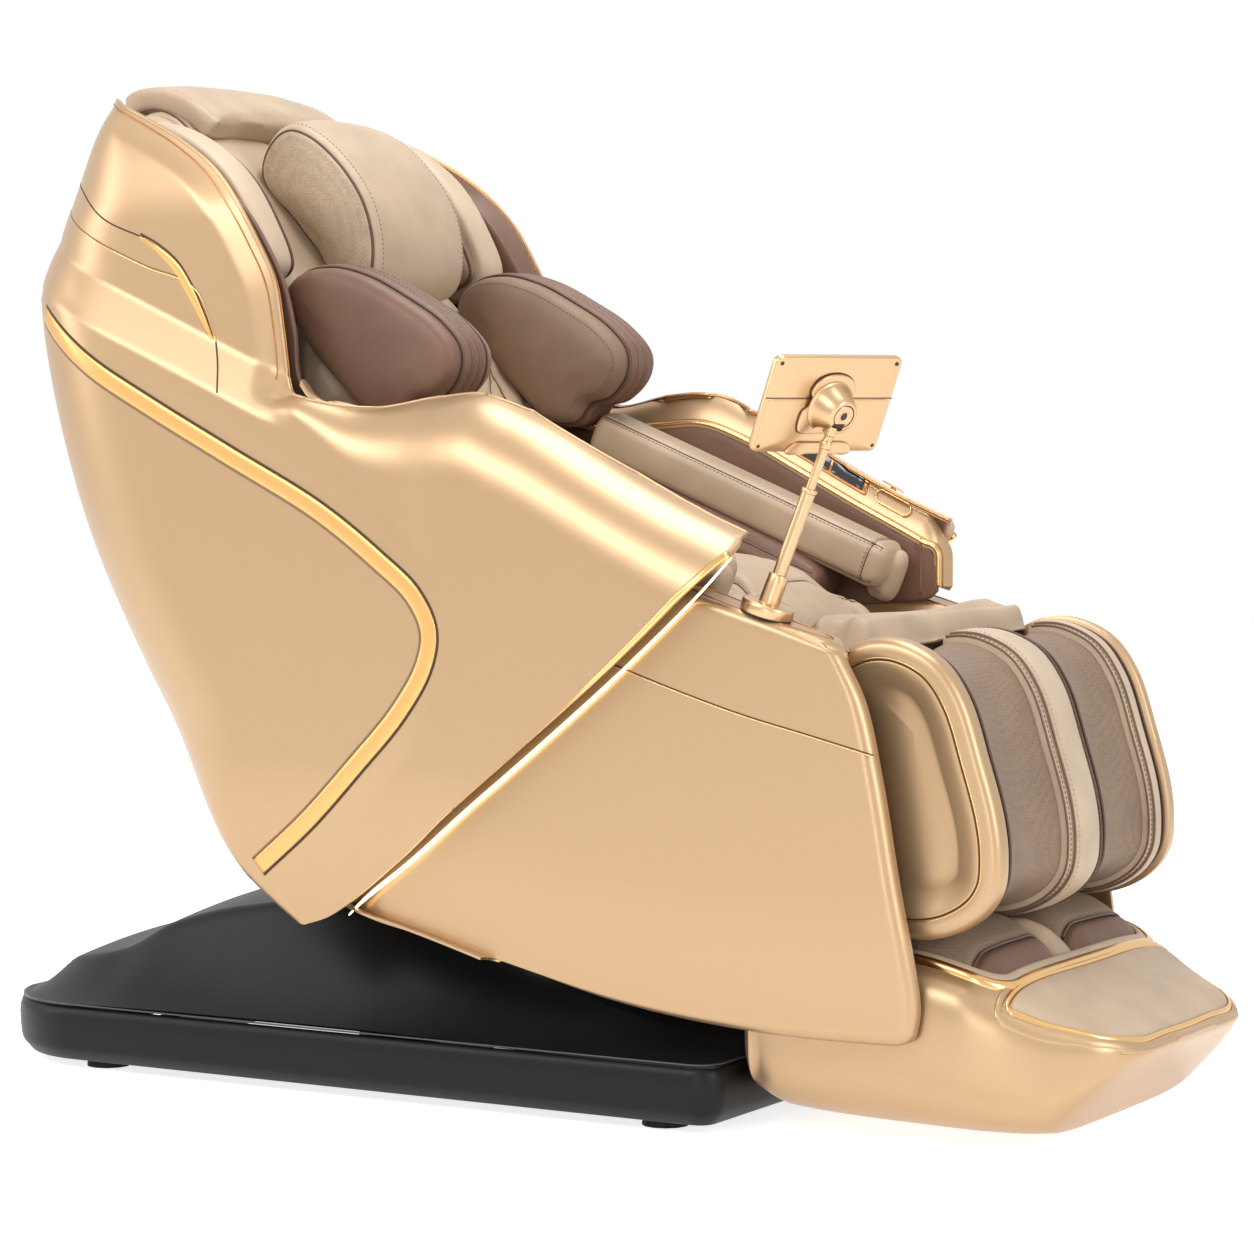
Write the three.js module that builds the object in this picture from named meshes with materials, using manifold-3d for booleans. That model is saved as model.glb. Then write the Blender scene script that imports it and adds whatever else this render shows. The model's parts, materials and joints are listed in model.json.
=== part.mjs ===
// Massage chair with a capsule-shaped body on a low base, as an assembly of separate closed solids.
// Millimetres. +X is the way the sitter faces, +Y the sitter's left, +Z up, the floor at z = 0.
// Everything is drawn in the hip frame, whose x is 0 near the front of the hip, and one last shift
// puts the origin at the middle of the footprint.
import * as THREE from "three";
import { mergeVertices } from "three/addons/utils/BufferGeometryUtils.js";
import Module from "manifold-3d";

const wasm = await Module();
wasm.setup();

// ---------------------------------------------------------------- driving dimensions
const GAP = 0.3; // between pieces that touch
const RUN = 0.4; // radial clearance of a turning or sliding fit
const SIDES = { right: -1, left: 1 };

const SHELL = { half: 365, lowIn: 15, footCorner: 70, corner: 220, topCorner: 110, power: 2.5, wall: 8, seamIn: 165, archTop: 430,
  archIn: 75, archRise: 60 };
// Half width of what lies a distance inside the shell's widest place.
const within = (distance) => SHELL.half - distance;
const SHELL_LOW = within(SHELL.lowIn); // half width of the shell at its foot
const SEAM_Y = within(SHELL.seamIn); // where the side shells meet the rear shell

const BASE = {
  rear: -830, front: 246, half: within(40), rearCorner: 150, frontCorner: 36,
  clearance: 12, seam: 80, wall: 12, coverWall: 5, lip: 2.5, slope: 100, pads: { r: 28, x: [-660, 150], y: within(103) },
};
// heights of the saddle-shaped cover along the middle
const COVER_TOP = [[-800, 118], [-765, 140], [-660, 168], [-586, 205], [-480, 232], [-380, 244], [-260, 242],
  [-120, 200], [60, 150], [230, 116]];
const COVER_CROWN = 42; // how far the cover's rim lies below its middle
const FRAME_TUBE = 30;
const RAIL_WALL = 4; // walls of the base frame's channels
const TILT = { x: -300, z: 292, shaft: 14, bracket: [within(233), within(217)], lug: [within(213), within(197)] }; // base to seat
const RECLINE = { x: -235, z: 365, pin: 12 }; // seat to back
const KNEE = { x: 370, z: 500, pin: 10 }; // seat to legrest
const SEAT_PLATE = [within(89), within(84)]; // side plates of the seat frame, distance from the middle
const BACK_PLATE = [within(77), within(71)]; // side plates of the back frame

const PANEL = { half: within(35), wall: 8, edge: 26, frontTaper: 30, taperFrom: 100, frontX: 490, rearTaper: 46, rearFrom: -190,
  rearX: -292 };
const PANEL_BOTTOM = [[-292, 232], [-146, 197], [101, 145], [300, 125], [440, 122]];
const PANEL_FRONT = [[489, 150], [480, 221], [464, 309], [445, 420], [424, 515], [392, 570]];
const SHELF = { x: [196, 392], inner: within(102), at: 286, top: 603, slope: 17, drop: 30, wall: 7 };
const LED = { r: 3.2, inset: 9 };

const SHELL_REAR = [[-350, 205], [-505, 309], [-634, 510], [-742, 727], [-797, 985], [-766, 1092], [-700, 1205]];
const SHELL_LED_EDGE = [[-300, 213], [-261, 227], [-164, 296], [-80, 365], [3, 431], [130, 536], [228, 626], [268, 668]];
const SHELL_CAP_EDGE = [[262, 690], [200, 716], [140, 745], [-20, 826], [-85, 848], [-150, 845],
  [-230, 832], [-300, 843]];
const SHELL_EAR_EDGE = [[-341, 870], [-348, 925], [-360, 985], [-383, 1030], [-412, 1075], [-456, 1122],
  [-510, 1158], [-575, 1189], [-636, 1214]];
const CAP_ROUND = 95; // radius of the rounding from the shell's side to the arm's top
const EAR = { inset: 30, low: [-682, 964], high: [-697, 1027], fall: 0.434, narrow: 62 };
const ACCENT = { width: 22, sunk: 2, proud: 4.4 };
const ACCENT_LINE = [[-700, 948], [-606, 884], [-515, 835], [-395, 775], [-265, 710], [-180, 653], [-131, 613],
  [-110, 572], [-117, 531], [-152, 476], [-209, 415], [-281, 345], [-362, 280]];

const SEAT = { x: [-92, 234], half: within(205), bottom: 450, side: 604, crown: 52, round: 42, pan: 5 };
const BACK = { foot: [-104, 606], lean: 39.7, length: 770, low: within(204), half: within(129), topHalf: within(175), w: [-58, -14], crown: 15 };
const PILLOW = { u: [484, 730], half: 106, w: [-0.6, 44], round: 20, crown: 12 };
const FLAP = { half: within(205), thick: 28 };
const FLAP_LINE = [[-562, 1196], [-600, 1222], [-645, 1240], [-690, 1241], [-712, 1234]];
const ARM = { start: [-214, 800], fall: 22, length: 452, high: 58, inner: within(175), outer: within(113.4), lowHigh: 46,
  lowInner: within(200), lowLength: 400, liner: within(113), linerEar: within(85.4), linerWall: 8, front: [249.4, 262] };
const SHOULDER = { inner: within(215), outer: within(114), round: 16 };
const SHOULDER_OUTLINE = [[-398, 982], [-366, 1010], [-317, 998], [-225, 948], [-172, 902], [-166, 868], [-190, 845],
  [-255, 842], [-326, 882], [-384, 948]];
const HEAD_SIDE = { inner: within(169), outer: within(85.8) };
const HEAD_SIDE_OUTLINE = [[-622, 1172], [-560, 1172], [-480, 1126], [-432, 1060], [-418, 1014], [-446, 986],
  [-520, 1010], [-600, 1084], [-636, 1134]];

const RAIL = { y: 112, u: [60, 580], w: [-154, -130], wide: 14 };
const CARRIAGE = { u: 290, long: 120, w: [-152, -140], wheel: 9 };
const KNEAD = { y: 58, reach: 78, roller: 30, w: -100, wide: 26, shaft: 8 };

const CALF = { plate: [within(131), within(103)], front: 572, bottom: 236, pad: 30, centre: 32, channel: [36, within(169)], rear: 402, channelBack: 428 };
const CALF_FRONT = [[384, 566], [413, 575], [450, 573], [494, 552], [525, 511], [549, 443], [568, 377], [573, 333],
  [569, 297], [550, 268], [510, 244], [461, 236], [398, 250]];
const FOOT = { half: within(93), wall: 6, power: 0.42, well: { x: [398, 562], half: within(133), floor: 120 } };
// x, how far the side is drawn in, underside and top of the foot shell
const FOOT_STATIONS = [[252, 14, 56, 200], [262, 4, 36, 218], [300, 0, 20, 228], [400, 0, 14, 229],
  [452, 0, 13, 226], [520, 2, 12, 212], [560, 12, 12, 192], [604, 32, 14, 168], [640, 55, 44, 150],
  [668, 76, 76, 136], [688, 107, 98, 126], [697, 152, 106, 121], [700, 212, 110, 118]];
const SLIDER = { x: [358, 382], y: within(215), wide: 20, top: 500, plate: 8 };
const KNEE_COVER = { inner: 88, outer: 106, reach: 128, half: within(159), from: 55, to: 178, round: 6,
  notch: { from: 132, half: 32 } };
const TRIM = { wide: 11, high: 6, sunk: 3, panel: 4 };

const TABLET = { at: [297, -within(72)], pole: [81, 26, 236], disc: [30, 15], socket: [13, 42], outer: [8, 132], inner: 5.6, rodFrom: 72,
  neck: 236, yaw: 66.4, tilt: 25.5, case: [182, 118, 9], ball: 9, cone: 30, standoff: 20 };
const ACTUATOR = { tail: [-20, 372], eye: [318, 398], tube: 22, rod: 9, body: [28, 296], rodFrom: 60, pin: 6 };
const KEYS = { x: [18, 146], y: [within(79), within(51)], thick: 3, sunk: 5 };
const BUTTON = { x: 166, y: within(65), r: [15, 8], stand: 2.4, stem: 3.4 };
const INLET = { y: -92, wide: 96, high: 34, z: 46, deep: 26, recess: 4 };

// ---------------------------------------------------------------- geometry helpers
const rad = THREE.MathUtils.degToRad;
const lerp = THREE.MathUtils.lerp;
const clamp = THREE.MathUtils.clamp;
const smooth = (t) => THREE.MathUtils.smoothstep(t, 0, 1);

// Points spaced evenly along the smooth curve through the given ones.
function smoothLine(points, count, closed = false) {
  const curve = new THREE.CatmullRomCurve3(points.map(([a, b]) => new THREE.Vector3(a, b, 0)), closed, "centripetal");
  const list = curve.getSpacedPoints(closed ? count : count - 1).map((p) => [p.x, p.y]);
  if (closed) list.pop();
  return list;
}

// Value at `at` of the broken line through [place, value] pairs.
function along(pairs, at) {
  const last = pairs.length - 1;
  if (at <= pairs[0][0]) return pairs[0][1];
  for (let i = 0; i < last; i++) {
    const [a, va] = pairs[i], [b, vb] = pairs[i + 1];
    if (at <= b) return lerp(va, vb, (at - a) / (b - a));
  }
  return pairs[last][1];
}

// An indexed closed geometry whose faces point out, whichever way the faces were listed.
function closed(points, faces) {
  let six = 0;
  for (const [a, b, c] of faces) {
    const [p, q, r] = [points[a], points[b], points[c]];
    six += p[0] * (q[1] * r[2] - q[2] * r[1]) + p[1] * (q[2] * r[0] - q[0] * r[2]) + p[2] * (q[0] * r[1] - q[1] * r[0]);
  }
  const out = six < 0 ? faces.map(([a, b, c]) => [a, c, b]) : faces;
  const g = new THREE.BufferGeometry();
  g.setAttribute("position", new THREE.BufferAttribute(new Float32Array(points.flat()), 3));
  g.setIndex(out.flat());
  return g;
}

// Rings of equal length joined one to the next; the ends get fans, or the last ring joins the first.
function loft(rings, ringShaped = false) {
  const n = rings[0].length, points = rings.flat(), faces = [];
  const pairs = ringShaped ? rings.length : rings.length - 1;
  for (let r = 0; r < pairs; r++) {
    const a = r * n, b = ((r + 1) % rings.length) * n;
    for (let i = 0; i < n; i++) {
      const j = (i + 1) % n;
      faces.push([a + i, a + j, b + j], [a + i, b + j, b + i]);
    }
  }
  if (!ringShaped) {
    for (const [ring, start, flip] of [[rings[0], 0, true], [rings.at(-1), (rings.length - 1) * n, false]]) {
      const mid = [0, 1, 2].map((k) => ring.reduce((s, p) => s + p[k], 0) / n);
      const c = points.push(mid) - 1;
      for (let i = 0; i < n; i++) {
        const [p, q] = [start + i, start + ((i + 1) % n)];
        faces.push(flip ? [c, q, p] : [c, p, q]);
      }
    }
  }
  return closed(points, faces);
}

// A sheet of even thickness behind a grid of points; side = 1 or -1 picks the side it grows to, and
// `keep` holds the points of its back within their bounds.
function sheet(grid, wall, side = 1, keep = (point) => point) {
  const rows = grid.length, cols = grid[0].length;
  const at = (r, c) => new THREE.Vector3(...grid[clamp(r, 0, rows - 1)][clamp(c, 0, cols - 1)]);
  const back = grid.map((row, r) => row.map((p, c) => {
    const du = at(r, c + 1).sub(at(r, c - 1)), dv = at(r + 1, c).sub(at(r - 1, c));
    const n = du.cross(dv).normalize().multiplyScalar(wall * side);
    return keep([p[0] + n.x, p[1] + n.y, p[2] + n.z]);
  }));
  const points = [...grid.flat(), ...back.flat()], faces = [], half = rows * cols;
  const id = (r, c) => r * cols + c;
  for (let r = 0; r + 1 < rows; r++)
    for (let c = 0; c + 1 < cols; c++) {
      const [a, b, d, e] = [id(r, c), id(r, c + 1), id(r + 1, c + 1), id(r + 1, c)];
      faces.push([a, b, d], [a, d, e], [half + a, half + d, half + b], [half + a, half + e, half + d]);
    }
  const rim = [];
  for (let c = 0; c < cols; c++) rim.push(id(0, c));
  for (let r = 1; r < rows; r++) rim.push(id(r, cols - 1));
  for (let c = cols - 2; c >= 0; c--) rim.push(id(rows - 1, c));
  for (let r = rows - 2; r > 0; r--) rim.push(id(r, 0));
  rim.forEach((a, i) => {
    const b = rim[(i + 1) % rim.length];
    faces.push([b, a, half + a], [b, half + a, half + b]);
  });
  return closed(points, faces);
}

// The outline moved inwards by a distance, corner by corner.
function inset(outline, distance) {
  const n = outline.length;
  const area = outline.reduce((s, [x, y], i) => s + x * outline[(i + 1) % n][1] - y * outline[(i + 1) % n][0], 0);
  const turn = Math.sign(area);
  return outline.map(([x, y], i) => {
    const [px, py] = outline[(i + n - 1) % n], [qx, qy] = outline[(i + 1) % n];
    const a = new THREE.Vector2(-(y - py), x - px).normalize(), b = new THREE.Vector2(-(qy - y), qx - x).normalize();
    const m = a.clone().add(b).normalize();
    const d = (turn * distance) / Math.max(0.55, m.dot(a));
    return [x + m.x * d, y + m.y * d];
  });
}

function shrink(outline, share) {
  const mid = [0, 1].map((k) => outline.reduce((s, p) => s + p[k], 0) / outline.length);
  return outline.map(([x, y]) => [lerp(mid[0], x, share), lerp(mid[1], y, share)]);
}

// A padded or moulded slab over an outline (u, v), from thickness w0 to w1, with rounded edges and
// crowned faces. `place` turns (u, v, w) into a point, `dent` thins the pad where it is sewn.
function slab(outline, w0, w1, { round = 6, crown = 0, crownBack = 0, place, dent, steps = 2 }) {
  const corner = Array.from({ length: steps + 1 }, (_, i) => rad((90 * i) / steps));
  const inner = inset(outline, round);
  const face = (w, sign, rise, shares) => shares.map((s) => ({ o: shrink(inner, s), w: w + sign * rise * (1 - s * s) }));
  const low = [...face(w0, -1, crownBack, crownBack ? [0.6] : []), ...corner.toReversed().map((a) => (
    { o: inset(outline, round * (1 - Math.cos(a))), w: w0 + round * (1 - Math.sin(a)) }))];
  const high = [...corner.map((a) => (
    { o: inset(outline, round * (1 - Math.cos(a))), w: w1 - round * (1 - Math.sin(a)) })), ...face(w1, 1, crown, dent ? [0.84, 0.66, 0.48, 0.3, 0.14] : crown ? [0.6] : [])];
  const left = (u, v) => (dent ? 1 - dent(u, v) / (w1 - w0) : 1);
  const rings = [...low, ...high].map(({ o, w }) => o.map(([u, v]) => place(u, v, w0 + (w - w0) * left(u, v))));
  return loft(rings);
}

const inXZ = (side) => (u, v, w) => [u, side * w, v]; // outline in x and z, thickness outwards
const inXY = (u, v, w) => [u, v, w];

function roundedBox(u0, u1, v0, v1, r, perCorner = 4) {
  const out = [];
  for (const [cu, cv, from] of [[u1 - r, v1 - r, 0], [u0 + r, v1 - r, 90], [u0 + r, v0 + r, 180], [u1 - r, v0 + r, 270]])
    for (let i = 0; i <= perCorner; i++) {
      const a = rad(from + (90 * i) / perCorner);
      out.push([cu + r * Math.cos(a), cv + r * Math.sin(a)]);
    }
  return out;
}

// A closed outline of straight sides with each corner rounded off, starting `cut` before it.
function softened(points, cutBack, perCorner = 2) {
  const n = points.length, out = [];
  points.forEach((p, i) => {
    const a = new THREE.Vector2(...points[(i + n - 1) % n]), b = new THREE.Vector2(...p);
    const c = new THREE.Vector2(...points[(i + 1) % n]);
    const from = b.clone().lerp(a, Math.min(0.48, cutBack / b.distanceTo(a)));
    const to = b.clone().lerp(c, Math.min(0.48, cutBack / b.distanceTo(c)));
    const bend = new THREE.QuadraticBezierCurve(from, b, to);
    for (let k = 0; k <= perCorner; k++) out.push(bend.getPoint(k / perCorner).toArray());
  });
  return out;
}

function box(x0, x1, y0, y1, z0, z1) {
  const ring = (z) => [[x0, y0, z], [x1, y0, z], [x1, y1, z], [x0, y1, z]];
  return loft([ring(z0), ring(z1)]);
}

// A round bar between two points, with a radius at each end.
function bar(from, to, r0, r1 = r0, sides = 12) {
  const a = new THREE.Vector3(...from), b = new THREE.Vector3(...to), d = b.clone().sub(a).normalize();
  const e = new THREE.Vector3(...(Math.abs(d.z) > 0.9 ? [1, 0, 0] : [0, 0, 1])).cross(d).normalize();
  const f = d.clone().cross(e);
  const ring = (c, r) => Array.from({ length: sides }, (_, i) => {
    const t = (2 * Math.PI * i) / sides;
    return c.clone().addScaledVector(e, r * Math.cos(t)).addScaledVector(f, r * Math.sin(t)).toArray();
  });
  return loft([ring(a, r0), ring(b, r1)]);
}

// A round hole for a pin or shaft: the flats of its wall keep the running clearance.
const hole = (from, to, r, sides = 12) => bar(from, to, (r + RUN) / Math.cos(Math.PI / sides), undefined, sides);

// A turned piece: [distance along the axis, radius] pairs from one point in one direction.
function turned(from, dir, profile, sides = 16) {
  const a = new THREE.Vector3(...from), d = new THREE.Vector3(...dir).normalize();
  const e = new THREE.Vector3(...(Math.abs(d.z) > 0.9 ? [1, 0, 0] : [0, 0, 1])).cross(d).normalize();
  const f = d.clone().cross(e);
  return loft(profile.map(([h, r]) => Array.from({ length: sides }, (_, i) => {
    const t = (2 * Math.PI * i) / sides;
    return a.clone().addScaledVector(d, h).addScaledVector(e, r * Math.cos(t)).addScaledVector(f, r * Math.sin(t)).toArray();
  })));
}

// A flat plate over an outline (u, v) of any shape, between two levels of w.
function prism(drawn, w0, w1, place) {
  const corners = drawn.map(([u, v]) => new THREE.Vector2(u, v));
  const outline = THREE.ShapeUtils.isClockWise(corners) ? drawn.toReversed() : drawn;
  const flat = THREE.ShapeUtils.triangulateShape(outline.map(([u, v]) => new THREE.Vector2(u, v)), []);
  const n = outline.length, faces = [];
  const points = [w0, w1].flatMap((w) => outline.map(([u, v]) => place(u, v, w)));
  for (const [a, b, c] of flat) faces.push([a, b, c], [n + a, n + c, n + b]);
  for (let i = 0; i < n; i++) {
    const j = (i + 1) % n;
    faces.push([j, i, n + i], [j, n + i, n + j]);
  }
  return closed(points, faces);
}

const plate = (outline, y0, y1) => prism(outline, y0, y1, (x, z, y) => [x, y, z]);

function solid(geometry) {
  const g = mergeVertices(geometry.index ? geometry.clone() : geometry, 1e-4);
  return new wasm.Manifold(new wasm.Mesh({
    numProp: 3, vertProperties: g.attributes.position.array, triVerts: new Uint32Array(g.index.array),
  }));
}

function geometryOf(manifold) {
  const m = manifold.getMesh(), g = new THREE.BufferGeometry();
  g.setAttribute("position", new THREE.BufferAttribute(new Float32Array(m.vertProperties), 3));
  g.setIndex(new THREE.BufferAttribute(new Uint32Array(m.triVerts), 1));
  return g;
}

const unite = (...parts) => geometryOf(parts.map(solid).reduce((a, b) => a.add(b)));
const cut = (from, ...tools) => geometryOf(tools.map(solid).reduce((a, b) => a.subtract(b), solid(from)));

// ---------------------------------------------------------------- materials
const finish = (color, roughness, metalness) => new THREE.MeshStandardMaterial({ color, roughness, metalness });
const MAT = {
  gold: finish(0xcda982, 0.32, 0.75), accent: finish(0xe1af64, 0.2, 0.95), black: finish(0x1d1d1d, 0.45, 0.1),
  steel: finish(0x6f7276, 0.4, 0.9), rubber: finish(0x161616, 0.9, 0), beige: finish(0xcdb9a5, 0.55, 0),
  taupe: finish(0x96826e, 0.6, 0), brown: finish(0x7d5f50, 0.6, 0), light: finish(0xfff1d0, 0.4, 0),
  glass: finish(0x0b0d10, 0.1, 0), grey: finish(0x4a4a4a, 0.5, 0.2),
};

const chair = new THREE.Group();
function add(name, geometry, material) {
  const mesh = new THREE.Mesh(geometry, material);
  mesh.name = name;
  chair.add(mesh);
  return mesh;
}

// ---------------------------------------------------------------- base
// Plan outline of the base: wide rounded corners at the rear, small ones at the front.
function basePlan(shift) {
  const out = [], { rear, front, half, rearCorner, frontCorner } = BASE;
  const corners = [[front, half, frontCorner, 0], [rear, half, rearCorner, 90], [rear, -half, rearCorner, 180],
    [front, -half, frontCorner, 270]];
  for (const [x, y, r, from] of corners) {
    const cx = x - Math.sign(x - (rear + front) / 2) * r, cy = y - Math.sign(y) * r;
    for (let i = 0; i <= 5; i++) {
      const a = rad(from + 18 * i);
      out.push([cx + r * Math.cos(a), cy + r * Math.sin(a)]);
    }
  }
  return inset(out, shift);
}

// Half width of the base at x, inside the plan outline.
function baseHalf(x) {
  const corner = (edge, r) => {
    const t = clamp(1 - Math.abs(x - edge) / r, 0, 1);
    return r * (1 - Math.sqrt(1 - t * t));
  };
  const { rear, front, half, rearCorner, frontCorner } = BASE;
  return half - corner(rear, rearCorner) - corner(front, frontCorner);
}

// Height of the cover's outer surface.
function coverHeight(x, y) {
  const top = along(COVER_TOP, x) - COVER_CROWN * (Math.abs(y) / BASE.half) ** 1.6;
  const fromEdge = Math.min((x - BASE.rear) * 1.45, (BASE.front - x) * 4, baseHalf(x) - Math.abs(y));
  const rise = clamp(fromEdge / BASE.slope, 0, 1) ** 1.25;
  return lerp(BASE.seam + GAP + BASE.lip, Math.max(top, BASE.seam + 6), rise);
}

function base() {
  const levels = [[BASE.clearance, 16], [26, 4], [50, 0], [BASE.seam, 7]];
  const ring = ([z, shift], extra) => basePlan(shift + extra).map(([x, y]) => [x, y, z]);
  const wall = [...levels.map((l) => ring(l, 0)), ...levels.toReversed().map((l) => ring(l, BASE.wall))];
  const plinthRear = BASE.rear + INLET.recess;
  const socket = box(BASE.rear - 5, plinthRear + INLET.deep, INLET.y - INLET.wide / 2, INLET.y + INLET.wide / 2,
    INLET.z - INLET.high / 2, INLET.z + INLET.high / 2);
  add("base_plinth", cut(loft(wall, true), socket), MAT.black);

  const fromRear = [8, 30, 60, 100, 160, 240, 320, 400, 490, 590, 730].map((d) => BASE.rear + d);
  const xs = [...fromRear, ...[186, 66, 20, 7].map((d) => BASE.front - d)];
  const across = [-1, -0.9, -0.8, -0.68, -0.4, 0, 0.4, 0.68, 0.8, 0.9, 1];
  const grid = xs.map((x) => across.map((s) => {
    const y = s * (baseHalf(x) - 7);
    return [x, y, coverHeight(x, y)];
  }));
  const window = box(TILT.x - 78, TILT.x + 78, -TILT.lug[1] - 12, TILT.lug[1] + 12, 150, 400);
  const aboveSeam = ([x, y, z]) => [x, y, Math.max(z, BASE.seam + GAP)];
  add("base_cover", cut(sheet(grid, BASE.coverWall, 1, aboveSeam), window), MAT.black);

  const rail = FRAME_TUBE, low = BASE.clearance + 4, railY = within(129), reach = BASE.half - 25.1;
  const parts = [];
  for (const s of Object.values(SIDES)) {
    parts.push(box(-720, 190, s * railY - rail / 2, s * railY + rail / 2, low, low + rail));
    const [b0, b1] = TILT.bracket;
    const web = [[TILT.x - 60, low], [TILT.x + 60, low], [TILT.x + 22, TILT.z - 10], [TILT.x + 14, TILT.z + 18],
      [TILT.x - 14, TILT.z + 18], [TILT.x - 22, TILT.z - 10]];
    const bore = hole([TILT.x, s * (b0 - 5), TILT.z], [TILT.x, s * (b1 + 5), TILT.z], TILT.shaft);
    parts.push(cut(plate(web, s * b0, s * b1), bore));
  }
  const cross = [[BASE.pads.x[0] + 5, reach], [TILT.x - 30, railY], [TILT.x + 30, railY], [BASE.pads.x[1], reach]];
  for (const [x, far] of cross) parts.push(box(x - rail / 2, x + rail / 2, -far, far, low, low + rail));
  // the rails are channels, open below
  const open = rail / 2 - RAIL_WALL, top = low + rail - RAIL_WALL;
  const troughs = [-railY, railY].map((y) => box(-720 + RAIL_WALL, 190 - RAIL_WALL, y - open, y + open, low - 1, top));
  for (const [x, far] of cross) troughs.push(box(x - open, x + open, RAIL_WALL - far, far - RAIL_WALL, low - 1, top));
  add("base_frame", cut(unite(...parts), ...troughs), MAT.steel);

  for (const [name, s] of Object.entries(SIDES)) {
    const y = s * BASE.pads.y, [a, b] = BASE.pads.x, under = low - GAP;
    const pads = [a, b].map((x) => bar([x, y, 0], [x, y, under], BASE.pads.r, BASE.pads.r - 2, 12));
    add(`floor_pads_${name}`, unite(...pads, box(a, b, y - 8, y + 8, under - 6, under)), MAT.rubber);
  }

  const x0 = plinthRear, x1 = plinthRear + INLET.deep - GAP;
  const y0 = INLET.y - INLET.wide / 2 + GAP, y1 = INLET.y + INLET.wide / 2 - GAP;
  const z0 = INLET.z - INLET.high / 2 + GAP, z1 = INLET.z + INLET.high / 2 - GAP;
  const inletHole = box(x0 - 5, x1 - 6, y0 + 8, y0 + 50, INLET.z - 11, INLET.z + 11);
  const switchHole = box(x0 - 5, x1 - 4, y1 - 31.4, y1 - 8.6, INLET.z - 14, INLET.z + 14);
  const blades = [-12, 0, 12].map((d, i) => box(x1 - 16, x1 - 5, y0 + 28 + d, y0 + 31 + d, INLET.z - 4 + (i % 2) * 3,
    INLET.z + (i % 2) * 3));
  add("power_inlet", unite(cut(box(x0, x1, y0, y1, z0, z1), inletHole, switchHole), ...blades), MAT.grey);
  const rocker = [[-10.5, -10], [-8.7, 0], [-7, 10], [2, 8], [3, 0], [2, -8]];
  const yc = y1 - 20, end = (y) => rocker.map(([u, v]) => [x0 + 13 + u, y, INLET.z + v]);
  add("power_switch", loft([end(yc - 11), end(yc + 11)]), MAT.rubber);
}

// ---------------------------------------------------------------- seat and lower side panels
// Outer face of a side panel: flat, drawn in towards the front.
const panelFace = (x) => PANEL.half
  - PANEL.frontTaper * Math.max(0, (x - PANEL.taperFrom) / (PANEL.frontX - PANEL.taperFrom)) ** 2
  - PANEL.rearTaper * Math.max(0, (x - PANEL.rearFrom) / (PANEL.rearX - PANEL.rearFrom)) ** 2;

function panelOutline(drop) {
  const hidden = SHELL_LED_EDGE.slice(1, 7).map(([x, z]) => [x - 26, z + 14]).reverse();
  const top = [380, 344, 290, 228].map((x) => [x, shelfTop(x) - 1.5 - drop]);
  const front = smoothLine(PANEL_FRONT.map(([x, z]) => [x, z - (drop * z) / SHELF.top]), 7);
  return [...smoothLine(PANEL_BOTTOM, 8), ...front, ...top.slice(1), ...hidden.slice(1)];
}

// A dished skin: from the middle of its outer face to the rim, and back to the middle inside.
function panel(side, drop) {
  const outline = panelOutline(drop), { edge, wall } = PANEL, core = inset(outline, edge);
  const bend = (d) => edge - Math.sqrt(Math.max(0, edge ** 2 - (edge - d) ** 2));
  const face = (o, w) => o.map(([x, z]) => [x, side * (panelFace(x) - w), z]);
  const outer = [0, 6, edge].map((d) => face(inset(outline, d), bend(d)));
  const inner = [wall, edge].map((d) => face(inset(outline, d), bend(Math.max(0, d - wall + 2)) + wall * (d > wall)));
  const crown = [shrink(core, 0.45)];
  return loft([...crown.toReversed().map((o) => face(o, 0)), ...outer.toReversed(), ...inner,
    ...crown.map((o) => face(o, wall))]);
}

const poleDir = () => new THREE.Vector3(...TABLET.pole).normalize().toArray();
const shelfDir = () => [Math.sin(rad(SHELF.slope)), 0, Math.cos(rad(SHELF.slope))];
// Height of the shelf's top at x.
const shelfTop = (x) => SHELF.top - (x - SHELF.at) * Math.tan(rad(SHELF.slope));

const socketFoot = () => [TABLET.at[0], TABLET.at[1], shelfTop(TABLET.at[0]) + GAP];
// A point on the pole's axis, at a height above the disc's middle.
const polePoint = (h) => poleDir().map((d, k) => socketFoot()[k] + shelfDir()[k] * 6 + d * h);

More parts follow.
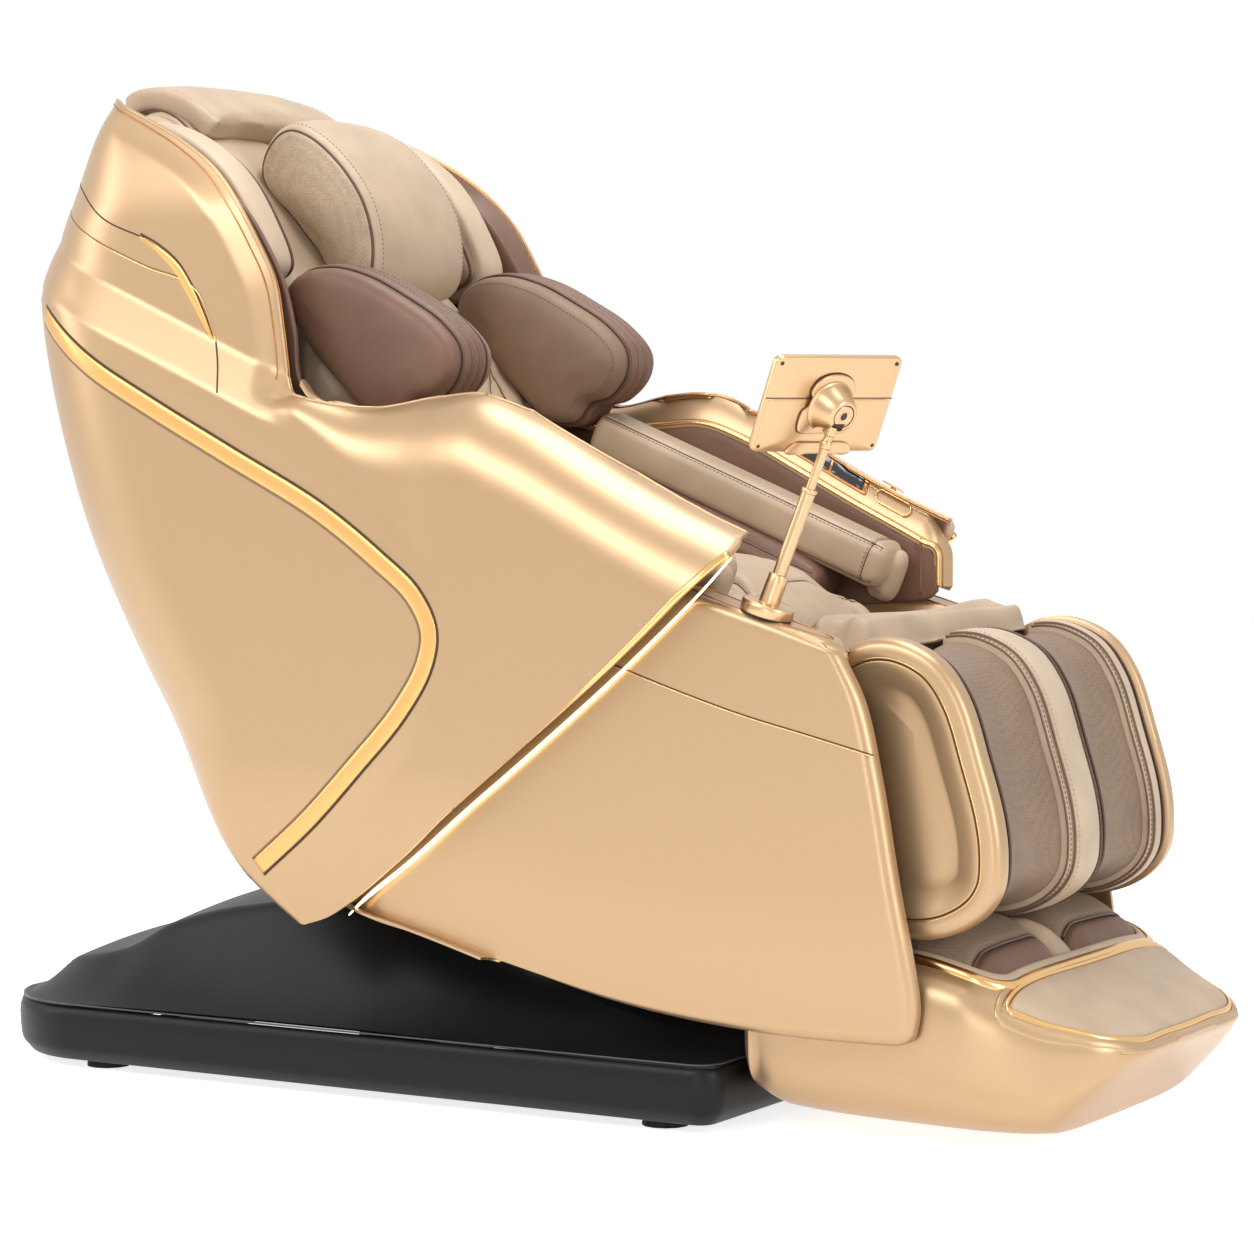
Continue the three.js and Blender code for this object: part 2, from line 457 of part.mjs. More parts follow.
function seat() {
  for (const [name, s] of Object.entries(SIDES)) {
    const drop = s > 0 ? SHELF.drop : 0;
    const body = panel(s, drop);
    const outer = panelFace(SHELF.x[1]) - 6;
    const ledge = [[SHELF.x[0], SHELF.inner], [SHELF.x[1] - 40, SHELF.inner], [SHELF.x[1] - 4, SHELF.inner + 22],
      [SHELF.x[1] - 4, outer], [SHELF.x[0], outer]];
    const top = (w) => ledge.map(([x, y]) => [x, s * y, shelfTop(x) - drop - w]);
    add(`side_panel_${name}`, unite(body, loft([top(SHELF.wall), top(0)])), MAT.gold);

    const line = SHELL_LED_EDGE.slice(1).map(([x, z]) => [x + 0.7 * LED.inset, z - 0.7 * LED.inset]);
    const ring = ([x, z]) => Array.from({ length: 6 }, (_, i) => {
      const a = rad(60 * i);
      return [x + LED.r * Math.cos(a) * 0.7, s * (panelFace(x) + GAP + LED.r + LED.r * Math.sin(a)), z - LED.r * Math.cos(a) * 0.7];
    });
    add(`light_strip_${name}`, loft(smoothLine(line, 10).map(ring)), MAT.light);
  }

  const [p0, p1] = SEAT_PLATE, parts = [];
  const sideShape = [[-338, 372], [-300, 398], [-150, 478], [300, 536], [396, 530], [400, 470], [340, 452], [-40, 372],
    [-180, 330], [RECLINE.x - 40, 330]];
  for (const s of Object.values(SIDES)) {
    parts.push(plate(sideShape, s * p0, s * p1));
    parts.push(bar([RECLINE.x, s * p0, RECLINE.z], [RECLINE.x, s * (BACK_PLATE[1] + 3), RECLINE.z], RECLINE.pin));
    parts.push(bar([KNEE.x, s * (CALF.plate[0] + 2), KNEE.z], [KNEE.x, s * p0 + s, KNEE.z], KNEE.pin));
    const lug = [[TILT.x - 20, TILT.z - 8], [TILT.x - 14, TILT.z - 18], [TILT.x + 14, TILT.z - 18], [TILT.x + 20, TILT.z - 8],
      [TILT.x + 34, 372], [TILT.x - 34, 372]];
    parts.push(plate(lug, s * TILT.lug[0], s * TILT.lug[1]));
    const skin = panel(s, s > 0 ? SHELF.drop : 0).translate(0, -s * GAP, 0);
    for (const [x, z] of [[20, 396], [250, 490]])
      parts.push(cut(bar([x, s * (p1 - 1), z], [x, s * (panelFace(x) - PANEL.wall), z], 12), skin));
  }
  parts.push(bar([TILT.x, -TILT.lug[1], TILT.z], [TILT.x, TILT.lug[1], TILT.z], TILT.shaft));
  parts.push(box(TILT.x - 20, TILT.x + 20, -p0 - 1, p0 + 1, 352, 376));
  parts.push(box(-60, -30, -p0 - 1, p0 + 1, 394, 424));
  const [tx, tz] = ACTUATOR.tail, tailLug = [[-56, 396], [-34, 396], [tx + 13, tz + 8], [tx + 13, tz - 8], [tx, tz - 13],
    [tx - 13, tz - 8]];
  for (const s of Object.values(SIDES)) parts.push(plate(tailLug, s * 8.4, s * 14));
  parts.push(bar([tx, -14, tz], [tx, 14, tz], ACTUATOR.pin));
  parts.push(box(190, 220, -p0 - 1, p0 + 1, 430, SEAT.bottom - SEAT.pan + 1));
  parts.push(box(SEAT.x[0] + 8, SEAT.x[1] - 6, -SEAT.half + 6, SEAT.half - 6, SEAT.bottom - SEAT.pan, SEAT.bottom - GAP));
  for (const x of [-52, 192]) parts.push(box(x, x + 12, -SEAT.half + 20, SEAT.half - 20, 426, SEAT.bottom - SEAT.pan + 1));
  add("seat_frame", unite(...parts), MAT.steel);

  const top = roundedBox(SEAT.x[0], SEAT.x[1], -SEAT.half, SEAT.half, 44, 3);
  const fall = (u) => 40 * clamp((-u + 10) / 110, 0, 1) ** 1.5 + 14 * clamp((u - 150) / 90, 0, 1) ** 2;
  const seam = (u, v) => 9 * Math.exp(-(((Math.abs(v) - (SEAT.half - 56)) / 9) ** 2));
  add("seat_cushion", slab(top, SEAT.bottom, SEAT.side, { round: SEAT.round, crown: SEAT.crown, place: inXY, steps: 3,
    dent: (u, v) => fall(u) + seam(u, v) }), MAT.beige);

  const n = shelfDir(), foot = socketFoot();
  const disc = turned(foot, n, [[0, TABLET.disc[0] - 1], [2, TABLET.disc[0]], [TABLET.disc[1] - 2, TABLET.disc[0]],
    [TABLET.disc[1], TABLET.disc[0] - 2]], 18);
  const tip = polePoint;
  const socket = bar(tip(0), tip(TABLET.socket[1]), TABLET.socket[0], TABLET.socket[0] - 2, 16);
  const bore = hole(tip(12), tip(TABLET.socket[1] + 5), TABLET.outer[0], 16);
  add("tablet_socket", cut(unite(disc, socket), bore), MAT.gold);
}

// ---------------------------------------------------------------- side shells
const rearLine = smoothLine(SHELL_REAR, 60);
const shellRear = (z) => along(rearLine.map(([x, h]) => [h, x]), z);
const capLine = [...SHELL_CAP_EDGE].reverse();
const capTop = (x) => along(capLine, x);
const EAR_FROM = -345;

const shellCorner = (z) => lerp(SHELL.footCorner, SHELL.corner, smooth((z - 250) / 230))
  + (SHELL.topCorner - SHELL.corner) * smooth((z - 1080) / 130);

// Half width of the shell at (x, z): superellipse corner, rounding into the arm's top, inset ears.
function shellHalf(x, z) {
  const low = lerp(SHELL_LOW, SHELL.half, smooth((z - 213) / 200));
  const band = (line) => line[1] - EAR.fall * (x - line[0]);
  const up = smooth((z - band(EAR.low)) / (band(EAR.high) - band(EAR.low)));
  const ear = EAR.inset * up * smooth((-x - 300) / 60) + EAR.narrow * clamp((z - 1060) / 160, 0, 1) ** 1.7;
  const corner = shellCorner(z), deep = clamp((shellRear(z) + corner - x) / corner, 0, 0.9999);
  let y = (low - ear) * (1 - deep ** SHELL.power) ** (1 / SHELL.power);
  const fade = smooth((x - EAR_FROM) / 60);
  const depth = (capTop(x) - z) * Math.cos(rad(22));
  if (fade > 0 && depth < CAP_ROUND) {
    const d = CAP_ROUND - clamp(depth, 0, CAP_ROUND);
    y -= fade * (CAP_ROUND - Math.sqrt(Math.max(0, CAP_ROUND ** 2 - d ** 2)));
  }
  return y;
}

// Where the shell reaches a half width y at height z.
function shellAt(y, z) {
  let [behind, ahead] = [shellRear(z), shellRear(z) + shellCorner(z)];
  for (let i = 0; i < 24; i++) {
    const mid = (behind + ahead) / 2;
    if (shellHalf(mid, z) < y) behind = mid;
    else ahead = mid;
  }
  return ahead;
}

// Where the columns of the shell stand, from the seam with the rear shell to the front edge: they crowd
// at the rear corner and at the arm's rounding, where the shell turns most.
const SHELL_COLUMNS = [0, 0.035, 0.09, 0.17, 0.29, 0.45, 0.62, 0.77, 0.87, 0.94, 1];

// Half width of the arch that the shell leaves open over the base at its rear.
const archHalf = (z) => lerp(SEAM_Y, within(SHELL.archIn), smooth((SHELL.archTop - z) / SHELL.archRise));

// One row of the shell, from the seam to a point of its front edge.
function shellRow(rearZ, [frontX, frontZ], ease) {
  const start = shellAt(SEAM_Y, rearZ);
  return SHELL_COLUMNS.map((t, c) => {
    const z = lerp(rearZ, frontZ, 1 - (1 - t) ** ease);
    return [Math.max(lerp(start, frontX, t), shellAt(Math.max(SEAM_Y + 4 * c, archHalf(z)), z)), z];
  });
}

function shellGrid(side) {
  const edge = [...SHELL_LED_EDGE, ...SHELL_CAP_EDGE, ...SHELL_EAR_EDGE];
  return edge.map((front, i) => {
    const t = i / (edge.length - 1), rearZ = lerp(SHELL.archTop, 1202, t ** 0.9);
    const row = shellRow(rearZ, front, lerp(3.2, 1, clamp(t * 4, 0, 1)));
    return row.map(([x, z], c) => [x, side * (c === 0 ? SEAM_Y : Math.max(SEAM_Y, shellHalf(x, z))), z]);
  });
}

// A point on the arm's top, by its place along and across the arm.
const capPoint = (x, y) => [x, y, capTop(x) - capDrop(y)];
// How far the arm's top lies below its inner edge, at a distance from the middle.
const capDrop = (y) => {
  const out = clamp(y - (SHELL.half - CAP_ROUND), 0, CAP_ROUND);
  return (CAP_ROUND - Math.sqrt(CAP_ROUND ** 2 - out ** 2)) / Math.cos(rad(22));
};

const shellSkin = (side, wall) => sheet(shellGrid(side), wall, side,
  ([x, y, z]) => [x, side * Math.max(SEAM_Y, side * y), z]);

function shells() {
  for (const [name, s] of Object.entries(SIDES)) {
    let body = shellSkin(s, SHELL.wall);
    if (s > 0) {
      const [x, y, z] = capPoint(BUTTON.x, BUTTON.y);
      body = cut(body, hole([x, y, z - 30], [x, y, z + 20], BUTTON.stem));
    }
    add(`side_shell_${name}`, body, MAT.gold);
    const band = smoothLine(ACCENT_LINE, 20), half = ACCENT.width / 2;
    const strip = band.map(([x, z], i) => {
      const [a, b] = [band[Math.max(0, i - 1)], band[Math.min(band.length - 1, i + 1)]];
      const n = new THREE.Vector2(-(b[1] - a[1]), b[0] - a[0]).normalize();
      return [-1, 1].map((k) => {
        const [u, v] = [x + n.x * half * k, z + n.y * half * k];
        return [u, s * (shellHalf(u, v) - ACCENT.sunk), v];
      });
    });
    const under = shellSkin(s, SHELL.wall).translate(0, s * GAP, 0);
    add(`accent_band_${name}`, cut(sheet(strip, ACCENT.sunk + ACCENT.proud, s), under), MAT.accent);
  }

  const cols = 9, rows = 10;
  const grid = Array.from({ length: rows }, (_, r) => Array.from({ length: cols }, (_, c) => {
    const y = lerp(-1, 1, c / (cols - 1)) * (SEAM_Y - GAP), z = lerp(SHELL.archTop, 1202, r / (rows - 1));
    return [shellAt(Math.abs(y), z), y, z];
  }));
  add("rear_shell", sheet(grid, SHELL.wall, 1), MAT.gold);
}

// ---------------------------------------------------------------- back: frame, leather and cushions
const backDir = () => [-Math.sin(rad(BACK.lean)), Math.cos(rad(BACK.lean))];
// u runs up the back from its foot, v across, w out of its face.
function onBack(u, v, w) {
  const [dx, dz] = backDir();
  return [BACK.foot[0] + u * dx + w * dz, v, BACK.foot[1] + u * dz - w * dx];
}
const backBox = (u0, u1, v0, v1, w0, w1) => loft([w0, w1].map((w) => [
  onBack(u0, v0, w), onBack(u1, v0, w), onBack(u1, v1, w), onBack(u0, v1, w)]));

// u runs down the arm, v up from its line, w outwards.
const onArm = (side) => (u, v, w) => {
  const c = Math.cos(rad(ARM.fall)), s = Math.sin(rad(ARM.fall));
  return [ARM.start[0] + u * c + v * s, side * w, ARM.start[1] - u * s + v * c];
};

function backFrame() {
  const parts = [], [y0, y1] = BACK_PLATE;
  const side = [[RECLINE.x - 28, RECLINE.z - 30], [RECLINE.x + 28, RECLINE.z - 30], [RECLINE.x + 30, RECLINE.z + 22],
    [-262, 600], [-276, 740], [-500, 1040], [-556, 1112], [-636, 1096], [-606, 960], [-436, 640], [RECLINE.x - 42, RECLINE.z + 30]];
  for (const s of Object.values(SIDES)) {
    const bore = hole([RECLINE.x, s * (y0 - 5), RECLINE.z], [RECLINE.x, s * (y1 + 5), RECLINE.z], RECLINE.pin);
    parts.push(cut(plate(side, s * y0, s * y1), bore));
    const skin = shellSkin(s, SHELL.wall + GAP);
    for (const [x, z] of [[-420, 720], [-560, 985]])
      parts.push(cut(bar([x, s * (y1 - 1), z], [x, s * (shellHalf(x, z) - SHELL.wall / 2), z], 14, 14, 8), skin));
    const y = s * RAIL.y, half = RAIL.wide / 2;
    parts.push(backBox(...RAIL.u, y - half, y + half, ...RAIL.w));
    for (const [u, w] of [[110, -190], [500, -170]])
      parts.push(backBox(u - 12, u + 12, y - half, y + half, w - 4, RAIL.w[0] + 1));
  }
  // straps that carry the back cushion, clear of the kneading unit's way
  const [w0, w1] = [BACK.w[0] - 8, BACK.w[0] - GAP];
  for (const s of Object.values(SIDES)) {
    const [near, far] = [56, 30].map((d) => s * (BACK.half - d));
    parts.push(backBox(60, 540, near, far, w0, w1));
    for (const u of [190, 430]) parts.push(backBox(u, u + 30, near, s * (y0 + 1), w0, w1));
  }
  for (const [u, w] of [[110, -190], [500, -170]])
    parts.push(bar(onBack(u, -y0 - 1, w), onBack(u, y0 + 1, w), 13));
  add("back_frame", unite(...parts), MAT.steel);
}

// Distance of the liner's face from the middle at x: it steps outwards behind the arm.
const linerAt = (x) => lerp(ARM.liner, ARM.linerEar, smooth((-x - 260) / 120));

function backCushions() {
  const { length, low: lowHalf, half, topHalf, w, crown } = BACK;
  const edge = [[0, lowHalf], [272, lowHalf], [300, half], [410, half], [462, topHalf], [length, topHalf]];
  const outline = softened([...edge, ...edge.toReversed().map(([u, v]) => [u, -v])], 34, 1);
  const vee = (u, v) => 7 * Math.exp(-(((u - 190 - Math.abs(v) * 1.1) / 12) ** 2)) + 7 * Math.exp(-(((u - 320 - Math.abs(v) * 1.1) / 12) ** 2));
  add("back_cushion", slab(outline, w[0], w[1], { round: 16, crown, place: onBack, dent: (u, v) => vee(u, v) }), MAT.beige);

  const pillow = roundedBox(...PILLOW.u, -PILLOW.half, PILLOW.half, 40, 3);
  const waist = (u, v) => 6 * Math.exp(-(((Math.abs(v) - 62) / 8) ** 2));
  add("head_pillow", slab(pillow, ...PILLOW.w, { round: PILLOW.round, crown: PILLOW.crown, place: onBack, dent: waist, steps: 3 }),
    MAT.beige);

  const line = smoothLine(FLAP_LINE, 10);
  add("head_flap", sheet(line.map(([x, z]) => [-1, -0.9, -0.5, 0, 0.5, 0.9, 1].map((s) => (
    [x, s * FLAP.half, z - 10 * Math.abs(s) ** 3]))), FLAP.thick, -1), MAT.beige);

  for (const [name, s] of Object.entries(SIDES)) {
    const shoulder = softened(SHOULDER_OUTLINE, 22, 1);
    const { inner, outer, round } = SHOULDER;
    const toLiner = (u, v, w) => [u, s * (w + (linerAt(u) - ARM.liner) * clamp((w - inner) / (outer - inner), 0, 1)), v];
    add(`shoulder_pad_${name}`, slab(shoulder, inner, outer, { round, crownBack: 6, place: toLiner }), MAT.brown);
    add(`head_side_pad_${name}`, slab(softened(HEAD_SIDE_OUTLINE, 34, 1), HEAD_SIDE.inner, HEAD_SIDE.outer,
      { round: 12, crownBack: 4, place: inXZ(s) }), MAT.taupe);

    const upper = [[249, 668], [200, 696], [140, 728], [60, 767], [-20, 808], [-85, 832], [-150, 830], [-230, 818],
      [-300, 828], [-334, 864], [-342, 925], [-356, 985], [-380, 1028], [-410, 1070], [-454, 1112], [-508, 1144]];
    const lower = [[249, 600], [200, 588], [140, 584], [60, 588], [-20, 600], [-85, 620], [-150, 650], [-220, 700],
      [-280, 752], [-330, 800], [-370, 850], [-405, 900], [-440, 950], [-480, 1000], [-530, 1050], [-580, 1094]];
    const liner = upper.map((p, i) => [0, 0.5, 1].map((t) => {
      const x = lerp(lower[i][0], p[0], t), z = lerp(lower[i][1], p[1], t);
      return [x, s * linerAt(x), z];
    }));
    add(`arm_liner_${name}`, sheet(liner, ARM.linerWall, -s), MAT.brown);

    const roll = roundedBox(0, ARM.length, -ARM.high / 2, ARM.high / 2, 20, 2);
    add(`arm_cushion_${name}`, slab(roll, ARM.inner, ARM.outer, { round: 18, crown: 0, crownBack: 6, place: onArm(s) }), MAT.beige);
    const drop = -ARM.high / 2 - ARM.lowHigh / 2 - 2;
    const low = roundedBox(-16, ARM.lowLength - 16, drop - ARM.lowHigh / 2, drop + ARM.lowHigh / 2, 16, 2);
    add(`arm_lower_pad_${name}`, slab(low, ARM.lowInner, ARM.outer, { round: 14, crownBack: 4, place: onArm(s) }), MAT.brown);

    const [in0, in1, out] = [ARM.liner - 3, ARM.liner + 9.6, within(57)];
    const rim = [[in0, 606], [in1, 606], [in1, 650], [out, 652], [out, 661], [in0, 674]];
    add(`arm_front_rim_${name}`, prism(rim, ...ARM.front, (y, z, x) => [x, s * y, z]), MAT.accent);
  }

  const [x0, x1] = KEYS.x, keyRows = [0, 0.25, 0.5, 0.75, 1].map((t) => [0, 0.5, 1].map((q) => {
    const [x, y, z] = capPoint(lerp(x0, x1, t), lerp(...KEYS.y, q));
    return [x, y, z - KEYS.sunk];
  }));
  const under = shellSkin(1, 2 * SHELL.wall).translate(0, 0, GAP);
  add("key_strip_left", cut(sheet(keyRows, KEYS.sunk + KEYS.thick, 1), under), MAT.glass);
  const [bx, by, bz] = capPoint(BUTTON.x, BUTTON.y), [rx, ry] = BUTTON.r;
  const oval = (w, grow) => Array.from({ length: 16 }, (_, i) => {
    const a = (2 * Math.PI * i) / 16, x = bx + (rx + grow) * Math.cos(a), y = by + (ry + grow) * Math.sin(a);
    return [x, y, capPoint(x, y)[2] + w];
  });
  const cap = loft([oval(BUTTON.stand, 0), oval(BUTTON.stand + 1.4, 0), oval(BUTTON.stand + 2.2, -2)]);
  add("arm_button_left", unite(cap, bar([bx, by, bz - 16], [bx, by, bz + BUTTON.stand + 1], BUTTON.stem, BUTTON.stem, 12)),
    MAT.accent);
}

function massage() {
  const [w0, w1] = CARRIAGE.w, half = RAIL.y - RAIL.wide / 2 - RUN, u = CARRIAGE.u;
  const shaft = bar(onBack(u, -half + 8, KNEAD.w), onBack(u, half - 8, KNEAD.w), KNEAD.shaft);
  const ears = [-1, 1].map((s) => backBox(u - 14, u + 14, s * (half - 16), s * (half - 8), w1 - 1, KNEAD.w + 12));
  add("massage_carriage", unite(backBox(u - CARRIAGE.long / 2, u + CARRIAGE.long / 2, -half, half, w0, w1), shaft, ...ears),
    MAT.steel);
  for (const [name, s] of Object.entries(SIDES)) {
    const y = s * KNEAD.y, t = KNEAD.wide / 2;
    const arm = (v0, v1) => backBox(u - KNEAD.reach, u + KNEAD.reach, y + v0, y + v1, KNEAD.w - 9, KNEAD.w + 9);
    const wheels = [-1, 1].map((k) => turned(onBack(u + k * KNEAD.reach, y - t, KNEAD.w), [0, 1, 0],
      [[0, KNEAD.roller - 8], [6, KNEAD.roller], [2 * t - 6, KNEAD.roller], [2 * t, KNEAD.roller - 8]], 10));
    const bore = hole(onBack(u, y - t - 2, KNEAD.w), onBack(u, y + t + 2, KNEAD.w), KNEAD.shaft);
    const hub = bar(onBack(u, y - t, KNEAD.w), onBack(u, y + t, KNEAD.w), 16, 16, 8);
    add(`kneading_arm_${name}`, cut(unite(arm(-4, 4), hub, ...wheels), bore), MAT.rubber);
  }
}

// ---------------------------------------------------------------- legrest, foot rest and actuator
function calf() {
  const [y0, y1] = CALF.plate, front = smoothLine(CALF_FRONT, 20);
  const outline = [...front, [374, 300], [354, 420], [340, 490], [346, 540]];
  for (const [name, s] of Object.entries(SIDES)) {
    const body = slab(outline, y0, y1, { round: 7, place: inXZ(s) });
    const bore = hole([KNEE.x, s * (y0 - 5), KNEE.z], [KNEE.x, s * (y1 + 8), KNEE.z], KNEE.pin);
    add(`calf_plate_${name}`, cut(body, bore), MAT.gold);
  }
  // the cover's three bands stand proud of its back, and the pads lie in the channels between them
  const [c0, c1] = CALF.channel, rear = CALF.rear + GAP, bandLine = smoothLine(CALF_FRONT.slice(1, -1), 15);
  const profile = (depth) => inset([...bandLine, [CALF.rear - 60, 246], [CALF.rear - 60, 566]], depth);
  const behind = (x) => box(CALF.rear - 90, x, -y1, y1, CALF.bottom - 20, KNEE.z + 120);
  const band = (v0, v1) => cut(slab(profile(3), v0, v1, { round: 9, place: inXZ(1) }), behind(rear));
  const edge = y0 - GAP, back = box(rear, CALF.channelBack, -edge + 4, edge - 4, 262, 548);
  add("calf_cover", unite(back, band(-edge, -c1 - GAP), band(-c0 + GAP, c0 - GAP), band(c1 + GAP, edge)), MAT.beige);
  for (const [name, s] of Object.entries(SIDES))
    add(`calf_pad_${name}`, cut(slab(profile(CALF.pad), c0, c1, { round: 14, place: inXZ(s) }),
      behind(CALF.channelBack + GAP)), MAT.taupe);

  const block = box(352, CALF.rear, -y0 + GAP, y0 - GAP, 284, 540);
  const slots = Object.values(SIDES).map((s) => box(SLIDER.x[0] - RUN, SLIDER.x[1] + RUN,
    s * SLIDER.y - SLIDER.wide / 2 - RUN, s * SLIDER.y + SLIDER.wide / 2 + RUN, 270, SLIDER.top + 12));
  const slot = SLIDER.y - SLIDER.wide / 2, edgeWall = y0 - 8;
  const windows = [[30, slot - 12], [slot + SLIDER.wide + 10, edgeWall]];
  const lighten = Object.values(SIDES).flatMap((s) => windows.map(([a, b]) => box(345, CALF.rear - 4, s * a, s * b, 304, 520)));
  const eye = [ACTUATOR.eye[0], 0, ACTUATOR.eye[1]];
  const ears = [-1, 1].map((k) => plate([[354, eye[2] - 24], [354, eye[2] + 24], [eye[0], eye[2] + 14], [eye[0] - 12, eye[2]],
    [eye[0], eye[2] - 14]], k * 12, k * 18));
  add("legrest_frame", unite(cut(block, ...slots, ...lighten), ...ears), MAT.steel);

  const { inner, outer, reach, half, from, to, round, notch } = KNEE_COVER;
  const bulge = (a) => lerp(outer, reach, smooth((a - 95) / 80));
  const polar = (r, a) => [KNEE.x + r * Math.cos(rad(a)), KNEE.z + r * Math.sin(rad(a))];
  const drape = Array.from({ length: 11 }, (_, i) => lerp(from, to, i / 10)).map((a) => {
    const top = bulge(a), edges = [[inner, half - round], [inner + round, half], [top - round, half], [top, half - round]];
    return [...edges, ...edges.toReversed().map(([r, y]) => [r, -y])].map(([r, y]) => {
      const [x, z] = polar(r, a);
      return [x, y, z];
    });
  });
  // the notch lets the actuator pass when the legrest is up
  const way = [[inner - 10, notch.from], [reach + 15, notch.from], [reach + 20, (notch.from + to) / 2], [reach + 15, to + 6],
    [inner - 10, to + 6]].map(([r, a]) => polar(r, a));
  add("knee_cover", cut(loft(drape), plate(way, -notch.half, notch.half)), MAT.beige);
}

const footHalf = (x) => FOOT.half - along(FOOT_STATIONS, x);
const footTop = (x) => along(FOOT_STATIONS.map((p) => [p[0], p[3]]), x);
const footUnder = (x) => along(FOOT_STATIONS.map((p) => [p[0], p[2]]), x);
// Height of the foot shell's upper surface, which falls away towards its sides.
function footSurface(x, y) {
  const low = footUnder(x), high = footTop(x), out = Math.min(0.999, Math.abs(y) / footHalf(x)) ** (1 / FOOT.power);
  return (low + high) / 2 + ((high - low) / 2) * Math.sqrt(1 - out ** 2) ** FOOT.power;
}

function foot() {
  const section = (x, half, low, high) => Array.from({ length: 20 }, (_, i) => {
    const a = (2 * Math.PI * (i + 0.5)) / 20, c = Math.cos(a), s = Math.sin(a), p = FOOT.power;
    const mid = (low + high) / 2, rise = (high - low) / 2;
    return [x, half * Math.sign(c) * Math.abs(c) ** p, mid + rise * Math.sign(s) * Math.abs(s) ** p];
  });
  const outside = loft(FOOT_STATIONS.map(([x, drawn, low, high]) => section(x, FOOT.half - drawn, low, high)));
  const wall = FOOT.wall, { x: [wx0, wx1], half, floor } = FOOT.well;
  const inside = FOOT_STATIONS.filter(([x], i) => x < 610 && i % 2 === 0).map(([x, drawn, low], i) => section(i ? x : x - 12,
    FOOT.half - drawn - 3 * wall, low + wall, floor - wall));
  const well = roundedBox(wx0, wx1, -half, half, 46, 3).map(([x, y]) => [x, y]);
  const deep = loft([floor, 300].map((z) => well.map(([x, y]) => [x, y, z])));
  const behindWells = box(FOOT_STATIONS[1][0] + wall, wx0 - wall, -half - 14, half + 14, floor / 2, footTop(wx0) - 3 * wall);
  add("foot_shell", cut(outside, loft(inside), behindWells, deep), MAT.gold);

  const border = roundedBox(wx0 - 6, wx1 + 8, -half - 8, half + 8, 50, 4);
  const loop = border.map(([x, y], i) => {
    const [ix, iy] = inset(border, TRIM.wide)[i];
    const z = footSurface(x, y), zi = footSurface(ix, iy);
    return [[x, y, z - TRIM.sunk], [x, y, z + TRIM.high], [ix, iy, zi + TRIM.high], [ix, iy, zi - TRIM.sunk]];
  });
  // the trim and the panel are hollowed out below to lie on the shell
  const seat = outside.clone().translate(0, 0, GAP);
  add("foot_trim", cut(loft(loop, true), seat), MAT.accent);

  const rows = [576, 600, 625, 650, 668, 680].map((x) => [-1, -0.92, -0.6, -0.2, 0.2, 0.6, 0.92, 1].map((s) => (
    [x, s * (footHalf(x) - 26), footSurface(x, s * (footHalf(x) - 26)) + TRIM.panel])));
  add("foot_top_panel", cut(sheet(rows, TRIM.panel + TRIM.sunk, 1), seat), MAT.beige);

  for (const [name, s] of Object.entries(SIDES)) {
    const pad = roundedBox(wx0 + 3, wx1 - 3, 6, half - 3, 40, 3);
    const trough = (u, v) => 22 * Math.exp(-(((v - half / 2) / 52) ** 2)) + 0.3 * Math.max(0, u - 440);
    add(`foot_well_pad_${name}`, slab(pad, floor + GAP, floor + 62, { round: 18, crown: 4, dent: trough,
      place: (u, v, w) => [u, s * v, w] }), MAT.taupe);
  }

  const [x0, x1] = SLIDER.x, foot = footTop(x0) + 4;
  const bars = Object.values(SIDES).map((s) => box(x0, x1, s * SLIDER.y - SLIDER.wide / 2, s * SLIDER.y + SLIDER.wide / 2,
    foot, SLIDER.top));
  add("foot_slider", unite(box(x0 - 6, x1 + 8, -SLIDER.y - 20, SLIDER.y + 20, footTop(x0) + GAP, foot + SLIDER.plate), ...bars),
    MAT.steel);
}

function actuator() {
  const [ax, az] = ACTUATOR.tail, [ex, ez] = ACTUATOR.eye, reach = Math.hypot(ex - ax, ez - az);
  const dir = [(ex - ax) / reach, 0, (ez - az) / reach];
  const at = (h) => [ax + dir[0] * h, 0, az + dir[2] * h];
  const [b0, b1] = ACTUATOR.body;
  const lug = bar([ax, -8, az], [ax, 8, az], 13), pinHole = hole([ax, -20, az], [ax, 20, az], ACTUATOR.pin);
  const tube = cut(turned(at(b0), dir, [[0, 16], [6, ACTUATOR.tube], [b1 - b0, ACTUATOR.tube]]),
    hole(at(b0 + 16), at(b1 + 10), ACTUATOR.rod));
  const motor = bar([at(70)[0], 0, at(70)[2] - 20], [at(70)[0], 0, at(70)[2] - 78], 20, 20, 8);
  add("legrest_actuator_tube", cut(unite(tube, bar(at(6), at(b0 + 4), 8), lug, motor), pinHole), MAT.grey);
  const eye = bar([ex, -7, ez], [ex, 7, ez], 11);
  add("legrest_actuator_rod", unite(bar(at(ACTUATOR.rodFrom), at(reach - 6), ACTUATOR.rod), eye), MAT.steel);
}

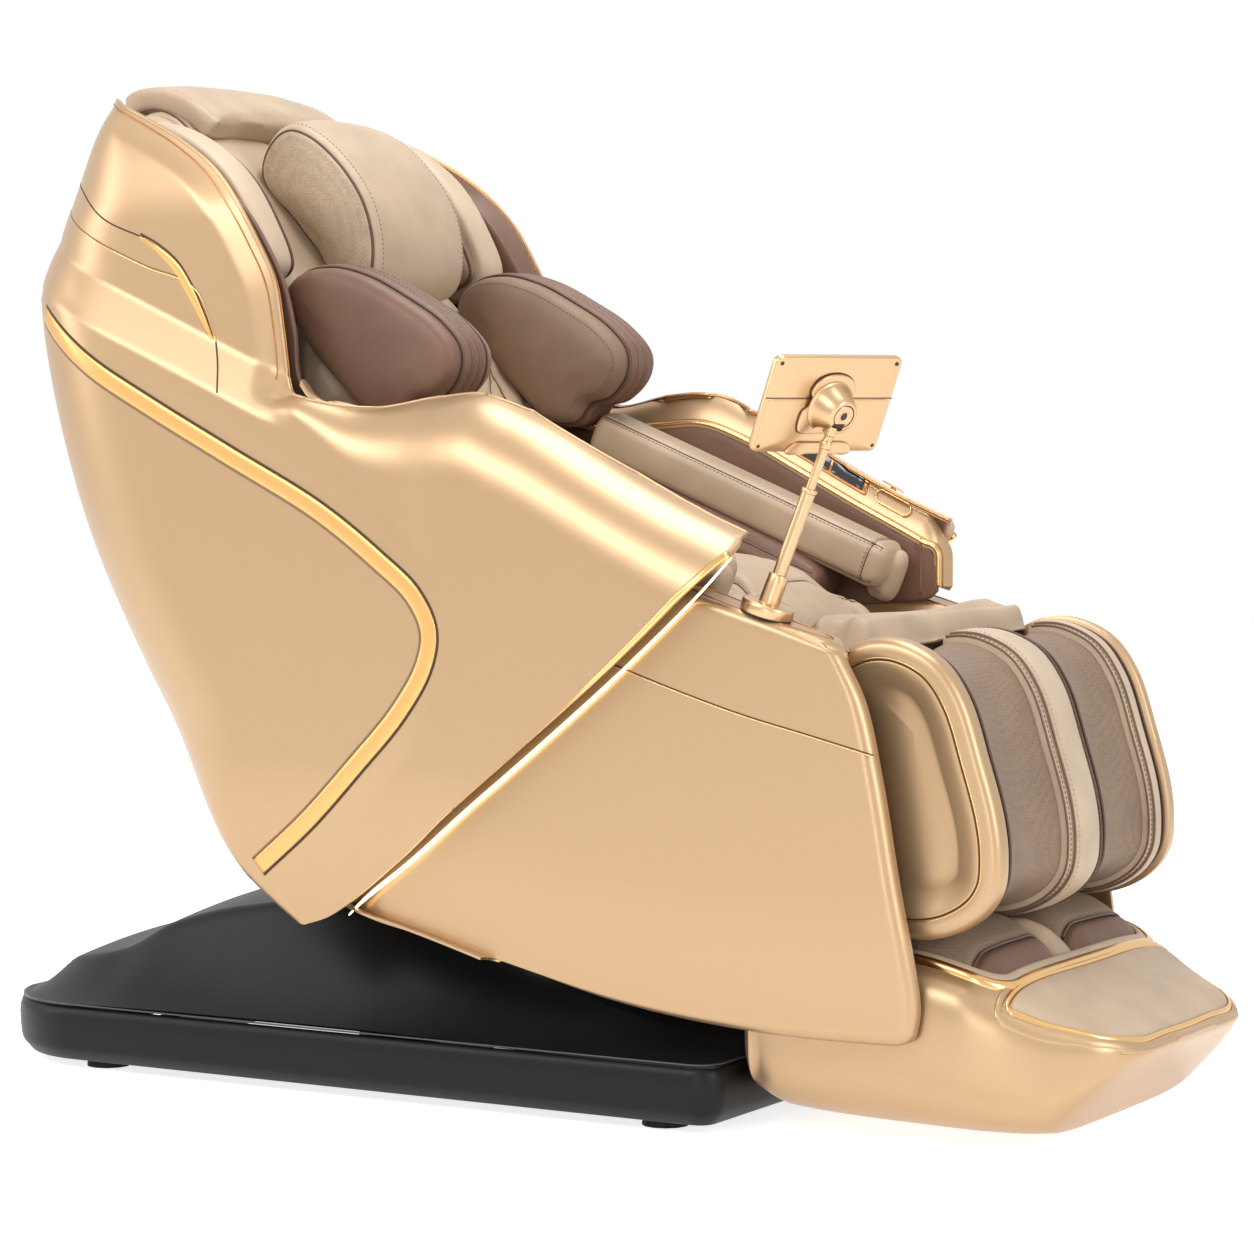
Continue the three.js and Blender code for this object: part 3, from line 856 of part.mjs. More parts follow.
// ---------------------------------------------------------------- tablet on its pole
function tablet() {
  const p = poleDir(), top = polePoint(TABLET.neck), [outerR, outerL] = TABLET.outer;
  const ringAt = (h, r) => turned(polePoint(h), p, [[0, r], [1, r]], 20).attributes.position;
  const ring = (h, r) => Array.from({ length: 20 }, (_, i) => new THREE.Vector3().fromBufferAttribute(ringAt(h, r), i).toArray());
  const base = 12 + GAP;
  add("tablet_pole_outer", loft([ring(base, outerR), ring(base + outerL, outerR), ring(base + outerL, TABLET.inner + RUN),
    ring(base, TABLET.inner + RUN)], true), MAT.gold);

  const ball = new THREE.SphereGeometry(TABLET.ball, 8, 6);
  ball.deleteAttribute("normal");
  ball.deleteAttribute("uv");
  ball.translate(...top);
  const rod = bar(polePoint(base + TABLET.rodFrom), polePoint(TABLET.neck - 16), TABLET.inner);
  const neck = bar(polePoint(TABLET.neck - 17), top, 4.4);
  const collar = bar(polePoint(TABLET.neck - 34), polePoint(TABLET.neck - 24), TABLET.inner + 1.2);
  add("tablet_pole_inner", unite(rod, collar, neck, ball), MAT.gold);

  // axes of the tablet: across, up its face, and out of its back
  const yaw = rad(TABLET.yaw), tilt = rad(TABLET.tilt);
  const across = [Math.cos(yaw), Math.sin(yaw), 0];
  const out = [Math.cos(tilt) * Math.sin(yaw), -Math.cos(tilt) * Math.cos(yaw), -Math.sin(tilt)];
  const up = [Math.sin(tilt) * Math.sin(yaw), -Math.sin(tilt) * Math.cos(yaw), Math.cos(tilt)];
  const place = (u, v, w) => top.map((c, k) => c + across[k] * u + up[k] * v + out[k] * w);
  const [wide, high, thick] = TABLET.case, back = -TABLET.standoff;
  const face = roundedBox(-wide / 2, wide / 2, -high / 2, high / 2, 9, 3);
  const caseBody = slab(face, back - thick, back, { round: 1.6, place, steps: 1 });
  const seatAt = back + GAP;
  const profile = [[seatAt, TABLET.cone], [back + 5, TABLET.cone], [back + 9, 22], [back + 22, 19], [back + 38, 11],
    [back + 42, 10]];
  const knuckle = turned(place(0, 0, 0), out, profile, 12);
  const hollow = new THREE.SphereGeometry((TABLET.ball + RUN) / Math.cos(Math.PI / 8) ** 2, 8, 6);
  hollow.deleteAttribute("normal");
  hollow.deleteAttribute("uv");
  hollow.translate(...top);
  const axis = new THREE.Vector3(...across);
  const slots = [-15, 15].map((a) => {
    const d = new THREE.Vector3(...p).negate().applyAxisAngle(axis, rad(a)).multiplyScalar(60).add(new THREE.Vector3(...top));
    return bar(top, d.toArray(), 8, 8, 8);
  });
  const mount = slab(roundedBox(-34, 34, -30, 30, 12, 3), seatAt, back + 3, { round: 1, place, steps: 1 });
  add("tablet_case", caseBody, MAT.gold);
  add("tablet_mount", cut(unite(mount, knuckle), hollow, ...slots), MAT.gold);
  const glass = roundedBox(-wide / 2 + 4, wide / 2 - 4, -high / 2 + 4, high / 2 - 4, 6, 3);
  add("tablet_screen", slab(glass, back - thick - GAP - 1.6, back - thick - GAP, { round: 0.4, place, steps: 1 }), MAT.glass);
}

base();
seat();
shells();
backFrame();
backCushions();
massage();
calf();
foot();
actuator();
tablet();
chair.position.x = -(BASE.rear + FOOT_STATIONS.at(-1)[0]) / 2;

export default chair;
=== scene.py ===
"""Massage chair with a champagne gold capsule body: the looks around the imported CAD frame.
Points are written in millimetres in the hip frame of the part, whose x is 0 near the sitter's hip;
at() turns them into metres in the row frame."""
import json
import math
import bmesh
import bpy
import numpy as np
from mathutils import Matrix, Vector
from mathutils.kdtree import KDTree


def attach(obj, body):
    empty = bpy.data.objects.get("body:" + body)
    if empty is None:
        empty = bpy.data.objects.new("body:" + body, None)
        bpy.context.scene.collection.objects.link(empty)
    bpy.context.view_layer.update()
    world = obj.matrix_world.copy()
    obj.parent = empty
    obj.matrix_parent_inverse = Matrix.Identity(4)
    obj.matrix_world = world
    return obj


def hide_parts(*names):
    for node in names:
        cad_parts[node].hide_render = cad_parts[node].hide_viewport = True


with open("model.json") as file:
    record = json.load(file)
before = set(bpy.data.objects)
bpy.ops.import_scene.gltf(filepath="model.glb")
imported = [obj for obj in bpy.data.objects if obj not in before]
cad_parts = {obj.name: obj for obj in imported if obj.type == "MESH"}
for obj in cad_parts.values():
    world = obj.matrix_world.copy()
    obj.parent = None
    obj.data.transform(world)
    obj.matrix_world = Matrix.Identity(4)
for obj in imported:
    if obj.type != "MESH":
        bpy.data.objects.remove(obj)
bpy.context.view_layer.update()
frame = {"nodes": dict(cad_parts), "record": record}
HIP = 65.0


def at(points):
    """Millimetres in the hip frame to metres in the row frame."""
    out = np.array(points, float)
    out[..., 0] += HIP
    return out / 1000


# ------------------------------------------------------------------ maths
def smooth(t):
    t = np.clip(t, 0, 1)
    return t * t * (3 - 2 * t)


def ramp(t, k=12.0):
    """Straight climb from 0 to 1 over t = 0 to 1 with its two corners softened."""
    soft = lambda v: np.logaddexp(0, k * v) / k
    return np.clip(soft(t) - soft(t - 1), 0, 1)


def curve(points, count, closed=False):
    """Evenly spaced points on the centripetal Catmull-Rom curve through the given ones."""
    p = np.array(points, float)
    if closed:
        p = np.vstack([p[-1], p, p[0], p[1]])
    else:
        p = np.vstack([2 * p[0] - p[1], p, 2 * p[-1] - p[-2]])
    out = []
    for i in range(1, len(p) - 2):
        a, b, c, d = p[i - 1], p[i], p[i + 1], p[i + 2]
        t0 = 0.0
        t1 = t0 + max(1e-6, np.linalg.norm(b - a)) ** 0.5
        t2 = t1 + max(1e-6, np.linalg.norm(c - b)) ** 0.5
        t3 = t2 + max(1e-6, np.linalg.norm(d - c)) ** 0.5
        t = np.linspace(t1, t2, 24, endpoint=False)[:, None]
        a1 = (t1 - t) / (t1 - t0) * a + (t - t0) / (t1 - t0) * b
        a2 = (t2 - t) / (t2 - t1) * b + (t - t1) / (t2 - t1) * c
        a3 = (t3 - t) / (t3 - t2) * c + (t - t2) / (t3 - t2) * d
        b1 = (t2 - t) / (t2 - t0) * a1 + (t - t0) / (t2 - t0) * a2
        b2 = (t3 - t) / (t3 - t1) * a2 + (t - t1) / (t3 - t1) * a3
        out.append((t2 - t) / (t2 - t1) * b1 + (t - t1) / (t2 - t1) * b2)
    out.append(p[-2][None])
    return resample(np.vstack(out), count, closed)


def resample(line, count, closed=False):
    line = np.array(line, float)
    step = np.r_[0, np.cumsum(np.linalg.norm(np.diff(line, axis=0), axis=1))]
    where = np.linspace(0, step[-1], count + 1)[:-1] if closed else np.linspace(0, step[-1], count)
    return np.stack([np.interp(where, step, line[:, k]) for k in range(line.shape[1])], 1)


def fn(points):
    """A smooth function through (place, value) pairs, flat beyond its ends."""
    p = np.array(sorted(points), float)
    x, y = p[:, 0], p[:, 1]
    h, s = np.diff(x), np.diff(y) / np.diff(x)
    m = np.r_[s[0], np.where(s[:-1] * s[1:] > 0, 2 * s[:-1] * s[1:] / (s[:-1] + s[1:] + 1e-12), 0), s[-1]]

    def value(v):
        v = np.clip(np.asarray(v, float), x[0], x[-1])
        i = np.clip(np.searchsorted(x, v) - 1, 0, len(h) - 1)
        t = (v - x[i]) / h[i]
        return ((2 * t**3 - 3 * t**2 + 1) * y[i] + (t**3 - 2 * t**2 + t) * h[i] * m[i]
                + (-2 * t**3 + 3 * t**2) * y[i + 1] + (t**3 - t**2) * h[i] * m[i + 1])
    return value


def away(x, z, line):
    """Distance of each (x, z) from a line of points, and the side: positive to its left."""
    shape = np.shape(x)
    p = np.stack([np.ravel(x), np.ravel(z)], 1)
    best, side = np.full(len(p), 1e9), np.zeros(len(p))
    for a, b in zip(line[:-1], line[1:]):
        d = b - a
        t = np.clip(((p - a) @ d) / (d @ d + 1e-12), 0, 1)
        v = p - (a + t[:, None] * d)
        r = np.hypot(v[:, 0], v[:, 1])
        near = r < best
        best = np.where(near, r, best)
        side = np.where(near, np.sign(d[0] * (p[:, 1] - a[1]) - d[1] * (p[:, 0] - a[0])), side)
    return best.reshape(shape), side.reshape(shape)


# ------------------------------------------------------------------ meshes
def mesh(name, points, faces, material, body, *, slot=None, flat_angle=None, unit=True):
    """A mesh object from millimetre points in the hip frame, riding on a CAD body."""
    me = bpy.data.meshes.new(name)
    pts = at(points) if unit else np.array(points, float)
    me.from_pydata(pts.reshape(-1, 3).tolist(), [], faces)
    me.validate()
    bm = bmesh.new()
    bm.from_mesh(me)
    bmesh.ops.remove_doubles(bm, verts=bm.verts, dist=2e-6)
    bmesh.ops.recalc_face_normals(bm, faces=bm.faces)
    bm.to_mesh(me)
    bm.free()
    me.shade_smooth()
    if flat_angle:
        me.set_sharp_from_angle(angle=math.radians(flat_angle))
    o = bpy.data.objects.new(name, me)
    bpy.context.scene.collection.objects.link(o)
    if material:
        me.materials.append(material)
    if body:
        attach(o, body)
    return o


def quads(rows, cols, wrap_r=False, wrap_c=False):
    out = []
    for r in range(rows if wrap_r else rows - 1):
        for c in range(cols if wrap_c else cols - 1):
            a, b = r * cols + c, r * cols + (c + 1) % cols
            d, e = ((r + 1) % rows) * cols + (c + 1) % cols, ((r + 1) % rows) * cols + c
            out.append((a, b, d, e))
    return out


def normals(g):
    du = np.gradient(g, axis=1)
    dv = np.gradient(g, axis=0)
    n = np.cross(du, dv)
    return n / (np.linalg.norm(n, axis=2, keepdims=True) + 1e-12)


def rims(g):
    """The grid's border points as one closed list of (row, col)."""
    R, C = g.shape[:2]
    return ([(0, c) for c in range(C)] + [(r, C - 1) for r in range(1, R)]
            + [(R - 1, c) for c in range(C - 2, -1, -1)] + [(r, 0) for r in range(R - 2, 0, -1)])


def skin(name, g, wall, material, body, *, round_edge=0.0, **kw):
    """A closed sheet: grid g outside, its offset by wall inside (sign picks the side), rims joined by
    an edge rounded outwards."""
    n = normals(g)
    R, C = g.shape[:2]
    back = g + n * wall
    pts = [g.reshape(-1, 3), back.reshape(-1, 3)]
    faces = quads(R, C) + [tuple(R * C + i for i in f[::-1]) for f in quads(R, C)]
    ring = rims(g)
    first = [r * C + c for r, c in ring]
    if round_edge:
        out = []
        centre = np.array([g[r, c] + n[r, c] * wall / 2 for r, c in ring])
        inner = np.array([g[min(max(r, 1), R - 2), min(max(c, 1), C - 2)] for r, c in ring])
        own = np.array([g[r, c] for r, c in ring])
        away_dir = own - inner
        away_dir /= np.linalg.norm(away_dir, axis=1, keepdims=True) + 1e-12
        for k in (1, 2, 3):
            a = math.pi * k / 4
            out.append(centre + away_dir * round_edge * math.sin(a)
                       - np.array([n[r, c] for r, c in ring]) * (wall / 2) * math.cos(a))
        levels = [first]
        base = 2 * R * C
        for k, o in enumerate(out):
            pts.append(o)
            levels.append([base + k * len(ring) + i for i in range(len(ring))])
        levels.append([R * C + i for i in first])
    else:
        levels = [first, [R * C + i for i in first]]
    m = len(ring)
    for lo, hi in zip(levels[:-1], levels[1:]):
        for i in range(m):
            j = (i + 1) % m
            faces.append((lo[i], hi[i], hi[j], lo[j]))
    return mesh(name, np.vstack(pts), faces, material, body, **kw)


def lofted(name, rings, material, body, *, closed_ring=False, caps=True, **kw):
    """Rings of equal length joined one to the next, capped by fans."""
    rings = np.array(rings, float)
    R, C = rings.shape[:2]
    faces = quads(R, C, wrap_r=closed_ring, wrap_c=True)
    pts = [rings.reshape(-1, 3)]
    if caps and not closed_ring:
        for r in (0, R - 1):
            k = sum(len(p) for p in pts)
            pts.append(rings[r].mean(0)[None])
            faces += [(k, r * C + i, r * C + (i + 1) % C) for i in range(C)]
    return mesh(name, np.vstack(pts), faces, material, body, **kw)


def tube(name, line, radius, material, body, sides=10, closed=False, **kw):
    """A round cord along a line of points, such as piping or a trim line."""
    line = np.array(line, float)
    if closed:
        tangent = np.roll(line, -1, 0) - np.roll(line, 1, 0)
    else:
        tangent = np.gradient(line, axis=0)
    tangent /= np.linalg.norm(tangent, axis=1, keepdims=True) + 1e-12
    ref = np.array([0.0, 0.0, 1.0])
    rings = []
    side = np.cross(tangent[0], ref)
    if np.linalg.norm(side) < 1e-3:
        side = np.cross(tangent[0], [1.0, 0, 0])
    side /= np.linalg.norm(side)
    for p, t in zip(line, tangent):
        side = side - t * (side @ t)
        side /= np.linalg.norm(side) + 1e-12
        up = np.cross(t, side)
        a = np.linspace(0, 2 * math.pi, sides, endpoint=False)[:, None]
        r = radius if np.isscalar(radius) else radius[len(rings)]
        rings.append(p + r * (np.cos(a) * side + np.sin(a) * up))
    return lofted(name, rings, material, body, closed_ring=closed, **kw)


# ------------------------------------------------------------------ materials
def srgb(r, g, b):
    lin = [(v / 255 / 12.92 if v <= 10 else ((v / 255 + 0.055) / 1.055) ** 2.4) for v in (r, g, b)]
    return (*lin, 1.0)


class Look:
    """Builds one node material: a Principled surface with procedural colour, roughness and bump."""

    def __init__(self, name):
        self.m = bpy.data.materials.new(name)
        self.m.use_nodes = True
        self.t = self.m.node_tree
        self.p = self.t.nodes["Principled BSDF"]
        self.coord = self.t.nodes.new("ShaderNodeTexCoord").outputs["Object"]
        self.normal = None

    def set(self, **values):
        for key, v in values.items():
            self.p.inputs[key.replace("_", " ")].default_value = v
        return self

    def noise(self, scale, detail=2.0, rough=0.5, stretch=None):
        n = self.t.nodes.new("ShaderNodeTexNoise")
        n.inputs["Scale"].default_value = scale
        n.inputs["Detail"].default_value = detail
        n.inputs["Roughness"].default_value = rough
        if stretch:
            mp = self.t.nodes.new("ShaderNodeMapping")
            mp.inputs["Scale"].default_value = stretch
            self.t.links.new(self.coord, mp.inputs["Vector"])
            self.t.links.new(mp.outputs["Vector"], n.inputs["Vector"])
        else:
            self.t.links.new(self.coord, n.inputs["Vector"])
        return n.outputs["Fac"]

    def cells(self, scale, feature="F1", jitter=1.0):
        n = self.t.nodes.new("ShaderNodeTexVoronoi")
        n.feature = feature
        n.inputs["Scale"].default_value = scale
        n.inputs["Randomness"].default_value = jitter
        self.t.links.new(self.coord, n.inputs["Vector"])
        return n.outputs["Distance"]

    def ramp(self, source, *stops):
        n = self.t.nodes.new("ShaderNodeValToRGB")
        n.color_ramp.elements[0].position, n.color_ramp.elements[0].color = stops[0]
        n.color_ramp.elements[1].position, n.color_ramp.elements[1].color = stops[-1]
        for at_, col in stops[1:-1]:
            n.color_ramp.elements.new(at_).color = col
        self.t.links.new(source, n.inputs["Fac"])
        return n.outputs["Color"]

    def span(self, source, low, high):
        n = self.t.nodes.new("ShaderNodeMapRange")
        n.inputs["To Min"].default_value = low
        n.inputs["To Max"].default_value = high
        self.t.links.new(source, n.inputs["Value"])
        return n.outputs["Result"]

    def to(self, name, source):
        self.t.links.new(source, self.p.inputs[name])
        return self

    def bump(self, source, strength, distance):
        n = self.t.nodes.new("ShaderNodeBump")
        n.inputs["Strength"].default_value = strength
        n.inputs["Distance"].default_value = distance
        self.t.links.new(source, n.inputs["Height"])
        if self.normal:
            self.t.links.new(self.normal, n.inputs["Normal"])
        self.normal = n.outputs["Normal"]
        self.t.links.new(self.normal, self.p.inputs["Normal"])
        return self


def lacquer(name, rgb, metal, rough, coat=0.0, flake=0.02, peel=0.02, shine=0.5):
    """Metallic lacquer: fine flakes in the colour and a faint orange peel."""
    k = Look(name)
    a = tuple(v * (1 - flake) for v in srgb(*rgb)[:3]) + (1,)
    b = tuple(min(1, v * (1 + flake)) for v in srgb(*rgb)[:3]) + (1,)
    k.to("Base Color", k.ramp(k.noise(900, 2), (0.3, a), (0.7, b)))
    k.to("Roughness", k.span(k.noise(60, 3), rough - 0.02, rough + 0.03))
    if peel:
        k.bump(k.noise(120, 1), peel, 0.0002)
    return k.set(Metallic=metal, Coat_Weight=coat, Coat_Roughness=0.18, Specular_IOR_Level=shine).m


def leather(name, rgb, rough=0.5, grain=520, depth=0.35, pores=0.0, sheen=0.04):
    """Grained leather, or perforated leather where pores is above 0."""
    k = Look(name)
    base = srgb(*rgb)[:3]
    dark = tuple(v * 0.86 for v in base) + (1,)
    light = tuple(min(1, v * 1.08) for v in base) + (1,)
    tone = k.ramp(k.noise(14, 3), (0.3, dark), (0.7, light))
    if pores:
        cell = k.cells(pores, jitter=0.45)
        shade = k.ramp(cell, (0.2, (1, 1, 1, 1)), (0.7, (0.76, 0.74, 0.72, 1)))
        mix = k.t.nodes.new("ShaderNodeMixRGB")
        mix.blend_type = "MULTIPLY"
        mix.inputs["Fac"].default_value = 1.0
        k.t.links.new(tone, mix.inputs["Color1"])
        k.t.links.new(shade, mix.inputs["Color2"])
        tone = mix.outputs["Color"]
        k.bump(cell, -0.6, 0.0008)
    k.to("Base Color", tone)
    k.to("Roughness", k.span(k.noise(90, 2), rough - 0.06, rough + 0.08))
    k.bump(k.cells(grain), depth, 0.00035)
    k.bump(k.noise(45, 2), 0.12, 0.0012)
    return k.set(Sheen_Weight=sheen, Sheen_Roughness=0.5).m


GOLD = (188, 156, 119)
gold = lacquer("champagne_lacquer", GOLD, 0.62, 0.36, 0.1)
metal = lacquer("gold_anodised", (204, 171, 131), 0.88, 0.3, peel=0.0)
polished = lacquer("polished_trim", (228, 186, 124), 1.0, 0.2, flake=0.01, peel=0.0)
amber = lacquer("amber_stripe", (224, 174, 108), 0.72, 0.36, peel=0.0)
copper = lacquer("copper_line", (168, 118, 72), 0.9, 0.28, peel=0.0)
# painted shade: the next two colours go on thin dark strips and cords laid over grooves, gaps and seams in
# place of their shadow
seam_shade = lacquer("painted_seam_shade", (70, 50, 34), 0.2, 0.6)
groove_shade_grey = lacquer("groove_shadow", (132, 108, 84), 0.5, 0.5)
black = lacquer("satin_black", (16, 16, 17), 0.0, 0.42, flake=0.1, shine=0.22)
black_mat = lacquer("rubber_black", (20, 20, 20), 0.0, 0.8)
glass_black = lacquer("gloss_black", (10, 11, 13), 0.0, 0.08, 0.6)
steel = lacquer("painted_steel", (118, 121, 124), 0.55, 0.42)
grey = lacquer("grey_moulding", (78, 78, 80), 0.0, 0.5)
beige = leather("beige_leather", (192, 168, 141))
beige_light = leather("beige_leather_light", (208, 185, 158))
beige_dots = leather("beige_perforated", (190, 166, 139), pores=300)
taupe = leather("taupe_leather", (146, 122, 98), rough=0.55)
taupe_dots = leather("taupe_perforated", (148, 125, 103), rough=0.58, pores=270)
taupe_deep = leather("taupe_leather_deep", (134, 108, 86), rough=0.55, grain=700)
mauve = leather("mauve_leather", (118, 85, 66), rough=0.5)
brown = leather("brown_leather", (104, 74, 58), rough=0.52)
piping = leather("brown_piping", (92, 64, 49), rough=0.45, grain=900)
thread = leather("stitch_thread", (204, 180, 152), rough=0.6, grain=2000)
thread_dark = leather("stitch_thread_dark", (120, 94, 78), rough=0.6, grain=2000)

glow = Look("led_glow")
glow.set(Emission_Strength=3.2, Roughness=0.4, Base_Color=(1, 0.85, 0.55, 1))
glow.to("Emission Color", glow.ramp(glow.noise(60), (0.2, (1.0, 0.74, 0.36, 1)),
                                    (0.8, (1.0, 0.88, 0.6, 1))))
led = glow.m

# ------------------------------------------------------------------ the side shells
SHELL_REAR = [(-350, 205), (-408, 245), (-480, 309), (-543, 381), (-634, 510), (-742, 727), (-797, 985),
              (-766, 1092), (-700, 1205)]
LED_EDGE = [(-300, 213), (-261, 227), (-164, 296), (-80, 365), (3, 431), (130, 536), (228, 626),
            (268, 668)]
CAP_EDGE = [(262, 690), (200, 716), (140, 745), (-20, 826), (-85, 848), (-150, 845), (-230, 832),
            (-300, 843)]
EAR_EDGE = [(-341, 870), (-348, 925), (-360, 985), (-383, 1030), (-412, 1075), (-456, 1122), (-510, 1158),
            (-575, 1189), (-636, 1214)]
ACCENT_LINE = [(-700, 948), (-606, 884), (-515, 835), (-395, 775), (-265, 710), (-180, 653), (-131, 613),
               (-110, 572), (-117, 531), (-152, 476), (-209, 415), (-281, 345), (-362, 280)]
HALF, LOW, SEAM_Y, ARCH = 365.0, 350.0, 200.0, 430.0
FALL = math.radians(22)
CAP_ROUND = 95.0
rear_curve = curve(SHELL_REAR, 160)
cap_top = fn(CAP_EDGE)
accent_curve = curve(ACCENT_LINE, 120)
ear_curve = curve(EAR_EDGE, 60)


def shell_rear(z):
    return np.interp(z, rear_curve[:, 1], rear_curve[:, 0])


def shell_corner(z):
    return 70 + 150 * smooth((z - 250) / 230) - 110 * smooth((z - 1080) / 130)


def shell_half(x, z, features=True):
    """Half width of the shell: superellipse rear corner, ears set in above the crease, round arm top."""
    x, z = np.asarray(x, float), np.asarray(z, float)
    low = LOW + (HALF - LOW) * smooth((z - 213) / 200)
    lower, upper = 964 - 0.434 * (x + 682), 1027 - 0.434 * (x + 697)
    up = ramp((z - lower) / (upper - lower), 45) if features else smooth((z - lower) / (upper - lower))
    ear = 30 * up * smooth((-x - 300) / 60) + 62 * np.clip((z - 1060) / 160, 0, 1) ** 1.7
    corner = shell_corner(z)
    deep = np.clip((shell_rear(z) + corner - x) / corner, 0, 0.9999)
    y = (low - ear) * (1 - deep**2.5) ** 0.4
    reach = 16 + (CAP_ROUND - 16) * smooth((x + 341) / 200)
    depth = (cap_top(x) - z) * math.cos(FALL)
    d = reach - np.clip(depth, 0, reach)
    y = y - smooth((x + 354) / 30) * (reach - np.sqrt(np.maximum(0, reach**2 - d**2)))
    if features:
        off, side = away(x, z, accent_curve)
        inside = side > 0
        y = y - np.where(inside, 3.0 * smooth((off - 8) / 40) * smooth((-x - 100) / 60), 0)
        rim, _ = away(x, z, ear_curve)
        y = y - 15 * ramp((34 - rim) / 34, 20) * smooth((1215 - z) / 120) * smooth((-x - 290) / 50)
    return y


def shell_at(y, z):
    """Where the shell reaches a half width y at height z."""
    behind = shell_rear(z)
    ahead = behind + shell_corner(z)
    for _ in range(26):
        mid = (behind + ahead) / 2
        less = shell_half(mid, z, False) < y
        behind, ahead = np.where(less, mid, behind), np.where(less, ahead, mid)
    return ahead


def arch_half(z):
    return SEAM_Y + 90 * smooth((ARCH + 22 - z) / 130)


TIP = [(268, 668), (271, 674), (270, 682), (262, 690)]
CUT = [(-326, 852), (-330, 760), (-318, 560), (-300, 380), (-300,
        213)]  # splits the shell into two even grids


def shell_rear_grid(rows, cols):
    """From the rear seam round the corner to the cut line and the front edge of the ear."""
    low = round(rows * 0.58)
    join = curve([(-326, 852), (-336, 860), (-341, 870)], 4)
    front = np.vstack([curve(CUT, low)[::-1], join[1:-1], curve(EAR_EDGE, rows - low - 2)])
    t = np.r_[0, np.cumsum(np.linalg.norm(np.diff(front, axis=0), axis=1))]
    t /= t[-1]
    rear_z = ARCH + (1202 - ARCH) * t**0.85
    rear = np.stack([shell_at(SEAM_Y, rear_z), rear_z], 1)
    ease = (2.2 - 1.1 * smooth(t / 0.5))[:, None]
    c = np.linspace(0, 1, cols)[None]
    c = 0.45 * c + 0.55 * c**1.9
    Z = rear[:, 1:] + (front[:, 1:] - rear[:, 1:]) * (1 - (1 - c) ** ease)
    X = np.zeros_like(Z)
    for k in range(cols):
        # share of the way round: even steps of arc round the corner, then straight to the front
        X[:, k] = rear[:, 0] + (front[:, 0] - rear[:, 0]) * c[0, k]
        X[:, k] = np.maximum(X[:, k], shell_at(np.maximum(SEAM_Y + 60 * c[0, k], arch_half(Z[:, k])),
                Z[:, k]))
    return X, Z


def shell_arm_grid(low, cols):
    """From the cut line to the tip of the arm, between the arm's top edge and its lower front edge."""
    left = curve(CUT, low)[::-1]
    bottom = curve([(-300, 213)] + LED_EDGE[1:], cols)
    top = curve([(-326, 852), (-300, 843)] + CAP_EDGE[-2::-1], cols)
    right = curve(TIP, low)
    u, v = np.linspace(0, 1, cols)[None, :, None], np.linspace(0, 1, low)[:, None, None]
    v = 0.75 * v + 0.25 * np.sin(v * np.pi / 2)
    g = ((1 - v) * bottom[None] + v * top[None] + (1 - u) * left[:, None] + u * right[:, None]
         - (1 - u) * (1 - v) * bottom[0] - u * (1 - v) * bottom[-1] - (1 - u) * v * top[0] - u * v
         * top[-1])
    g[:, 0] = left
    return g[..., 0], g[..., 1]


def tip_turn(x, y):
    """How far the left arm's tip turns back from its inner edge."""
    return 0.6 * np.maximum(0, y - 272) * smooth((x - 130) / 130)


def on_shell(x, z):
    y = np.maximum(SEAM_Y, shell_half(x, z))
    return np.stack([x, y, z], 2)


def both(build):
    """Runs a builder for the right (-1) and the left (1) side."""
    for label, side in (("right", -1), ("left", 1)):
        build(label, side)


def on_side(side, pts):
    out = np.array(pts, float)
    out[..., 1] *= side
    return out


def rolled(g, edge, radius, steps=6):
    """Adds rows or columns that roll the grid's edge away from the side that its normals point to."""
    g = np.array(g, float)
    n = normals(g)
    take = {"top": (g[-1], g[-2], n[-1]), "bottom": (g[0], g[1], n[0]),
            "right": (g[:, -1], g[:, -2], n[:, -1]), "left": (g[:, 0], g[:, 1], n[:, 0])}[edge]
    last, before, nn = take
    d = last - before
    d -= nn * (d * nn).sum(1, keepdims=True)
    d /= np.linalg.norm(d, axis=1, keepdims=True) + 1e-12
    extra = []
    for k in range(1, steps + 1):
        a = math.pi / 2 * k / steps
        extra.append(last + radius * math.sin(a) * d - nn * radius * (1 - math.cos(a)))
    extra = np.array(extra)
    if edge == "top":
        return np.concatenate([g, extra], 0)
    if edge == "bottom":
        return np.concatenate([extra[::-1], g], 0)
    extra = extra.transpose(1, 0, 2)
    return np.concatenate([g, extra], 1) if edge == "right" else np.concatenate([extra[:, ::-1], g], 1)


ROWS = 260
LOW_ROWS = round(ROWS * 0.58)
SHELL = [on_shell(*shell_rear_grid(ROWS, 165)),
         on_shell(*shell_arm_grid(LOW_ROWS, 130))]


def outwards(g, side):
    """The grid on its side of the chair, with its normals pointing away from the middle."""
    g = on_side(side, g)
    return g if np.mean(normals(g)[..., 1]) * side > 0 else g[:, ::-1]


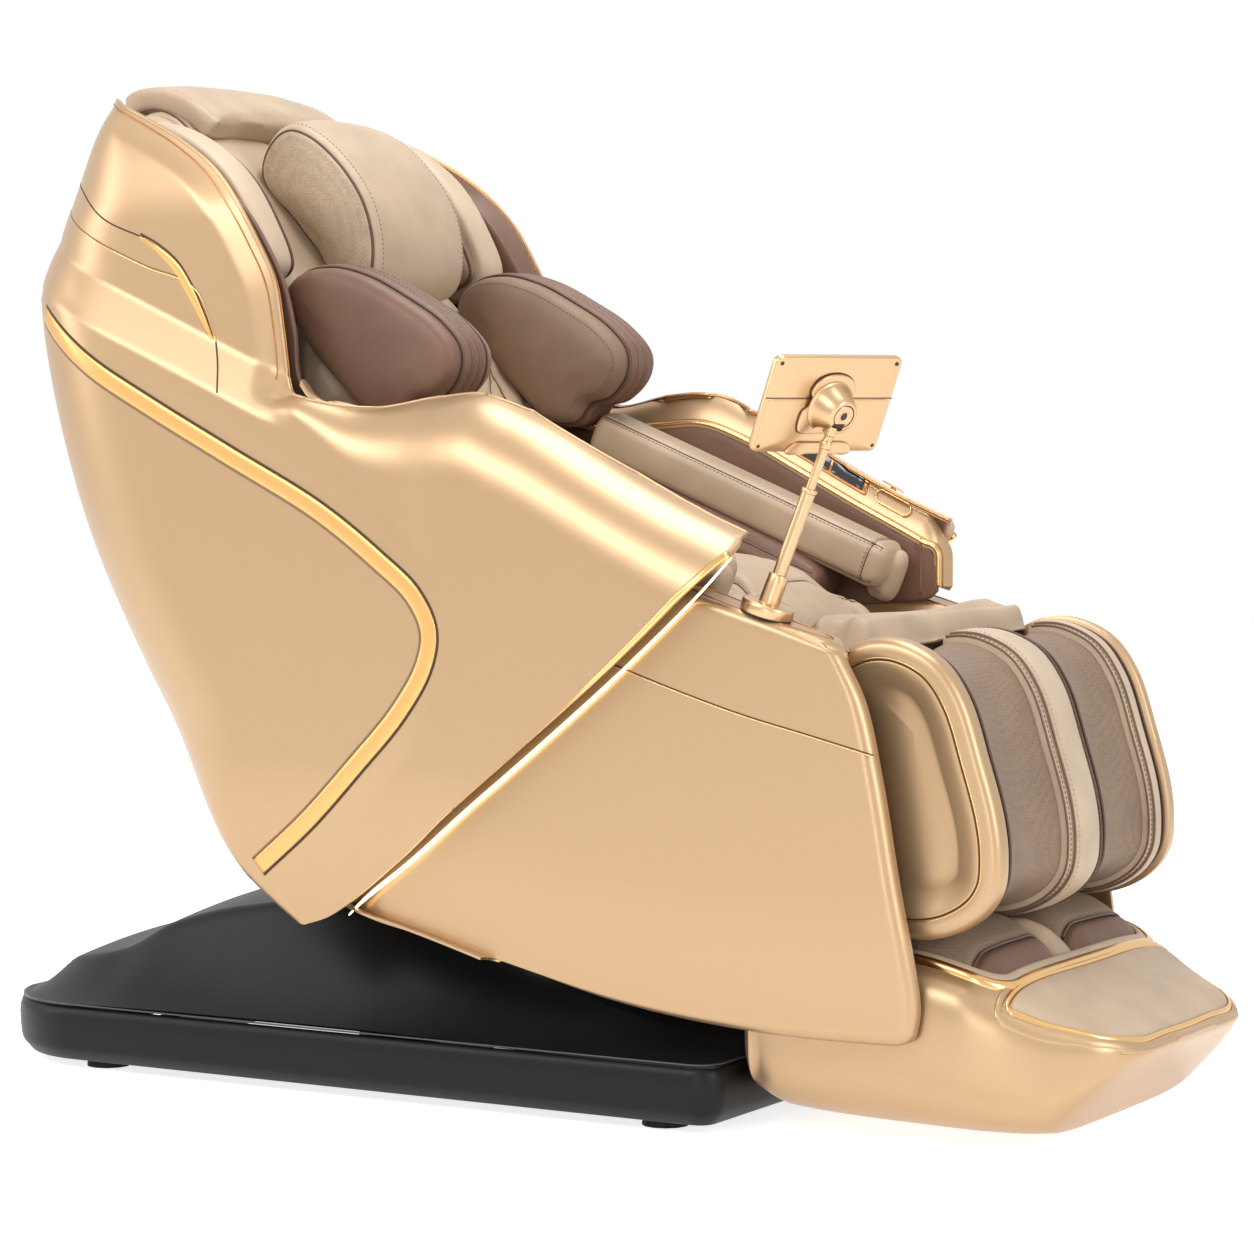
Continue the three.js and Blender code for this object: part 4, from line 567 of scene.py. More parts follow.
def thickened(name, grids, wall, material, body, **kw):
    """One closed sheet from grids that share their border points, thickened away from its outer side."""
    pts, faces, start = [], [], 0
    for g in grids:
        R, C = g.shape[:2]
        faces += [tuple(start + i for i in f) for f in quads(R, C)]
        pts.append(g.reshape(-1, 3))
        start += R * C
    o = mesh(name, np.vstack(pts), faces, material, body, **kw)
    me = o.data
    p = np.empty(len(me.vertices) * 3)
    me.vertices.foreach_get("co", p)
    p = p.reshape(-1, 3)
    outer = [tuple(f.vertices) for f in me.polygons]
    four = np.array([f if len(f) == 4 else f + f[-1:] for f in outer])
    across = np.cross(p[four[:, 2]] - p[four[:, 0]], p[four[:, 3]] - p[four[:, 1]])
    n = np.zeros_like(p)
    for c in range(4):
        np.add.at(n, four[:, c], across)
    size = np.linalg.norm(n, axis=1)
    sliver = 0.04 * np.median(size)  # points whose faces are this small take a neighbour's direction
    good = np.flatnonzero(size > sliver)
    tree = KDTree(len(good))
    for i in good:
        tree.insert(p[i], int(i))
    tree.balance()
    for i in np.flatnonzero(size <= sliver):
        n[i] = n[tree.find(p[i])[1]]
    n /= np.linalg.norm(n, axis=1, keepdims=True)
    edges = {}
    for f in outer:
        for a, b in zip(f, f[1:] + f[:1]):
            edges[(a, b)] = True
    rim = [(a, b) for a, b in edges if (b, a) not in edges]
    k = len(p)
    n = n * np.sign((n[:, 1] * p[:, 1]).sum())
    inner = [tuple(k + i for i in f[::-1]) for f in outer]
    me.clear_geometry()
    me.from_pydata(np.vstack([p, p - n * wall / 1000]).tolist(), [],
                   outer + inner + [(b, a, k + a, k + b) for a, b in rim])
    me.validate()
    me.shade_smooth()
    me.set_sharp_from_angle(angle=math.radians(50))
    return o


def make_shell(label, side):
    grids = [g.copy() for g in SHELL]
    if side > 0:
        for g in grids:
            g[..., 0] -= tip_turn(g[..., 0], g[..., 1])
    o = thickened(f"side_shell_skin_{label}", [outwards(g, side) for g in grids], 5.0, gold, "back",
                  slot="gold_shell")
    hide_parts(f"side_shell_{label}")


def surface_strip(line, half, lift, count, features=True):
    """A strip of the shell's surface along a line in x and z, lifted outwards."""
    c = curve(line, count) if len(line) < count else np.array(line)
    t = np.gradient(c, axis=0)
    n = np.stack([-t[:, 1], t[:, 0]], 1)
    n /= np.linalg.norm(n, axis=1, keepdims=True)
    cols = []
    for k in half:
        u = c + n * k
        cols.append(np.stack([u[:, 0], shell_half(u[:, 0], u[:, 1], features) + lift, u[:, 1]], 1))
    return np.stack(cols, 1)


def strip_mesh(name, g, wall, material, body, side, **kw):
    return skin(name, outwards(g, side), -wall, material, body, **kw)


def make_accent(label, side):
    base = surface_strip(ACCENT_LINE, [-11, -9.5, -4, 0, 4, 9.5, 11], 0.0, 150, False)
    crown = np.array([0.3, 1.6, 2.0, 2.1, 2.0, 1.6, 0.3])
    base[..., 1] += crown
    o = strip_mesh(f"accent_stripe_{label}", base, 4, amber, "back", side, slot="accent")
    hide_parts(f"accent_band_{label}")
    # painted shade: a grey strip along one edge of the stripe and a darker strip along the other stand in
    # for the shadow in the groove around it
    for k, (a, mat_) in enumerate(((-12.4, groove_shade_grey), (12.4, seam_shade))):
        edge = surface_strip(ACCENT_LINE, [a - 1.3, a, a + 1.3], 0.5, 150, False)
        strip_mesh(f"accent_groove_shade_{k}_{label}", edge, 1.5, mat_, "back", side, slot="accent")


def cap_rim(side, drop=0.0, lift=0.0):
    """Points along the arm's inner top edge, from its tip to the ear, then up the ear's front edge."""
    line = np.vstack([curve([(262, 690)] + CAP_EDGE[1:] + [(-326, 852), (-341, 870)], 160),
                      curve(EAR_EDGE, 110)[1:]])
    return np.array([(x, side * (float(shell_half(x, z - drop)) + lift), z - drop) for x, z in line])


VENT_TOP = [(-690, 1112), (-665, 1101), (-604, 1062), (-543, 1039)]
VENT_LOW = [(-706, 1080), (-686, 1070), (-620, 1038), (-543, 1006), (-468, 978), (-436, 914)]
CRESCENT = [(-548, 1041), (-520, 1027), (-492, 1006), (-470, 976), (-454, 946), (-440, 916)]


def make_details(label, side):
    """Grooves drawn as strips of painted shade, a strip of painted highlight along the lower vent line, the
    crescent insert and the polished edge lines of one side shell.
    """
    # painted shade: the dark strips lifted just off the shell stand in for the shadow in the vent's grooves
    # and above the crescent; the last, polished strip just under the lower vent line is a painted highlight
    # on the groove's lit lip
    for k, (line, material, width, lift) in enumerate((
            (VENT_TOP, seam_shade, 1.0, 0.35), ([(x, z + 3.0) for x, z in CRESCENT], seam_shade, 1.3, 0.5),
            (VENT_LOW, groove_shade_grey, 1.0, 0.35), ([(-436, 914), (-424, 884), (-414, 850)], seam_shade, 1.0,
                    0.35),
            ([(x + 1, z - 2.4) for x, z in VENT_LOW], polished, 0.9, 0.6))):
        strip_mesh(f"shell_seam_{k}_{label}", surface_strip(line, [-width, 0, width], lift, 90), 1.2,
                   material, "back", side,
                   slot="gold_shell")
    c = curve(CRESCENT, 60)
    t = np.gradient(c, axis=0)
    n = np.stack([-t[:, 1], t[:, 0]], 1)
    n /= np.linalg.norm(n, axis=1, keepdims=True)
    wide = 7.5 * np.sin(np.linspace(0.02, 0.93, 60) * math.pi) ** 0.8
    rows = []
    for q, lift in ((-1, 0.2), (-0.85, 1.2), (-0.3, 1.5), (0.3, 0.6), (0.85, -0.6), (1, 0.3)):
        u = c + n * (wide * q * -1)[:, None] - n * (wide * 1.0)[:, None] * 0.9
        rows.append(np.stack([u[:, 0], shell_half(u[:, 0], u[:, 1]) + lift, u[:, 1]], 1))
    strip_mesh(f"crescent_{label}", np.stack(rows, 1), 2.5, amber, "back", side, slot="accent",
               flat_angle=50)
    rim = cap_rim(side)
    if side > 0:
        rim[:, 0] -= tip_turn(rim[:, 0], rim[:, 1])
    tube(f"cap_edge_{label}", rim, 2.2, gold, "back", sides=8, slot="accent")
    inner = rim.copy()
    inner[:, 1] -= side * 5.0
    inner[:, 2] -= 1.0
    tube(f"cap_edge_inner_{label}", inner, 1.5, copper, "back", sides=8, slot="accent")
    ear = curve([(x - 9.5, z - 4) for x, z in EAR_EDGE], 110)
    tube(f"ear_line_{label}", [(x, side * (float(shell_half(x, z)) + 0.2), z) for x, z in ear], 1.1,
         copper, "back", sides=6, slot="accent")
    low = curve(LED_EDGE[3:], 90)
    thick = 2.0 + 2.6 * smooth(np.linspace(-0.2, 1, 90))
    if side > 0:
        low = low - np.stack([tip_turn(low[:, 0], shell_half(low[:, 0], low[:, 1])), 0 * low[:, 0]], 1)
    tube(f"front_edge_{label}", [(x - 1, side * (float(shell_half(x, z)) - 2.6), z + 1) for x, z in low],
         thick, polished, "back", sides=12,
         slot="accent")


both(make_details)
both(make_shell)
both(make_accent)

# the panel between the side shells at the rear
z_mid = np.linspace(ARCH, 1202, 60)
y_mid = np.linspace(-SEAM_Y + 0.6, SEAM_Y - 0.6, 50)
Zm, Ym = np.meshgrid(z_mid, y_mid, indexing="ij")
Xm = shell_at(np.abs(Ym), Zm)
rear_o = skin("rear_shell_skin", np.stack([Xm, Ym, Zm], 2), 5.0, gold, "back", slot="gold_shell")
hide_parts("rear_shell")


# ------------------------------------------------------------------ lower side panels
PANEL_BOTTOM = [(-292, 240), (-146, 210), (101, 158), (300, 139), (430, 136)]
PANEL_FRONT = [(466, 136), (470, 160), (463, 221), (447, 309), (428, 420), (408, 508), (384, 560)]
SHELF_SLOPE = math.tan(math.radians(17))


def shelf_top(x):
    return 603 - (x - 286) * SHELF_SLOPE


def panel_face(x, z=None):
    t = np.maximum(0, (np.asarray(x, float) - 100) / 390)
    r = np.maximum(0, (np.asarray(x, float) + 190) / -102)
    return 330 - 30 * t**2 - 46 * r**2


def panel_grid(drop, rows=90, cols=120):
    hidden = curve([(-292, 246)] + [(x - 20, z + 12) for x, z in LED_EDGE[1:6]]
                   + [(160, 586), (188, 612)], rows)
    front = curve(PANEL_FRONT, rows)
    front[:, 1] -= drop * front[:, 1] / 603
    bottom = curve(PANEL_BOTTOM + [(466, 136)], cols)
    t = np.linspace(0, 1, rows)[:, None]
    c = np.linspace(0, 1, cols)[None]
    X = hidden[:, 0:1] * (1 - c) + front[:, 0:1] * c
    Z = hidden[:, 1:2] * (1 - c) + front[:, 1:2] * c
    straight_x = hidden[0, 0] * (1 - c) + front[0, 0] * c
    straight_z = hidden[0, 1] * (1 - c) + front[0, 1] * c
    X = X + (bottom[:, 0][None] - straight_x) * (1 - t) ** 2.2
    Z = Z + (bottom[:, 1][None] - straight_z) * (1 - t) ** 2.2
    Z = Z + smooth((t - 0.6) / 0.4) * (shelf_top(X[-1:]) - drop - 13 - Z[-1:])
    Y = panel_face(X)
    lower = 7 * smooth((190 - (Z - np.interp(X, bottom[:, 0], bottom[:, 1]))) / 190) ** 2
    return np.stack([X, Y - lower, Z], 2)


def make_panel(label, side):
    drop = 30 if side > 0 else 0
    g = outwards(panel_grid(drop), side)
    right = "right" if g[0, -1, 0] > g[0, 0, 0] else "left"
    g = rolled(g, right, 18)
    g = rolled(g, "bottom", 16)
    g = rolled(g, "top", 13)
    o = skin(f"side_panel_skin_{label}", g, -3.0, gold, "seat", slot="gold_shell", flat_angle=50)
    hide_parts(f"side_panel_{label}")
    # shelf: a plank whose outer edge rolls over into the panel
    xs = np.r_[np.linspace(190, 366, 26), np.linspace(370, 396, 12)]
    prof = []
    for x in xs:
        end = smooth((x - 362) / 36)
        outer = float(panel_face(x)) + 0.5 - 22 * end**2
        inner = 268 + 16 * end**2
        z = shelf_top(x) - drop - 9 * smooth((x - 374) / 26) ** 2
        ring = []
        for k in range(7):
            a = math.radians(90 * k / 6)
            ring.append([x, outer - 15 + 13.6 * math.cos(a), z - 14.6 + 14 * math.sin(a)])
        for s in np.linspace(0.05, 1, 9):
            ring.append([x, outer - 15 + (inner - outer + 15) * s, z - 0.6])
        ring += [[x, inner - 1.5, z - 3], [x, inner - 1.5, z - 30], [x, outer - 4, z - 30]]
        prof.append(ring)
    lofted(f"panel_shelf_{label}", on_side(side, prof), gold, "seat", slot="gold_shell", flat_angle=40)


both(make_panel)


def panel_line(line, side, lift, drop):
    return [(x, side * (float(panel_face(x)) + lift), z - drop) for x, z in curve(line, 80)]


def make_panel_lines(label, side):
    drop = 30 if side > 0 else 0
    seam_line = [(112, 542), (207, 511), (284, 488), (360, 469), (440, 448)]
    # painted shade and highlight: a dark cord stands in for the shadow in the panel's seam, and a polished
    # cord 2 mm under it for the light on its lower lip
    tube(f"panel_seam_{label}", panel_line(seam_line, side, 0.0, drop), 0.8, seam_shade, "seat", sides=6,
         slot="gold_shell")
    tube(f"panel_seam_painted_highlight_{label}", panel_line([(x, z - 2) for x, z in seam_line], side, 0.0, drop),
         0.8, polished, "seat", sides=6,
         slot="gold_shell")
    # the shelf's inset: a lens-shaped line on its top
    lens = curve([(205, 300), (250, 312), (300, 312), (350, 300), (378, 287), (374, 279), (340, 272),
                  (270, 270), (208, 272)], 120, closed=True)
    pts = [(x, side * y, float(shelf_top(x)) - drop - 0.4 - 9 * float(smooth((x - 374) / 26)) ** 2) for x,
           y in lens]
    tube(f"shelf_inset_{label}", pts, 0.9, copper, "seat", sides=6, closed=True, slot="gold_shell")


both(make_panel_lines)


def make_led(label, side):
    line = curve([(x + 4, z - 3) for x, z in (LED_EDGE[1:] if side < 0
                                              else LED_EDGE[1:-2] + [(196, 599)])], 90)
    pts = np.stack([line[:, 0], panel_face(line[:, 0]) + 4.5, line[:, 1]], 1)
    r = 2.5 * np.minimum(1, 0.35 + np.linspace(0, 8, 90)) * (1 - 0.6 * np.linspace(0, 1, 90) ** 3)
    o = tube(f"light_line_{label}", on_side(side, pts), r, led, "seat", sides=12, slot="light")
    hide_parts(f"light_strip_{label}")


both(make_led)


# ------------------------------------------------------------------ base
BASE_REAR, BASE_FRONT, BASE_HALF, BASE_SEAM = -830.0, 246.0, 325.0, 80.0
COVER_TOP = [(-800, 118), (-765, 140), (-660, 168), (-586, 205), (-480, 232), (-380, 244), (-260, 242),
             (-120, 200), (60, 150), (230, 116)]
cover_line = fn(COVER_TOP)


def base_half(x):
    def corner(edge, r):
        t = np.clip(1 - np.abs(np.asarray(x, float) - edge) / r, 0, 1)
        return r * (1 - np.sqrt(1 - t * t))
    return BASE_HALF - corner(BASE_REAR, 150) - corner(BASE_FRONT, 36)


def cover_height(x, y):
    """Saddle of the cover: its middle, the fall to its sides and the soft rise from its rim."""
    top = cover_line(x) - 42 * (np.abs(y) / BASE_HALF) ** 1.6
    edge = np.minimum(np.minimum((x - BASE_REAR) * 1.45, (BASE_FRONT - x) * 4), base_half(x) - np.abs(y))
    rise = np.clip(edge / 100, 0, 1) ** 1.25
    return BASE_SEAM + 2.8 + (np.maximum(top, BASE_SEAM + 6) - BASE_SEAM - 2.8) * rise


def base_plan(shift, per=14):
    out = []
    for sx, sy, r, start in ((1, 1, 36, 0), (-1, 1, 150, 90), (-1, -1, 150, 180), (1, -1, 36, 270)):
        cx = (BASE_FRONT if sx > 0 else BASE_REAR) - sx * r
        cy = sy * (BASE_HALF - r)
        for i in range(per + 1):
            a = math.radians(start + 90 * i / per)
            out.append((cx + (r - shift) * math.cos(a), cy + (r - shift) * math.sin(a)))
    return np.array(out)


def base_rings(levels):
    return [np.column_stack([base_plan(s), np.full(60, z)]) for z, s in levels]


COVER_INSET = 7
COVER_ROWS, COVER_COLS = 150, 91
share = np.linspace(0, 1, COVER_ROWS)
share = 0.55 * share + 0.45 * (0.5 - 0.5 * np.cos(np.pi * share))
xs = BASE_REAR + COVER_INSET + (BASE_FRONT - BASE_REAR - 2 * COVER_INSET) * share
across = np.linspace(-1, 1, COVER_COLS)
across = np.sin(across * math.pi / 2) * 0.45 + across * 0.55
Xb = np.repeat(xs[:, None], COVER_COLS, 1)
Yb = across[None] * (base_half(Xb) - COVER_INSET)
Zb = cover_height(Xb, Yb)
g = np.stack([Xb, Yb, Zb], 2)
if np.mean(normals(g)[..., 2]) < 0:
    g = g[:, ::-1]
cover_o = skin("base_cover_skin", g, -4.0, black, "base", slot="black", flat_angle=60)
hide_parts("base_cover")

plinth = base_rings([(12, 17), (12, 16), (13, 14.5), (24, 5), (28, 3), (34, 1.6), (48, 0.4), (60, 0),
                     (70, 1), (76, 3), (79, 6),
                     (80, 9), (80, 12), (70, 12), (30, 15), (14, 20), (12, 19)])
plinth_o = lofted("base_plinth_skin", plinth, black, "base", closed_ring=True, slot="black",
                  flat_angle=35)
cutter = bpy.data.meshes.new("inlet_cutter")
bmc = bmesh.new()
bmesh.ops.create_cube(bmc, size=1)
bmesh.ops.scale(bmc, vec=(0.06, 0.096, 0.034), verts=bmc.verts)
bmesh.ops.translate(bmc, vec=((BASE_REAR + HIP) / 1000, -0.092, 0.046), verts=bmc.verts)
bmc.to_mesh(cutter)
bmc.free()


def cut_by(o, tool):
    """Cuts a tool mesh out of an object, for good."""
    t = bpy.data.objects.new("cutter", tool)
    bpy.context.scene.collection.objects.link(t)
    m = o.modifiers.new("cut", "BOOLEAN")
    m.operation, m.solver, m.object = "DIFFERENCE", "EXACT", t
    done = bpy.data.meshes.new_from_object(o.evaluated_get(bpy.context.evaluated_depsgraph_get()))
    o.modifiers.clear()
    o.data = done
    bpy.data.objects.remove(t)


cut_by(plinth_o, cutter)
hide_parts("base_plinth")

# painted highlight: a lighter grey cord along the cover's rim, over its seam with the plinth, stands in for
# the light on the rim's edge
rim_line = np.column_stack([base_plan(6.4, 30), np.full(124, BASE_SEAM + 3.0)])
tube("base_rim_highlight", rim_line, 1.1, lacquer("black_edge_highlight", (74, 73, 72), 0.1, 0.3), "base", sides=8,
     closed=True, slot="black")


# ------------------------------------------------------------------ calf plates
CALF_FRONT = [(384, 566), (413, 575), (450, 573), (494, 552), (525, 511), (549, 443), (568, 377),
              (573, 333), (569, 297),
              (550, 268), (510, 244), (461, 236), (398, 250)]
CALF_REST = [(376, 300), (356, 420), (342, 490), (348, 540)]
calf_outline = curve(CALF_FRONT + CALF_REST, 150, closed=True)


def inner_rings(outline, distances, core, count=26):
    """Points at each distance inside a closed (x, z) outline, on the way to its core line."""
    a, b = np.array(core, float)
    d = b - a
    t = np.clip(((outline - a) @ d) / (d @ d), 0, 1)
    centre = a + t[:, None] * d
    closed = np.vstack([outline, outline[:1]])
    rings = []
    for want in distances:
        if want <= 0:
            rings.append(outline.copy())
            continue
        lo, hi = np.zeros(len(outline)), np.ones(len(outline))
        for _ in range(count):
            mid = (lo + hi) / 2
            p = outline + (centre - outline) * mid[:, None]
            r, _s = away(p[:, 0], p[:, 1], closed)
            far = r < want
            lo, hi = np.where(far, mid, lo), np.where(far, hi, mid)
        rings.append(outline + (centre - outline) * lo[:, None])
    return rings


def dish(name, outline, profile, core, place, material, body, closing=None, crown=0.0, **kw):
    """A plate whose face follows a profile of (distance inside its outline, height)."""
    rings = [[place(x, z, h) for x, z in ring]
             for ring, (_, h) in zip(inner_rings(outline, [p[0] for p in profile], core), profile)]
    a, b = np.array(core, float)
    d = b - a
    t = np.clip(((outline - a) @ d) / (d @ d), 0, 1)
    centre = a + t[:, None] * d
    last = inner_rings(outline, [profile[-1][0]], core)[0]
    for s in (0.3, 0.6, 0.85):
        rings.append([place(x, z, profile[-1][1] + crown * (1 - (1 - s) ** 2)) for x,
                      z in last + (centre - last) * s])
    rings.append([place(x, z, profile[-1][1] + crown) for x, z in centre])
    if closing is not None:
        rings.insert(0, [place(x, z, closing) for x, z in outline + (centre - outline) * 0.04])
        rings.insert(0, [place(x, z, closing) for x, z in centre])
    return lofted(name, rings, material, body, caps=False, **kw)


CALF_PROFILE = [(0, 237), (0, 246), (0.8, 251), (2.5, 255.5), (6, 259.2), (10, 261), (16, 261.8),
                (23, 261.8), (23.8, 261),
                (24.2, 259.6), (25.2, 259.6), (25.7, 261), (26.6, 261.8), (28, 261.6), (33, 260),
                (41, 256.6), (48, 253.6),
                (52, 252), (54, 251), (57, 250.2), (64, 249.8), (72, 250.4), (80, 251)]


def make_calf(label, side):
    place = lambda x, z, h: (x, side * h, z)
    o = dish(f"calf_plate_skin_{label}", calf_outline, CALF_PROFILE, ((462, 470), (470, 345)), place,
             gold, "calf", closing=235,
             slot="gold_shell", flat_angle=60)
    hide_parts(f"calf_plate_{label}")
    # painted shade and highlight: a dark cord lies in the plate's groove in place of its shadow, and a
    # polished cord on the flat just outside the groove stands in for the light on its lip
    ring = inner_rings(calf_outline, [24.7], ((462, 470), (470, 345)))[0]
    tube(f"calf_contour_{label}", [(x, side * 260.2, z) for x, z in ring], 0.9, seam_shade, "calf",
         sides=6, closed=True,
         slot="gold_shell")
    ring = inner_rings(calf_outline, [22.4], ((462, 470), (470, 345)))[0]
    tube(f"calf_contour_highlight_{label}", [(x, side * 261.6, z) for x, z in ring], 0.7, polished, "calf",
         sides=6, closed=True,
         slot="accent")


both(make_calf)


# ------------------------------------------------------------------ foot rest
FOOT_HALF, FOOT_POWER = 272.0, 0.42
FOOT_STATIONS = [(252, 14, 56, 200), (262, 4, 36, 218), (300, 0, 20, 228), (400, 0, 14, 229),
                 (452, 0, 13, 226),
                 (520, 2, 12, 212), (560, 12, 12, 192), (604, 32, 14, 168), (640, 55, 44, 150),
                 (668, 76, 76, 136),
                 (688, 107, 98, 126), (697, 152, 106, 121), (700, 212, 110, 118)]
foot_in = fn([(p[0], p[1]) for p in FOOT_STATIONS])
foot_low = fn([(p[0], p[2]) for p in FOOT_STATIONS])
foot_high = fn([(p[0], p[3]) for p in FOOT_STATIONS])
WELL = (398.0, 562.0, 232.0, 120.0)


def foot_surface(x, y):
    low, high = foot_low(x), foot_high(x)
    out = np.minimum(0.999, np.abs(y) / (FOOT_HALF - foot_in(x))) ** (1 / FOOT_POWER)
    return (low + high) / 2 + (high - low) / 2 * np.sqrt(1 - out**2) ** FOOT_POWER


def rounded(x0, x1, y0, y1, r, per=10):
    out = []
    for cx, cy, start in ((x1 - r, y1 - r, 0), (x0 + r, y1 - r, 90), (x0 + r, y0 + r, 180),
                          (x1 - r, y0 + r, 270)):
        for i in range(per + 1):
            a = math.radians(start + 90 * i / per)
            out.append((cx + r * math.cos(a), cy + r * math.sin(a)))
    return np.array(out)


def within_rounded(x, y, x0, x1, half, r):
    dx = np.maximum(np.maximum(x0 + r - x, x - (x1 - r)), 0)
    dy = np.maximum(np.abs(y) - (half - r), 0)
    return dx**2 + dy**2 < r**2


stations = np.r_[252, 253, 255, 258, 262, 268, 276, np.arange(286, 640, 5), np.arange(640, 688, 3.5), 689,
                 692, 694.5, 696.5,
                 698, 699.2, 700]
angles = np.linspace(0, 2 * math.pi, 181)[:-1] + math.pi / 180
ca, sa = np.cos(angles), np.sin(angles)
rings = []
for x in stations:
    half, low, high = FOOT_HALF - float(foot_in(x)), float(foot_low(x)), float(foot_high(x))
    yy = half * np.sign(ca) * np.abs(ca) ** FOOT_POWER
    zz = (low + high) / 2 + (high - low) / 2 * np.sign(sa) * np.abs(sa) ** FOOT_POWER
    # a soft crease along the flank, and a front that leans in under it
    flank = np.clip(np.abs(yy) / half, 0, 1) ** 8
    crease = 152 - 0.22 * (x - 252)
    yy = yy * (1 - 0.018 * flank * smooth((crease - zz) / 26) * (x > 262))
    rings.append(np.column_stack([np.full(180, x), yy, zz]))
rings = np.array(rings)
R, C = rings.shape[:2]
centre = (rings[:-1] + rings[1:]) / 2
mid_x, mid_y, mid_z = [(centre[..., k] + np.roll(centre[..., k], -1, 1)) / 2 for k in range(3)]
hole_mask = within_rounded(mid_x, mid_y, WELL[0] - 1, WELL[1] + 1, WELL[2] + 1, 46) & (mid_z > 150)
faces = [f for i, f in enumerate(quads(R, C, wrap_c=True)) if not hole_mask[i // C, i % C]]
pts = rings.reshape(-1, 3)
for r in (0, R - 1):
    k = len(pts)
    pts = np.vstack([pts, rings[r].mean(0)[None]])
    faces += [(k, r * C + i, r * C + (i + 1) % C) for i in range(C)]
foot_o = mesh("foot_shell_skin", pts, faces, gold, "foot", slot="gold_shell", flat_angle=45)
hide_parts("foot_shell")

# lining of the wells, down to their floor
well_line = rounded(WELL[0], WELL[1], -WELL[2], WELL[2], 46, 12)
well_rings = []
for depth in (0.0, 0.3, 0.7, 1.0):
    z = foot_surface(well_line[:, 0], well_line[:, 1]) - 2
    well_rings.append(np.column_stack([well_line, z + (WELL[3] - z) * depth]))
well_rings += [np.column_stack([well_line * s + (1 - s) * np.array([480, 0]),
                                np.full(len(well_line), WELL[3])]) for s in (0.6, 0.05)]
lofted("foot_well_lining", well_rings, brown, "foot", caps=False, slot="brown_leather", flat_angle=50)


def band(name, loop, width, rise, surface, material, body, closed=True, base=-2.0, sections=9, **kw):
    """A raised strip on a surface, along a plan line, with a crowned section of that width."""
    loop = np.array(loop, float)
    if closed:
        t = np.roll(loop, -1, 0) - np.roll(loop, 1, 0)
    else:
        t = np.gradient(loop, axis=0)
    n = np.stack([-t[:, 1], t[:, 0]], 1)
    n /= np.linalg.norm(n, axis=1, keepdims=True) + 1e-12
    rows = []
    for p, m in zip(loop, n):
        ring = []
        for k in range(sections):
            q = -1 + 2 * k / (sections - 1)
            x, y = p + m * width / 2 * q
            ring.append((x, y, float(surface(x, y)) + base + (rise - base) * (1 - abs(q) ** 3) ** 0.5))
        for q in (0.9, -0.9):
            x, y = p + m * width / 2 * q
            ring.append((x, y, float(surface(x, y)) + base - 1))
        rows.append(ring)
    return lofted(name, rows, material, body, closed_ring=closed, **kw)


trim_loop = rounded(WELL[0] - 1, WELL[1] + 3, -WELL[2] - 3, WELL[2] + 3, 48, 12)
trim_o = band("foot_trim_band", resample(np.vstack([trim_loop, trim_loop[:1]]), 220, True), 12, 6.5,
              foot_surface, polished, "foot",
              slot="accent")
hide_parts("foot_trim")
lip = rounded(WELL[0] + 8, WELL[1] - 6, -WELL[2] + 8, WELL[2] - 8, 42, 12)
band("foot_well_border", resample(np.vstack([lip, lip[:1]]), 200, True), 16, 4.5, foot_surface,
     beige_light, "foot", slot="beige_leather")

# leather tread with its stepped frame, and the divider between the wells
front_x, rear_x = 687.0, 574.0


def tread_line(grow, count=240):
    """Outline of the tread panel in plan, moved outwards by grow."""
    side_x = np.linspace(rear_x - grow, front_x - 26, 30)
    side_y = FOOT_HALF - foot_in(side_x) - 18 + grow
    corner = [(front_x - 10 + grow * 0.5, FOOT_HALF - float(foot_in(front_x - 14)) - 30 + grow * 0.8),
              (front_x + grow * 0.9, FOOT_HALF - float(foot_in(front_x - 8)) - 52 + grow * 0.5)]
    half_line = np.vstack([[(rear_x - grow, 0)], [(rear_x - grow, side_y[0] - 12)],
                           np.column_stack([side_x[1:], side_y[1:]]), corner,
                           [(front_x + 2 + grow, 60)], [(front_x + 3 + grow, 0)]])
    other = half_line[::-1][1:-1] * [1, -1]
    line = curve(np.vstack([half_line, other]), count, closed=True)
    return line


inner = tread_line(0)
middle = np.array([628.0, 0.0])
tread = []
for s, h in ((1.0, -2), (1.0, 1.6), (0.992, 3.0), (0.975, 3.9), (0.93, 4.4), (0.8, 4.6), (0.6, 4.8),
             (0.4, 5), (0.2, 5), (0.0, 5)):
    p = middle + (inner - middle) * s
    tread.append(np.column_stack([p, foot_surface(p[:, 0], p[:, 1]) + h]))
tread_o = lofted("foot_tread_panel", tread, beige, "foot", caps=False, slot="beige_leather",
                 flat_angle=60)
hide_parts("foot_top_panel")
band("foot_frame_inner", tread_line(3.5), 5, 4.6, foot_surface, polished, "foot", slot="accent")
band("foot_frame_outer", tread_line(10.5), 9, 3.4, foot_surface, gold, "foot", slot="gold_shell")
divider_height = fn([(400, 231), (480, 233), (506, 227), (528, 213), (545, 196), (560, 178)])
dv = np.linspace(WELL[0] + 8, WELL[1] - 4, 50)
rows = []
for i, x in enumerate(dv):
    z = float(divider_height(x))
    rows.append([(x, 25 * math.cos(a), z - 34 + 34 * math.sin(a) ** 0.8)
                 for a in np.linspace(0, math.pi, 17)]
                + [(x, -20, z - 40), (x, 20, z - 40)])
div_o = lofted("foot_divider", rows, beige_light, "foot", slot="beige_leather", flat_angle=70)
for k in (-1, 1):
    tube(f"foot_divider_piping_{'right' if k < 0 else 'left'}",
         [(r[8][0], k * 25.5, r[8][2] - 31) for r in rows], 2.0, piping,
         "foot", sides=8, slot="brown_leather")


